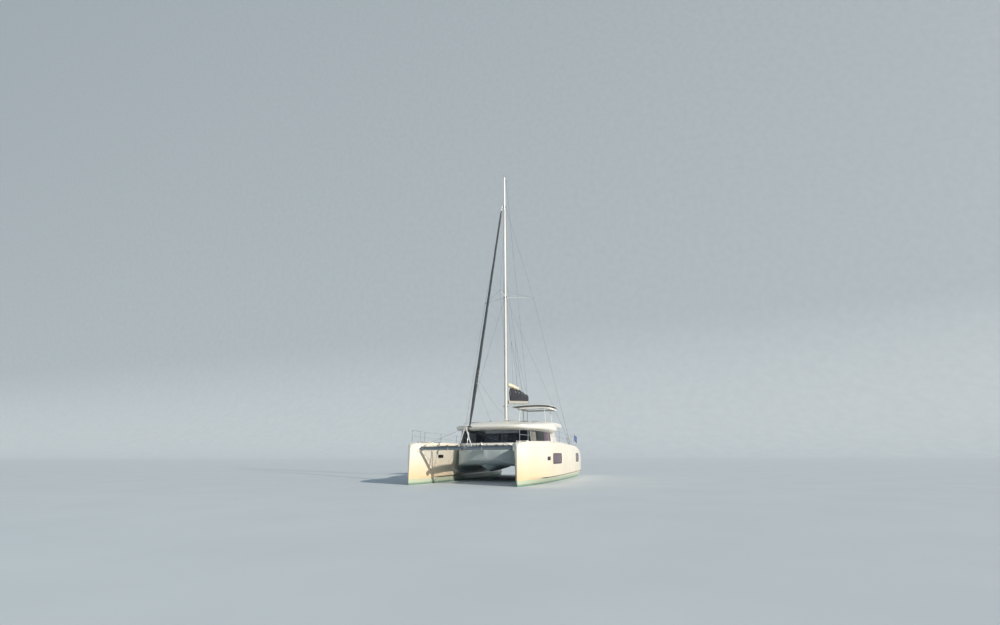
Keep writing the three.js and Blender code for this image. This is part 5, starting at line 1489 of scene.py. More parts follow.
levels = [(3500.5, 85, 135), (8000, 85, 135), (14000, 85, 135), (18600, 76, 122), (20880, 70, 110), (20950, 62, 100)]
one("mast_tube", loft([mast_section(*l) for l in levels]), "mast", smooth=50, replaces="mast")
one("mast_track", loft([[mm(MX - x, y, z) for x, y in ((118, -9), (142, -9), (142, -3), (136, -3), (136, 3), (142, 3), (142, 9), (118, 9))] for z in (3900, 14000)] + [[mm(MX - x + 24, y, z) for x, y in ((118, -9), (142, -9), (142, -3), (136, -3), (136, 3), (142, 3), (142, 9), (118, 9))] for z in (20850,)]), "alloy", smooth=30)
parts = []
# collars at the spreaders and the hounds, and the crane with its cross pin at the head
for z in (SPR_Z + 30, HOUNDS):
    parts.append(loft([mast_section(z + d, 87 + g, 137 + g) if z < 14000 else mast_section(z + d, 79 + g, 125 + g) for d, g in ((-90, -1), (-86, 3), (86, 3), (90, -1))]))
parts.append(rbox_vf(*mm(MX - 420, MX + 40, -32, 32, MTOP - 60, MTOP - 2), r=0.014))
parts.append(tube_vf([mm(MX - 395, -30, MTOP - 34), mm(MX - 395, 30, MTOP - 34)], 0.04, 16))
one("mast_fittings", join_vf(parts), "alloy", smooth=35)
one("mast_step", lathe_vf([(0, 0), (0.205, 0), (0.205, 0.010), (0.19, 0.016), (0.165, 0.030), (0, 0.030)], mm(MX, 0, 3500), "Z", 36), "white", smooth=35)
parts = []
for x, z, h in ((MX - 10, MTOP - 2, 60), (MX - 240, MTOP - 2, 22)):
    parts.append(lathe_vf([(0, 0), (0.03, 0), (0.032, h / 2000), (0.022, h / 1000), (0, h / 1000 + 0.004)], mm(x, 0, z), "Z", 18))
parts.append(tube_vf([mm(MX + 30, 0, MTOP - 20), mm(MX + 130, 0, MTOP + 6), mm(MX + 380, 0, MTOP + 20)], 0.005, 6))
parts.append(tube_vf([mm(MX - 300, 0, MTOP), mm(MX - 300, 0, MTOP + 560)], [0.006, 0.0025], 6))
one("masthead_instruments", join_vf(parts), "black", smooth=45)
# Winches and halyards on the mast's sides
parts, ropes = [], []
for s in (1, -1):
    parts.append(lathe_vf([(0, 0), (0.055, 0), (0.052, 0.02), (0.036, 0.04), (0.036, 0.085), (0.047, 0.105), (0.04, 0.118), (0, 0.12)] if s > 0 else [(0, 0), (0.055, 0), (0.052, -0.02), (0.036, -0.04), (0.036, -0.085), (0.047, -0.105), (0.04, -0.118), (0, -0.12)], mm(MX + 10, s * 84, 4350), "Y", 24))
one("mast_winches", join_vf(parts), "steel", smooth=40)
for k, (x, y, zt) in enumerate(((MX + 128, 34, 18300), (MX + 130, -30, 18300), (MX + 60, 92, 20850), (MX + 40, -92, 11650), (MX - 60, 93, 20850))):
    P = [mm(x, y, 3560), mm(x + 3 * math.sin(k), y * 1.01, 8000), mm(x, y, 13000), mm(x - 12 if zt > 15000 else x, y * 0.9, zt)]
    ropes.append(tube_vf(P, 0.0055, 6))
one("halyards", join_vf(ropes), "rope_d", smooth=60)

# Spreaders, shrouds, forestay gear
for s, nm in ((1, "port"), (-1, "starboard")):
    P = [mm(MX - 30, s * 80, SPR_Z), mm(MX - 40, s * 110, SPR_Z), mm(MX - 400, s * 900, SPR_Z + 14), mm(MX - 790, s * 1730, SPR_Z + 30), mm(MX - 806, s * 1764, SPR_Z + 31)]
    rings_ = []
    for (x, y, z), a, b in zip(P, (74, 62, 54, 42, 30), (26, 22, 19, 15, 10)):
        rings_.append([(x + a / 1000 * math.cos(w), y + 0.4 * a / 1000 * math.cos(w) * (0.46 * s), z + b / 1000 * math.sin(w)) for w in [2 * math.pi * k / 16 for k in range(16)]])
    o = obj_from("spreader_blade_" + nm, *loft(rings_), "mast", BOAT, 50)
    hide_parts("spreader_" + nm)
    dz = deck_z(-2300)
    sh = [tube_vf([mm(MX, s * 84, HOUNDS), mm(MX - 800, s * 1766, SPR_Z + 30), mm(-2300, s * 3690, dz + 12)], 0.0060, 8)]
    sh.append(tube_vf([mm(MX, s * 84, SPR_Z - 130), mm(-2050, s * 3640, deck_z(-2050) + 260), mm(-2050, s * 3662, deck_z(-2050) + 4)], 0.0050, 8))
    sh.append(tube_vf([mm(MX - 800, s * 1766, SPR_Z + 40), mm(480, 0, SPR_Z + 165)], 0.005, 8))
    for (xa, ya, za), (xb, yb, zb), ln in (((-2300, 3690, dz + 12), (MX - 800, 1766, SPR_Z + 30), 520), ((-2050, 3662, deck_z(-2050) + 4), (MX, 84, SPR_Z - 130), 460)):
        A, B = Vector(mm(xa, s * ya, za)), Vector(mm(xb, s * yb, zb))
        u_ = (B - A).normalized()
        sh.append(tube_vf([A + u_ * q for q in (0.05, 0.07, ln / 1000 - 0.02, ln / 1000)], [0.008, 0.0125, 0.0125, 0.008], 10))
        sh.append(pad_eye(xa, s * ya, za - 10, (0, 0, 1), 20))
    sh.append(tube_vf([mm(MX - 806, s * 1764, SPR_Z - 6), mm(MX - 806, s * 1764, SPR_Z + 70)], 0.02, 12))
    o = obj_from("shroud_wires_" + nm, *join_vf(sh), "wire", BOAT, 60)
    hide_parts("cap_shroud_" + nm)
parts = [tube_vf([mm(MX + 70, 0, SPR_Z + 62), mm(MX + 600, 0, SPR_Z + 122), mm(484, 0, SPR_Z + 160)], [0.027, 0.026, 0.021], 14, squash=0.8)]
one("jumper_strut", join_vf(parts), "mast", smooth=50)
parts = [tube_vf([mm(MX + 120, 0, 16900), mm(484, 0, SPR_Z + 166), mm(MX + 120, 0, 7600)], 0.005, 8)]
parts.append(tube_vf([mm(470, 0, SPR_Z + 140), mm(498, 0, SPR_Z + 178)], 0.028, 12))
one("jumper_stay", join_vf(parts), "wire", smooth=60)

# Furled headsail: the luff's roll with the edge of the cloth wound round it, its swivel, drum and lines
S0, S1 = Vector(mm(MX + 760, 0, 17850)), Vector(mm(5370, 0, 2830))
axis_ = (S1 - S0).normalized()
e1 = axis_.cross(Vector((0, 1, 0))).normalized()
e2 = axis_.cross(e1).normalized()
_r = [(0, 28), (0.02, 44), (0.05, 54), (0.3, 66), (0.6, 76), (0.8, 84), (0.84, 93), (0.88, 88), (0.96, 62), (0.99, 44), (1, 36)]
NT, NA = 260, 22
rings_ = []
for i in range(NT + 1):
    t = i / NT
    R = float(pchip([p[0] for p in _r], [p[1] for p in _r], t)[0]) / 1000
    turn = t * 2 * math.pi * 9.0
    ring = []
    for k in range(NA):
        w = 2 * math.pi * k / NA
        d = (w - turn) % (2 * math.pi)
        lip = 0.0065 * math.exp(-d / 0.5) - 0.004 * math.exp(-(2 * math.pi - d) / 0.35)
        ripple = 0.0022 * math.sin(5 * w + 40 * t) + 0.0016 * math.sin(9 * w - 95 * t)
        q = R * 0.955 + lip + ripple
        ring.append(tuple(S0.lerp(S1, t) + e1 * q * math.cos(w) + e2 * q * math.sin(w)))
    rings_.append(ring)
roll = one("headsail_roll", loft(rings_), "genoa", smooth=70, replaces="furled_genoa")
# Lashing turns of the sheet round the roll near the clew
lash = []
for t0 in (0.80, 0.815, 0.83, 0.845):
    loop_ = []
    for k in range(20):
        w = 2 * math.pi * k / 20
        t = t0 + 0.006 * k / 20
        loop_.append(S0.lerp(S1, t) + e1 * 0.094 * math.cos(w) + e2 * 0.094 * math.sin(w))
    lash.append(tube_vf(loop_, 0.0065, 6))
one("headsail_lashing", join_vf(lash), "rope_w", smooth=60)
parts = [tube_vf([S0 - axis_ * 1.35, S0 - axis_ * 0.1], 0.0075, 8)]
one("forestay_top", join_vf(parts), "steel", smooth=60)
parts = [tube_vf([S0 - axis_ * q for q in (0.46, 0.44, 0.30, 0.28)], [0.03, 0.047, 0.047, 0.03], 18), tube_vf([S0 - axis_ * q for q in (0.20, 0.19, 0.04, 0.0)], [0.024, 0.034, 0.034, 0.02], 16)]
one("furler_swivel", join_vf(parts), "white", smooth=40)
D = [(1.0015, 0.036), (1.003, 0.104), (1.0045, 0.106), (1.0052, 0.07), (1.0058, 0.05), (1.0135, 0.05), (1.0142, 0.07), (1.0148, 0.106), (1.0165, 0.104), (1.018, 0.05), (1.0205, 0.03)]
one("furler_drum_body", tube_vf([S0 + (S1 - S0) * t for t, _ in D], [r for _, r in D], 28), "black", smooth=30, replaces="furler_drum")
turns = []
for k in range(5):
    t = 1.0066 + 0.0014 * k
    c = S0 + (S1 - S0) * t
    turns.append(tube_vf([c + e1 * 0.056 * math.cos(w) + e2 * 0.056 * math.sin(w) for w in [2 * math.pi * j / 20 for j in range(20)]], 0.006, 6, closed=True))
one("furler_line_turns", join_vf(turns), "rope_w", smooth=60)
end = S0 + (S1 - S0) * 1.02
parts = [tube_vf([end, Vector(mm(5700, 0, 1960)), Vector(mm(5740, 0, 1868))], 0.011, 10)]
parts.append(tube_vf([end + axis_ * 0.05, end + axis_ * 0.08, end + axis_ * 0.42, end + axis_ * 0.45], [0.012, 0.017, 0.017, 0.012], 12))
one("forestay_tack", join_vf(parts), "steel", smooth=60)

# Jib sheets: from the clew to the cars on the roof and back to the helm
clew = S0.lerp(S1, 0.835)
for s, nm in ((1, "port"), (-1, "starboard")):
    car = Vector(mm(640, s * 590, top_z(640, 590 / 2650) + 46))
    P = spline([tuple(clew + Vector((-0.05, s * 0.085, 0))), tuple(clew.lerp(car, 0.5) + Vector((0, 0, -0.10))), tuple(car)], 12)
    P2 = spline([tuple(car), mm(-1500, s * 640, top_z(-1500, 0.24) + 22), mm(-2760, s * 660, top_z(-2760, 0.245) + 24)], 8)
    one("jib_sheet_" + nm, join_vf([tube_vf(P, 0.0050, 6), tube_vf(P2, 0.0050, 6)]), "rope_g", smooth=60)
    one("sheet_track_" + nm, tube_vf([mm(x, s * 590, top_z(x, 590 / 2650) + 4) for x in (320, 340, 500, 660, 820, 960, 980)], [0.008, 0.015, 0.015, 0.015, 0.015, 0.015, 0.008], 8, squash=0.6), "alloy", smooth=40)
    one("sheet_car_" + nm, join_vf([rbox_vf(*mm(600, 680, s * 590 - 20, s * 590 + 20, top_z(640, 0.22) + 6, top_z(640, 0.22) + 24), r=0.006), block(640, s * 590, top_z(640, 0.22) + 46, 22)]), "black", smooth=35)

# ------------------------------------------------------------------ boom and its sail bag
GX, GZ, BEX, BEZ = -885, 4640, -5950, 5120


def boom_at(t, dz=0.0, dy=0.0):
    return (((GX - 60) + (BEX - GX + 60) * t) / 1000, dy / 1000, (GZ + (BEZ - GZ) * t + dz) / 1000)


def boom_ring(t, a, b):
    return [tuple(Vector(boom_at(t)) + Vector((0, y / 1000, z / 1000))) for y, z in rounded_rect(2 * a, 2 * b, min(a, b) * 0.62, 5)]


bm_ = [(0.0, 50, 70), (0.004, 66, 90), (0.012, 74, 99), (0.5, 74, 99), (0.988, 74, 99), (0.996, 66, 92), (1.0, 52, 76)]
one("boom_extrusion", loft([boom_ring(*q) for q in bm_]), "boomalloy", "boom", 40, replaces="boom")
parts = [rbox_vf(*mm(GX - 78, GX - 24 + 16, -20, 20, GZ - 60, GZ + 60), r=0.008)]
for t in (0.008, 0.985):
    parts.append(loft([boom_ring(t + d, 77, 102) for d in (-0.006, 0.006)]))
for t in (0.28, 0.52, 0.72):
    c = boom_at(t, -104)
    parts.append(pad_eye(c[0] * 1000, 0, c[2] * 1000 + 4, (0, 0, -1), 18))
parts.append(tube_vf([boom_at(0.993, 0, -40), boom_at(0.993, 0, 40)], 0.045, 16))
one("boom_fittings", join_vf(parts), "black", "boom", 35)
parts = [tube_vf([mm(GX, 0, GZ - 106), mm(GX, 0, GZ + 106)], 0.012, 14)]
for z0, z1 in ((-100, -74), (74, 100)):
    parts.append(rbox_vf(*mm(GX - 24, MX - 84, -24, 24, GZ + z0, GZ + z1), r=0.006))
parts.append(rbox_vf(*mm(MX - 142, MX - 118, -40, 40, GZ - 130, GZ + 130), r=0.008))
one("gooseneck", join_vf(parts), "alloy", smooth=35)

# Bag: columns: t, dz of its middle, half width, half height
BAG = [(0.105, 495, 30, 330), (0.115, 505, 70, 385), (0.135, 518, 112, 415), (0.18, 524, 140, 424), (0.24, 512, 152, 412), (0.32, 494, 158, 394), (0.42, 480, 160, 381), (0.48, 492, 160, 391), (0.6, 459, 154, 358), (0.7, 420, 146, 319), (0.85, 350, 136, 249), (0.94, 330, 112, 229), (0.975, 312, 80, 210), (0.99, 292, 42, 178)]
BT0, BT1 = 0.105, 0.885
_g = np.array(BAG)
rings_ = []
NB, NK = 150, 44
for i in range(NB + 1):
    t = BT0 + BT1 * i / NB
    dz, a, b = (float(pchip(_g[:, 0], _g[:, c], t)[0]) for c in (1, 2, 3))
    ring = []
    for k in range(NK):
        w = 2 * math.pi * k / NK
        cy2, sz2 = math.cos(w), math.sin(w)
        # a teardrop: full low down, drawn in at the zip along the top
        full = a * (1.0 - 0.30 * max(0, sz2)) * (abs(cy2) ** 0.85) * (1 if cy2 >= 0 else -1)
        y = full
        z = dz + b * sz2
        sagf = 7 * math.sin(16 * t * math.pi + 2.2 * sz2) * abs(cy2) + 5 * math.sin(41 * t + 5 * w) * abs(cy2)
        scallop = -11 * (0.5 + 0.5 * math.cos(2 * math.pi * 6 * (t - 0.02) / 0.96)) * (1 if sz2 > 0.2 else 0.3)
        y += (sagf + scallop * 0.5) * (1 if cy2 > 0 else -1) * (abs(cy2) > 0.05)
        z += scallop * max(0, sz2) * 1.4
        ring.append(boom_at(t, z, y))
    rings_.append(ring)
bag = obj_from("sail_bag_cloth", *loft(rings_), "bag", "boom", 70)
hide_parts("sail_bag")
# Zip along the top, reef patches and straps down the sides
zipP = []
for i in range(60):
    t = 0.12 + 0.86 * i / 59
    dz, a, b = (float(pchip(_g[:, 0], _g[:, c], t)[0]) for c in (1, 2, 3))
    zipP.append(boom_at(t, dz + b - 4 - 15 * (0.5 + 0.5 * math.cos(2 * math.pi * 6 * (t - 0.02) / 0.96)), 0))
one("bag_zip", tube_vf(zipP, 0.011, 6, squash=0.6), "black", "boom", 60)


def bag_strap(t, lo, hi, w=26, off=5, mat="curtain_white", s=1):
    """A band sewn on the bag's side from angle lo to hi."""
    loops = []
    n = 14
    for k in range(n + 1):
        ang = lo + (hi - lo) * k / n
        q = []
        for tt in (t - w / 10000 / 1.0, t + w / 10000 / 1.0):
            dz, a, b = (float(pchip(_g[:, 0], _g[:, c], tt)[0]) for c in (1, 2, 3))
            cy2, sz2 = math.cos(ang), math.sin(ang)
            y = a * (1.0 - 0.30 * max(0, sz2)) * (abs(cy2) ** 0.85)
            sagf = 7 * math.sin(16 * tt * math.pi + 2.2 * sz2) * abs(cy2) + 5 * math.sin(41 * tt + 5 * ang) * abs(cy2)
            scallop = -11 * (0.5 + 0.5 * math.cos(2 * math.pi * 6 * (tt - 0.02) / 0.96)) * (1 if sz2 > 0.2 else 0.3)
            y += sagf + scallop * 0.5
            z = dz + b * sz2 + scallop * max(0, sz2) * 1.4
            q.append((tt, z, y))
        ring = []
        for (tt, z, y), d in ((q[0], -3), (q[0], off), (q[1], off), (q[1], -3)):
            ring.append(boom_at(tt, z, s * (y + d)))
        loops.append(ring)
    return loft(loops)


straps, patches = [], []
for t in (0.2, 0.36, 0.52, 0.68, 0.84):
    for s in (1, -1):
        straps.append(bag_strap(t, -1.15, 1.3, 22, 5, s=s))
for t in (0.28, 0.44, 0.6, 0.76):
    for s in (1, -1):
        patches.append(bag_strap(t, 0.35, 0.62, 30, 5, s=s))
one("bag_straps", join_vf(straps), "black", "boom", 50)
one("bag_patches", join_vf(patches), "canvas", "boom", 50)
# Stowed sail's head, rolled on top at the mast end
RL = [(0.055, 1112, 70), (0.064, 1116, 112), (0.10, 1108, 132), (0.2, 1062, 142), (0.3, 1012, 140), (0.4, 962, 132), (0.45, 936, 112), (0.475, 918, 46)]
_l = np.array(RL)
rings_ = []
for i in range(61):
    t = 0.055 + 0.42 * i / 60
    dz, a = (float(pchip(_l[:, 0], _l[:, c], t)[0]) for c in (1, 2))
    ring = []
    for k in range(30):
        w = 2 * math.pi * k / 30
        q = a * (1 + 0.05 * math.sin(3 * w + 14 * t * math.pi) + 0.035 * math.sin(7 * w - 30 * t) + 0.02 * math.sin(60 * t))
        ring.append(boom_at(t, dz + q * 0.92 * math.sin(w), q * 1.05 * math.cos(w)))
    rings_.append(ring)
rollm = obj_from("main_sail_roll", *loft(rings_), "sail", "boom", 75)
ties = []
for t in (0.11, 0.2, 0.29, 0.38):
    dz, a = (float(pchip(_l[:, 0], _l[:, c], t)[0]) for c in (1, 2))
    ties.append(tube_vf([boom_at(t, dz + a * 0.96 * math.sin(w), a * 1.08 * math.cos(w)) for w in [2 * math.pi * k / 24 for k in range(24)]], 0.007, 6, closed=True))
one("sail_ties", join_vf(ties), "rope_d", "boom", 60)
# Reefing lines, taut between the bag's front and the boom's end at the mast
loops_ = []
for k, (t0, z0, t1, z1) in enumerate(((0.112, 760, 0.0, -60), (0.112, 600, 0.0, -80), (0.116, 860, 0.004, -40))):
    A, B = Vector(boom_at(t0, z0, 50 - 45 * k)), Vector(boom_at(t1 + 0.003, z1, 46 - 50 * k))
    loops_.append(tube_vf([tuple(A.lerp(B, q / 8)) for q in range(9)], 0.0055, 6))
one("reef_lines", join_vf(loops_), "rope_w", "boom", 60)
under = []
for k, (ta, tb, dy) in enumerate(((0.06, 0.9, 30), (0.1, 0.72, -28))):
    under.append(tube_vf([tuple(p) for p in spline([boom_at(ta, -104, dy), boom_at((ta + tb) / 2, -118, dy), boom_at(tb, -104, dy)], 8)], 0.005, 6))
one("outhaul_lines", join_vf(under), "rope_d", "boom", 60)


# Lines from the mast down to the boom
def blended(name, P, r, mat, sides=6, dense=40):
    Q = [tuple(p) for p in spline(P, dense)] if len(P) > 1 else P
    v_, f_ = tube_vf(Q, r, sides)
    me = bpy.data.meshes.new(name)
    me.from_pydata([tuple(x) for x in v_], [], [tuple(x) for x in f_])
    me.materials.append(M[mat])
    outwards(me)
    o = bpy.data.objects.new(name, me)
    bpy.context.scene.collection.objects.link(o)
    shade(o, 60)
    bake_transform(o)
    return o


for s, nm in ((1, "port"), (-1, "starboard")):
    top = mm(MX - 60, s * 70, 12900)
    knot = mm(-2350, s * 150, 9000)
    v_parts = []
    for t, dz_ in ((0.34, 870), (0.58, 800), (0.84, 720)):
        dz, a, b = (float(pchip(_g[:, 0], _g[:, c], t)[0]) for c in (1, 2, 3))
        foot = boom_at(t, dz + b * 0.72, s * (a * 0.78 + 6))
        v_parts.append((knot, foot))
    all_v, all_f = [], []
    for A, B in [(top, knot)] + v_parts:
        n = 40
        P = [tuple(Vector(A).lerp(Vector(B), k / n)) for k in range(n + 1)]
        v_, f_ = tube_vf(P, 0.0042, 6)
        off_ = len(all_v)
        all_v += v_
        all_f += [tuple(i + off_ for i in g_) for g_ in f_]
    me = bpy.data.meshes.new("lazy_jacks_" + nm)
    me.from_pydata([tuple(x) for x in all_v], [], all_f)
    me.materials.append(M["rope_d"])
    outwards(me)
    o = bpy.data.objects.new("lazy_jacks_" + nm, me)
    bpy.context.scene.collection.objects.link(o)
    shade(o, 60)
    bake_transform(o)
tl = [mm(MX - 395, 0, MTOP - 74)]
P = [tuple(Vector(tl[0]).lerp(Vector(boom_at(0.985, 112)), k / 80)) for k in range(81)]
blended("topping_lift", [P[0], P[40], P[80]], 0.0045, "rope_d")
# Mainsheet: a tackle from the boom down to the traveller at the roof's after end
trav = mm(-4620, 0, top_z(-4620, 0) + 60)
bl = boom_at(0.72, -150)
tk = []
for dx, dy in ((-20, -34), (20, -20), (-20, -7), (20, 7), (-20, 20), (20, 34)):
    A, B = Vector(bl) + Vector((dx / 1000, dy / 1000, -0.03)), Vector(trav) + Vector((dx / 1000, dy / 1000, 0.06))
    tk.append(tube_vf([tuple(A.lerp(B, k / 24)) for k in range(25)], 0.0068, 8))
v_, f_ = join_vf(tk)
me = bpy.data.meshes.new("mainsheet_falls")
me.from_pydata([tuple(x) for x in v_], [], f_)
me.materials.append(M["rope_w"])
outwards(me)
o = bpy.data.objects.new("mainsheet_falls", me)
bpy.context.scene.collection.objects.link(o)
shade(o, 60)
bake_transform(o)
one("mainsheet_block_top", block(bl[0] * 1000, 0, bl[2] * 1000 + 10, 38), "black", "boom", 35)
one("traveller", join_vf([rbox_vf(*mm(-4650, -4590, -1200, 160, top_z(-4620, 0.22) - 6, top_z(-4620, 0.0) + 26), r=0.006), rbox_vf(*mm(-4670, -4570, -60, 60, top_z(-4620, 0) + 22, top_z(-4620, 0) + 60), r=0.01), block(-4620, 0, top_z(-4620, 0) + 84, 34)]), "black", smooth=35)

# ------------------------------------------------------------------ rails, lifelines and deck gear
def fillet(P, rad, n=5):
    """A polyline with its corners rounded."""
    P = [Vector(p) for p in P]
    out = [P[0]]
    for a, b, c in zip(P, P[1:], P[2:]):
        q = min(rad, (b - a).length * 0.48, (c - b).length * 0.48)
        s0, s1 = b + (a - b).normalized() * q, b + (c - b).normalized() * q
        out += [s0.lerp(b, k / n).lerp(b.lerp(s1, k / n), k / n) for k in range(n + 1)]
    out.append(P[-1])
    return [tuple(p) for p in out]


def pipe(P, r=12.5, rad=90, sides=12):
    return tube_vf(fillet([mm(*p) for p in P], rad / 1000), r / 1000, sides)


def foot(x, y, z, r=26, h=46):
    """A socket on the deck that holds a post: base plate with its screws, and cup."""
    parts = [lathe_vf([(0, -0.004), (r * 1.75 / 1000, -0.004), (r * 1.75 / 1000, 0.004), (r * 1.5 / 1000, 0.0075), (r * 0.8 / 1000, 0.010), (r * 0.66 / 1000, h / 1000), (r * 0.58 / 1000, h / 1000 + 0.002), (0, h / 1000 + 0.002)], mm(x, y, z), "Z", 24)]
    for k in range(4):
        a = math.pi / 4 + math.pi / 2 * k
        parts.append(lathe_vf([(0, 0.004), (0.0052, 0.004), (0.0048, 0.0085), (0.003, 0.0095), (0, 0.0095)], mm(x + r * 1.3 * math.cos(a), y + r * 1.3 * math.sin(a), z), "Z", 10))
    return join_vf(parts)


RAIL_Z = deck_z(5500) + 615
PULPIT = [(6100, 2872), (5500, 2972), (5030, 2980)]
parts = [pipe([(6110, 2862, deck_z(6110) + 6), (6110, 2864, RAIL_Z), (5800, 2928, RAIL_Z), (5500, 2972, RAIL_Z), (5030, 2981, RAIL_Z), (5030, 2980, deck_z(5030) + 6)], rad=110)]
parts.append(pipe([(6106, 2866, RAIL_Z - 300), (5800, 2932, RAIL_Z - 300), (5500, 2973, RAIL_Z - 300), (5030, 2980, RAIL_Z - 300)], 9, 200))
for x, y in [(6110, 2862), (5030, 2980)]:
    parts.append(foot(x, y, deck_z(x) + 2))
both("pulpit_rail", join_vf(parts), "steel", smooth=50, replaces="pulpit")

STANCHIONS = [(3300, 3620), (1000, 3700), (-1320, 3700), (-2650, 3690)]
parts, wires = [], []
for x, y in STANCHIONS:
    z = deck_z(x)
    parts.append(pipe([(x, y, z + 6), (x, y, z + 622)], 12.5))
    parts.append(foot(x, y, z + 2, 30, 62))
    for h in (307, 607):
        parts.append(tube_vf([mm(x - 19, y, z + h), mm(x - 12, y, z + h), mm(x + 12, y, z + h), mm(x + 19, y, z + h)], [0.0065, 0.0085, 0.0085, 0.0065], 8))
        parts.append(lathe_vf([(0, -0.006), (0.0145, -0.004), (0.0145, 0.004), (0, 0.006)], mm(x, y, z + h), "Z", 12))
# Gate and stern rail
GX0, GX1 = -3640, -4200
parts.append(pipe([(GX0, 3671, deck_z(GX0) + 6), (GX0, 3671, 2440), (GX0 - 40, 3670, 2521), (-3960, 3670, 2521), (GX1, 3670, 2521), (-4540, 3670, 2440), (-4660, 3668, 2150), (-4712, 3666, 1868)], 12.5, 130))
parts.append(pipe([(GX1, 3671, deck_z(GX1) + 6), (GX1, 3671, 2516)], 11))
parts.append(pipe([(GX0, 3671, 2221), (GX1, 3671, 2221), (-4636, 3669, 2221)], 9))
for x in (GX0, GX1):
    parts.append(foot(x, 3671, deck_z(x) + 2, 28, 50))
for h in (607, 307):
    P = [mm(5030, 2982, deck_z(5030) + h)] + [mm(x, y + 1, deck_z(x) + h) for x, y in STANCHIONS] + [mm(GX0, 3671, deck_z(GX0) + h)]
    for a, b in zip(P, P[1:]):
        A, B = Vector(a), Vector(b)
        wires.append(tube_vf([tuple(A.lerp(B, k / 6) - Vector((0, 0, 0.008 * math.sin(math.pi * k / 6)))) for k in range(7)], 0.0034, 6))
    A, B = Vector(P[0]), Vector(P[1])
    u_ = (B - A).normalized()
    parts.append(tube_vf([A + u_ * q for q in (0.012, 0.02, 0.06, 0.075, 0.16, 0.175)], [0.008, 0.010, 0.006, 0.0085, 0.0085, 0.004], 10))
    A, B = Vector(P[-1]), Vector(P[-2])
    u_ = (B - A).normalized()
    parts.append(tube_vf([A + u_ * q for q in (0.012, 0.02, 0.05, 0.065, 0.12, 0.135)], [0.008, 0.010, 0.006, 0.0075, 0.0075, 0.004], 10))
both("guardrail_posts", join_vf(parts), "steel", smooth=50, replaces="guardrail")
both("lifelines", join_vf(wires), "wire", smooth=60)

# Mooring cleats on the hulls' decks
parts = []
for x, y in ((5620, 2560), (5230, 3010), (1900, 3560), (-1900, 3560), (-3950, 3480)):
    parts.append(cleat(x, y, deck_z(x) + 3, "x", 230, 62))
both("deck_cleats", join_vf(parts), "alloy", smooth=45)
# Toe rail along the outer edge of each deck
parts = []
tr = []
for x in np.linspace(-4150, 5850, 60):
    wo = station(x)[0]
    tr.append(mm(x, HULL_Y + wo - 58 - min(60, wo * 0.12), deck_z(x) + 6))
parts.append(tube_vf(tr, 0.0125, 8, squash=0.9))
both("toe_rail", join_vf(parts), "white", smooth=60)


def strip(xs_, y0, y1, zf, t=1.8, r=0.0):
    """A thin patterned panel that follows the deck; y0 and y1 may depend on x."""
    rings_ = []
    f0 = y0 if callable(y0) else (lambda x: y0)
    f1 = y1 if callable(y1) else (lambda x: y1)
    n = 8
    for i, x in enumerate(xs_):
        a, b = f0(x), f1(x)
        ease = 0
        if i in (0, len(xs_) - 1):
            ease = min(28, (b - a) * 0.2)
        row = [a + ease + (b - a - 2 * ease) * k / n for k in range(n + 1)]
        rings_.append([mm(x, y, zf(x, y) + t) for y in row] + [mm(x, y, zf(x, y) - 6) for y in row[::-1]])
    return loft(rings_)


def with_ends(a, b, n):
    s_ = 26 if b > a else -26
    return [a] + list(np.linspace(a + s_, b - s_, n)) + [b]


hz = lambda x, y: deck_z(x)
panels = []
panels.append(strip(with_ends(5180, 5480, 4), lambda x: HULL_Y - station(x)[1] + 150, lambda x: HULL_Y + station(x)[0] - 170, hz))
panels.append(strip(with_ends(4110, 4490, 4), 2350, lambda x: HULL_Y + station(x)[0] - 190, hz))
panels.append(strip(with_ends(3340, 4070, 6), 2250, 3000 - 480, hz))
panels.append(strip(with_ends(3340, 4070, 6), 3100, lambda x: HULL_Y + station(x)[0] - 190, hz))
panels.append(strip(with_ends(2460, 3300, 6), 2560, lambda x: HULL_Y + station(x)[0] - 190, hz))
panels.append(strip(with_ends(1260, 2420, 8), 2560, lambda x: HULL_Y + station(x)[0] - 190, hz))
panels.append(strip(with_ends(40, 1220, 8), 2620, lambda x: HULL_Y + station(x)[0] - 190, hz))
panels.append(strip(with_ends(-1180, 0, 8), 2620, lambda x: HULL_Y + station(x)[0] - 190, hz))
panels.append(strip(with_ends(-2400, -1220, 8), 2620, lambda x: HULL_Y + station(x)[0] - 190, hz))
panels.append(strip(with_ends(-3420, -2440, 8), 2620, lambda x: HULL_Y + station(x)[0] - 190, hz))
panels.append(strip(with_ends(-4180, -3460, 6), 2700, lambda x: HULL_Y + station(x)[0] - 190, hz))
for k, (x, z, y) in enumerate(STEPS[1:]):
    xa = STEPS[k + 2][0] if k < 2 else -6250
    panels.append(strip(with_ends(x - 40, xa + 24, 3), 2230, y - 90, lambda x_, y_, z=z: z + 0.6))
both("hull_nonslip", join_vf(panels), "nonslip", smooth=30)
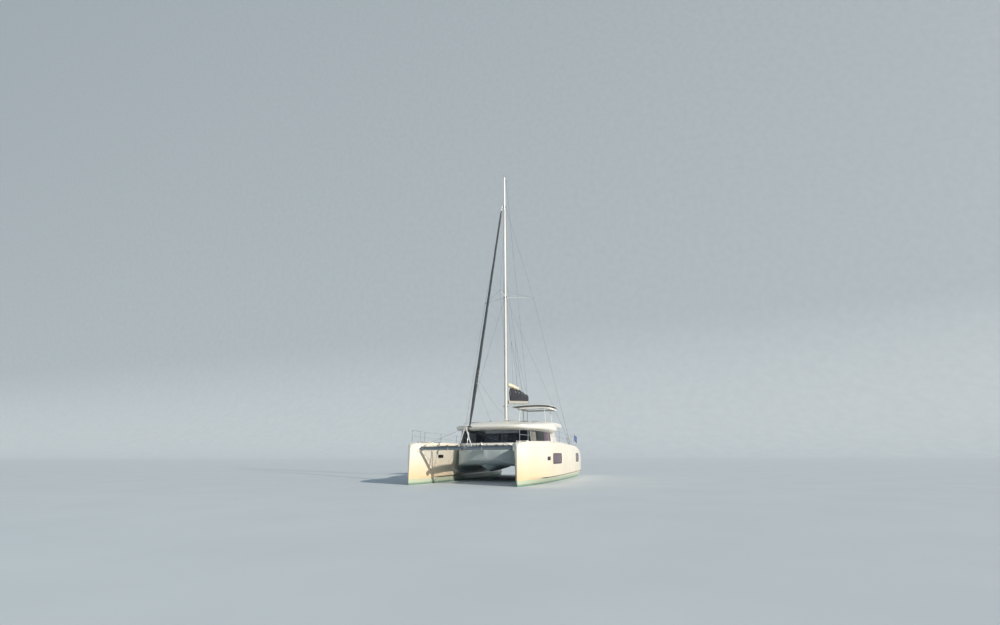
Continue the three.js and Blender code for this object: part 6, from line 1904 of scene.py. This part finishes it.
# Foredeck and roof panels
bz = lambda x, y: 1930.4
panels = []
for s in (1, -1):
    lo, hi = (500, 1500)
    a, b = sorted((s * 500, s * 1500))
    panels.append(strip(with_ends(2760, 2960, 3), a, b, bz))
    a, b = sorted((s * 490, s * 1000))
    panels.append(strip(with_ends(2990, 3110, 3), a, b, bz))
one("foredeck_nonslip", join_vf(panels), "nonslip", smooth=30)
rw = lambda x: float(pchip(_C[:, 0], _C[:, 1], x)[0])
rz = lambda x, y: top_z(x, min(1, abs(y) / rw(x)))
panels = []
for s in (1, -1):
    for xa, xb, y0, y1 in ((-520, 1850, 180, 1180), (-2820, -900, 180, 1180), (-2820, 1500, 1260, 1900), (-5380, -3120, 1960, 2330), (-5380, -4900, 260, 1900) if s > 0 else (-5380, -3120, 100, 1900)):
        if s < 0 and y0 == 260:
            continue
        f0, f1 = (lambda x, y=y0: y, lambda x, y=y1: y) if s > 0 else (lambda x, y=y1: -y, lambda x, y=y0: -y)
        panels.append(strip(with_ends(xa, xb, 22), f0, f1, rz))
one("roof_nonslip", join_vf(panels), "nonslip", smooth=30)


def hatch(x, y, z, w=480, d=480, tilt=0.0, slope=0.0):
    """A flush deck hatch: frame, smoked pane, hinges and handles. Returns frame, pane."""
    fr_, gl_ = [], []
    a = rounded_rect(w, d, 60, 5)
    b = rounded_rect(w - 92, d - 92, 34, 5)
    loops = []
    for h, pts in ((-8, a), (14, a), (20, [(p * 0.985, q * 0.985) for p, q in a]), (20, b), (12, b), (-8, b)):
        loops.append([mm(x + p, y + q, z + h + p * slope + q * tilt) for p, q in pts])
    loops.append(loops[0])
    fr_.append(loft(loops, True, False))
    gl_.append(loft([[mm(x + p, y + q, z + h + p * slope + q * tilt) for p, q in b] for h in (4, 15)]))
    for q in (-d * 0.25, d * 0.25):
        fr_.append(rbox_vf(*mm(x - w / 2 - 16, x - w / 2 + 30, y + q - 26, y + q + 26, z + 12 - w / 2 * slope, z + 28 - w / 2 * slope), r=0.006))
        fr_.append(rbox_vf(*mm(x + w / 2 - 78, x + w / 2 - 54, y + q - 34, y + q + 34, z + 14 + w / 2 * slope, z + 30 + w / 2 * slope), r=0.006))
    return fr_, gl_


fr_, gl_ = [], []
for x, y, w, d in ((3700, 2760, 520, 520), (1850, 3020, 420, 420), (-820, 3040, 420, 420), (-2900, 3040, 420, 420)):
    a, b = hatch(x, y, deck_z(x) + 2, w, d, slope=(deck_z(x + 10) - deck_z(x - 10)) / 20)
    fr_ += a
    gl_ += b
both("deck_hatch_frames", join_vf(fr_), "alloy", smooth=35)
both("deck_hatch_panes", join_vf(gl_), "darkglass", smooth=35)
fr_, gl_ = [], []
for s in (1, -1):
    for x in (-1700, 700):
        y = s * 1580
        a, b = hatch(x, y, rz(x, y) + 4, 520, 420, tilt=s * (rz(x, abs(y) + 10) - rz(x, abs(y) - 10)) / 20, slope=(rz(x + 10, y) - rz(x - 10, y)) / 20)
        fr_ += a
        gl_ += b
one("roof_hatch_frames", join_vf(fr_), "alloy", smooth=35)
one("roof_hatch_panes", join_vf(gl_), "darkglass", smooth=35)
# Grab rails on the roof's edges
parts = []
for y in (2180,):
    P = [(-2700, y, rz(-2700, y) + 6), (-2700, y, rz(-2700, y) + 66)] + [(x, y, rz(x, y) + 66) for x in np.linspace(-2560, 860, 9)] + [(960, y, rz(960, y) + 66), (1000, y, rz(1000, y) + 6)]
    parts.append(pipe(P, 11, 60))
    for x in (-1850, -1000, -150, 500):
        parts.append(pipe([(x, y, rz(x, y) - 2), (x, y, rz(x, y) + 62)], 9))
    for x in (-2700, -1850, -1000, -150, 500, 1000):
        parts.append(lathe_vf([(0, -0.004), (0.03, -0.004), (0.028, 0.006), (0.014, 0.010), (0, 0.010)], mm(x, y, rz(x, y) + 1), "Z", 18))
both("roof_grab_rail", join_vf(parts), "steel", smooth=50)

# Windlass on the centre beam: gypsy, drum, chain stopper and the chain to the roller
wx, wz = 3710, 1851
prof = [(0, 0), (0.10, 0), (0.10, 0.012), (0.082, 0.022), (0.072, 0.032), (0.070, 0.05), (0.084, 0.058), (0.086, 0.066), (0.062, 0.078), (0.062, 0.088), (0.086, 0.100), (0.084, 0.108), (0.052, 0.118), (0.046, 0.15), (0.052, 0.178), (0.062, 0.192), (0.058, 0.204), (0, 0.209)]
one("windlass_capstan", lathe_vf(prof, mm(wx, 0, wz), "Z", 36), "steel", smooth=35, replaces="windlass")
parts = [rbox_vf(*mm(wx + 190, wx + 290, -46, 46, wz, wz + 14), r=0.005), rbox_vf(*mm(wx + 200, wx + 280, -40, -26, wz + 10, wz + 66), r=0.006), rbox_vf(*mm(wx + 200, wx + 280, 26, 40, wz + 10, wz + 66), r=0.006)]
parts.append(tube_vf([mm(wx + 240, -44, wz + 48), mm(wx + 240, 44, wz + 48)], 0.009, 10))
one("chain_stopper", join_vf(parts), "steel", smooth=40)
links = []
P0, P1 = Vector(mm(wx + 74, 0, wz + 60)), Vector(mm(6225, 0, 1722))
nl = 78
for k in range(nl):
    c = P0.lerp(P1, (k + 0.5) / nl)
    c.z = max(c.z - 0.0, (wz + 16) / 1000) if c.x < 5.84 else c.z
    d = (P1 - P0).normalized()
    if c.x < 5.84:
        d = Vector((1, 0, 0))
    side_ = Vector((0, 1, 0)) if k % 2 else Vector((0, 0, 1))
    hl, hw = 0.0205, 0.0085
    loop_ = [c + d * (hl * math.cos(w) + (0.006 if math.cos(w) > 0 else -0.006)) + side_ * hw * math.sin(w) for w in [2 * math.pi * j / 12 for j in range(12)]]
    links.append(tube_vf(loop_, 0.004, 5, closed=True))
one("anchor_chain", join_vf(links), "alloy", smooth=60)
# Winch at the helm: ribbed drum, self-tailing jaws and the socket on top
prof = [(0, 0.001), (0.098, 0.001), (0.098, 0.010), (0.088, 0.018), (0.086, 0.03), (0.066, 0.052), (0.060, 0.075), (0.061, 0.11), (0.072, 0.132), (0.086, 0.138), (0.088, 0.144), (0.07, 0.149), (0.088, 0.155), (0.086, 0.161), (0.066, 0.172), (0.03, 0.178), (0.012, 0.178), (0.010, 0.160), (0, 0.160)]
one("winch_drum", lathe_vf(prof, mm(-2990, 480, 3060.6), "Z", 36), "steel", smooth=35, replaces="winch")
ribs = []
for k in range(18):
    a = 2 * math.pi * k / 18
    ribs.append(tube_vf([mm(-2990 + 64 * math.cos(a), 480 + 64 * math.sin(a), 3060.6 + h) for h in (58, 80, 108)], [0.002, 0.0035, 0.002], 6))
ribs.append(tube_vf([mm(-2990 + 88 * math.cos(0.8), 480 + 88 * math.sin(0.8), 3060.6 + 148), mm(-2990 + 108 * math.cos(0.8), 480 + 108 * math.sin(0.8), 3060.6 + 152), mm(-2990 + 104 * math.cos(0.4), 480 + 104 * math.sin(0.4), 3060.6 + 146)], 0.006, 8))
one("winch_ribs", join_vf(ribs), "black", smooth=40)

# ------------------------------------------------------------------ lids, each on its own body
def lid(name, node, body, x0, x1, y0, y1, z0, z1, hinge="x0", z_panel=2.0):
    """A moulded lid: rounded edges, a patterned top, two hinges and a recessed lift ring."""
    o = raw(name, *rbox_vf(*mm(x0, x1, y0, y1, z0, z1), r=(z1 - z0) / 2400, n=3))
    hx = x1 - 70 if hinge == "x0" else x0 + 70
    yc = (y0 + y1) / 2
    boolean(o, [raw("cutter", *lathe_vf([(0, 0), (0.030, 0), (0.034, 0.02), (0, 0.02)], mm(hx, yc, z1 - 9), "Z", 24))])
    finish_raw(o, name, "gel", body, 34)
    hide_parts(node)
    xs_ = with_ends(x0 + 55, x1 - 55 - 90 if hinge == "x0" else x1 - 55, 5) if hinge == "x0" else with_ends(x0 + 145, x1 - 55, 5)
    p = obj_from(name + "_nonslip", *strip(xs_, y0 + 50, y1 - 50, lambda x, y: z1 - 0.4, 1.9), "nonslip", body, 30)
    ring = [mm(hx + 21 * math.cos(a), yc + 21 * math.sin(a), z1 - 3) for a in [2 * math.pi * k / 22 for k in range(22)]]
    hw = [tube_vf(ring, 0.0032, 8, closed=True), tube_vf([mm(hx - 25, yc, z1 - 4), mm(hx - 17, yc, z1 - 3)], 0.005, 8)]
    ex = x0 if hinge == "x0" else x1
    sg = 1 if hinge == "x0" else -1
    for q in (0.22, 0.78):
        y = y0 + (y1 - y0) * q
        a, b = sorted((ex + sg * 4, ex + sg * 66))
        hw.append(rbox_vf(*mm(a, b, y - 24, y + 24, z1 - 1, z1 + 4), r=0.002))
        hw.append(tube_vf([mm(ex + sg * 2, y - 26, z1 + 1.5), mm(ex + sg * 2, y + 26, z1 + 1.5)], 0.0055, 10))
    obj_from(name + "_hardware", *join_vf(hw), "steel", body, 40)
    return o


lid("anchor_locker_cover", "anchor_locker_lid", "anchor locker lid", 2650, 3180, -450, 450, 1930.6, 1955)
for s, nm in ((1, "port"), (-1, "starboard")):
    a, b = sorted((s * 2415, s * 3185))
    lid("engine_cover_" + nm, "engine_lid_" + nm, nm + " engine lid", -5115, -4385, a, b, 1150.6, 1178, hinge="x1")
    a, b = sorted((s * 2425, s * 2895))
    lid("forepeak_cover_" + nm, "forepeak_lid_" + nm, nm + " forepeak lid", 4525, 5135, a, b, 2040.6, 2068)
# Rims of the forepeak openings under their lids
parts = []
for x0, x1, y0, y1, z in ((4560, 5100, 2460, 2860, 2032),):
    a, b = rounded_rect(x1 - x0 + 34, y1 - y0 + 34, 20, 4), rounded_rect(x1 - x0 - 2, y1 - y0 - 2, 12, 4)
    loops = [[mm((x0 + x1) / 2 + p, (y0 + y1) / 2 + q, zz) for p, q in pts] for zz, pts in ((z - 16, a), (z + 7, a), (z + 7, b), (z - 40, b), (z - 40, [(p * 1.004, q * 1.004) for p, q in b]))]
    parts.append(loft(loops + [loops[0]], True, False))
both("forepeak_coaming", join_vf(parts), "rubber", smooth=30)

# ------------------------------------------------------------------ swim ladder
LX, LZ, LY0, LY1 = -6445, 290, 2560, 2900
parts = [pipe([(LX, LY0, LZ - 14), (LX, LY0, LZ + 500), (LX, LY0 + 22, LZ + 560), (LX, LY1 - 22, LZ + 560), (LX, LY1, LZ + 500), (LX, LY1, LZ - 14)], 14, 50)]
for y in (LY0, LY1):
    parts.append(tube_vf([mm(LX, y - 19, LZ), mm(LX, y - 17, LZ), mm(LX, y + 17, LZ), mm(LX, y + 19, LZ)], [0.017, 0.020, 0.020, 0.017], 18))
one("ladder_frame", join_vf(parts), "steel", "swim ladder", 50, replaces="swim_ladder")
parts = []
for h in (150, 350):
    parts.append(rbox_vf(*mm(LX - 34, LX + 14, LY0 + 10, LY1 - 10, LZ + h - 13, LZ + h + 13), r=0.011))
    for k in range(4):
        parts.append(rbox_vf(*mm(LX - 28 + 11 * k, LX - 22 + 11 * k, LY0 + 30, LY1 - 30, LZ + h + 12, LZ + h + 15.5), r=0.0016))
one("ladder_treads", join_vf(parts), "black", "swim ladder", 40)
parts = [tube_vf([mm(LX, LY0 + 24, LZ), mm(LX, LY1 - 24, LZ)], 0.0085, 12)]
for y in (LY0 + 60, LY1 - 60):
    parts.append(rbox_vf(*mm(LX - 16, -6330, y - 10, y + 10, LZ - 16, LZ + 16), r=0.007))
    parts.append(rbox_vf(*mm(-6400, -6382, y - 34, y + 34, LZ - 40, LZ + 40), r=0.006))
one("ladder_bracket", join_vf(parts), "steel", smooth=40)

# ------------------------------------------------------------------ engines under the lids
def engine_vf(y0):
    parts = [rbox_vf(*mm(-4980, -4520, y0 - 150, y0 + 150, 20, 330), r=0.03), rbox_vf(*mm(-4940, -4560, y0 - 105, y0 + 105, 322, 500), r=0.022), rbox_vf(*mm(-4920, -4580, y0 - 78, y0 + 78, 492, 560), r=0.03)]
    for k in range(3):
        parts.append(lathe_vf([(0, 0), (0.034, 0), (0.036, 0.02), (0.024, 0.03), (0, 0.032)], mm(-4860 + 110 * k, y0, 558), "Z", 20))
        parts.append(pipe([(-4870 + 110 * k, y0 - 70, 470), (-4870 + 110 * k, y0 - 150, 478), (-4870 + 110 * k, y0 - 168, 400)], 14, 30))
    parts.append(rbox_vf(*mm(-4900, -4600, y0 - 205, y0 - 140, 360, 430), r=0.025))
    parts.append(lathe_vf([(0, 0), (0.048, 0), (0.05, 0.01), (0.05, 0.11), (0.04, 0.13), (0, 0.132)], mm(-4800, y0 + 190, 120), "Z", 24))
    parts.append(lathe_vf([(0, 0), (0.062, 0), (0.066, 0.012), (0.066, 0.09), (0.05, 0.11), (0, 0.112)], mm(-4650, y0 + 178, 300), "Z", 24))
    parts.append(rbox_vf(*mm(-4540, -4478, y0 - 120, y0 + 120, 40, 300), r=0.02))
    for x in (-4940, -4560):
        parts.append(rbox_vf(*mm(x - 40, x + 40, y0 - 225, y0 + 225, -55, 22), r=0.012))
    return join_vf(parts)


both("engine_block", engine_vf(HULL_Y), "engine", smooth=35, replaces="engine")
parts = []
for y0 in (HULL_Y,):
    for (yy, zz, r) in ((y0, 110, 70), (y0 + 150, 330, 44), (y0 - 60, 400, 50)):
        parts.append(tube_vf([mm(-4990, yy, zz), mm(-4994, yy, zz), mm(-5006, yy, zz), mm(-5012, yy, zz), mm(-5024, yy, zz), mm(-5028, yy, zz)], [r / 1000 * 0.9, r / 1000, r * 0.86 / 1000, r * 0.86 / 1000, r / 1000, r * 0.9 / 1000], 28))
    belt = [(-5011, y0 - 60 - 44, 430), (-5011, y0 - 40, 446), (-5011, y0 + 160, 374), (-5011, y0 + 192, 326), (-5011, y0 + 60, 62), (-5011, y0 - 20, 44), (-5011, y0 - 66, 90)]
    parts.append(tube_vf(spline([mm(*p) for p in belt], 5, closed=True), 0.0065, 6, closed=True))
both("engine_belt_drive", join_vf(parts), "black", smooth=45)
parts = [pipe([(-4700, HULL_Y + 60, 540), (-4560, HULL_Y + 190, 560), (-4470, HULL_Y + 250, 420), (-4450, HULL_Y + 250, 120)], 22, 90), pipe([(-4820, HULL_Y - 180, 380), (-4960, HULL_Y - 260, 300), (-5040, HULL_Y - 262, 120), (-5050, HULL_Y - 262, 0)], 26, 90), pipe([(-4640, HULL_Y + 176, 400), (-4500, HULL_Y + 120, 470), (-4450, HULL_Y - 60, 400)], 9, 60)]
both("engine_hoses", join_vf(parts), "rubber", smooth=50)

# ------------------------------------------------------------------ lights, ensign and small fittings
parts_r, parts_w = [], []
nav = rbox_vf(*mm(6108, 6136, 2850, 2878, RAIL_Z - 62, RAIL_Z - 22), r=0.010)
both("bow_light_housing", nav, "grey", smooth=40)
one("stern_light", rbox_vf(*mm(-5650 + 20, -5650 + 60, 1000, 1050, 4560, 4600), r=0.01), "white", smooth=40)
# Ensign on a short staff at the stern rail: a plain two-band cloth that hangs in folds
staff = [mm(-3668, 3674, 2180), mm(-3830, 3698, 2700)]
both_ = tube_vf([staff[0], staff[1]], [0.0125, 0.0095], 10)
one("ensign_staff", join_vf([both_, lathe_vf([(0, 0), (0.016, 0.004), (0.018, 0.016), (0.010, 0.026), (0, 0.028)], staff[1], "Z", 16)]), "wood", smooth=45)


def ensign():
    A, B = Vector(staff[1]).lerp(Vector(staff[0]), 0.04), Vector(staff[1]).lerp(Vector(staff[0]), 0.80)
    H_, W_ = (A - B).length, 0.62
    n, m = 40, 22
    verts, faces, slots = [], [], []
    for i in range(n + 1):
        u = i / n
        for j in range(m + 1):
            v = j / m
            p = A.lerp(B, v)
            # falls from the staff in three deep folds, its far corner lowest
            fold = 0.050 * math.sin(u * 3.2 * math.pi + 0.5 * v) * min(1, u * 4) * (0.55 + 0.45 * v)
            run = -0.34 * u - 0.012 * math.sin(6.4 * math.pi * u + 1.0) * min(1, u * 5)
            drop = -0.17 * u - 0.03 * math.sin(u * 3.2 * math.pi)
            verts.append((p.x + run, p.y + fold + 0.11 * u, p.z + drop))
    for i in range(n):
        for j in range(m):
            k = i * (m + 1) + j
            faces.append((k, k + m + 1, k + m + 2, k + 1))
            slots.append(1 if n * 0.30 < i < n * 0.52 else 0)
    return verts, faces, slots, H_, W_


ev, ef, es, eh, ew = ensign()
en = obj_from("ensign_cloth", ev, ef, ["blue", "canvas"], BOAT, 80, es)
ewid = sum((Vector(ev[(i + 1) * 23]) - Vector(ev[i * 23])).length for i in range(40))

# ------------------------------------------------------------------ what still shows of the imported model
DEFAULT = {
    "keel": "antifoul", "rudder": "antifoul", "saildrive": "white", "propeller": "bronze", "engine": "engine",
    "hull": "hull", "bridge_deck": "under", "anchor_locker_lid": "gel", "centre_beam": "gel", "crossbeam": "white", "gull_striker": "white", "bow_roller": "steel", "trampoline": "net",
    "saloon_walls": "gel", "windscreen": "glass", "side_window": "glass", "aft_window": "glass", "saloon_door": "glass", "coach_roof": "gel", "helm_pod": "gel", "helm_seat": "seat", "helm_wheel": "steel",
    "bimini_top": "gel", "bimini_frame": "steel", "cockpit_table": "wood", "cockpit_seat": "gel", "saloon_settee": "settee", "saloon_table": "wood", "engine_lid": "gel", "forepeak_lid": "gel",
    "swim_ladder": "steel", "pulpit": "steel", "guardrail": "steel", "windlass": "steel", "winch": "steel", "mast": "mast", "spreader": "mast", "cap_shroud": "steel", "boom": "boomalloy", "sail_bag": "bag",
    "furled_genoa": "genoa", "furler_drum": "black", "hull_window": "hullglass",
}
BEVEL = {"keel": 12, "rudder": 4, "saildrive": 8, "propeller": 1.5, "centre_beam": 14, "spreader": 4, "engine": 20}
for name, o in frame["nodes"].items():
    stem = name.replace("_port", "").replace("_starboard", "")
    o.data.materials.clear()
    o.data.materials.append(M[DEFAULT[stem]])
    if o.hide_render:
        continue
    if stem in BEVEL:
        mod = o.modifiers.new("edge", "BEVEL")
        mod.width, mod.segments, mod.limit_method, mod.angle_limit = BEVEL[stem] / 1000, 2, "ANGLE", math.radians(28)
    shade(o, 40)

# ------------------------------------------------------------------ floor, light and camera
def studio():
    fl = bpy.data.meshes.new("floor")
    # a floor that sweeps up into a wall behind the boat
    prof = [(260, 0), (-120, 0)] + [(-120 - 60 * math.sin(a), 60 - 60 * math.cos(a)) for a in [math.pi / 2 * k / 24 for k in range(1, 25)]] + [(-180, 1200)]
    fl.from_pydata([(x, y, z) for x, z in prof for y in (-2200, 1200)], [], [(2 * k, 2 * k + 1, 2 * k + 3, 2 * k + 2) for k in range(len(prof) - 1)])
    fl.polygons.foreach_set("use_smooth", [True] * len(fl.polygons))
    o = bpy.data.objects.new("floor", fl)
    bpy.context.scene.collection.objects.link(o)
    m = Mat("pale_floor", rough=0.75)
    m.color(m.mix(m.map(m.noise(0.35, 3, 0.5), 0.3, 0.7, 0, 1), rgb(0xC8D1D8), rgb(0xCDD6DC)))
    fl.materials.append(m.m)
    w = bpy.data.worlds.new("studio")
    bpy.context.scene.world = w
    w.use_nodes = True
    bg = w.node_tree.nodes["Background"]
    bg.inputs["Color"].default_value = (0.56, 0.78, 1.0, 1)
    bg.inputs["Strength"].default_value = 0.27

    def light(name, kind, at, aim, energy, size, color):
        d = bpy.data.lights.new(name, kind)
        d.energy, d.color = energy, color
        if kind == "SUN":
            d.angle = size
        else:
            d.shape, d.size = "DISK", size
        l = bpy.data.objects.new(name, d)
        bpy.context.scene.collection.objects.link(l)
        l.location = at
        l.rotation_mode = "QUATERNION"
        l.rotation_quaternion = (Vector(aim) - Vector(at)).to_track_quat("-Z", "Y")
        return l

    light("key", "SUN", (17.0, 40, 22.0), (0, 0, 2), 3.65, math.radians(1.0), (1.0, 0.915, 0.80))
    light("fill", "AREA", (34, -6, 12), (0, 0, 3), 260, 16, (0.62, 0.82, 1.0))
    sc = bpy.context.scene
    sc.view_settings.view_transform = "Standard"
    sc.view_settings.look = "None"
    sc.view_settings.exposure = 0.0


studio()
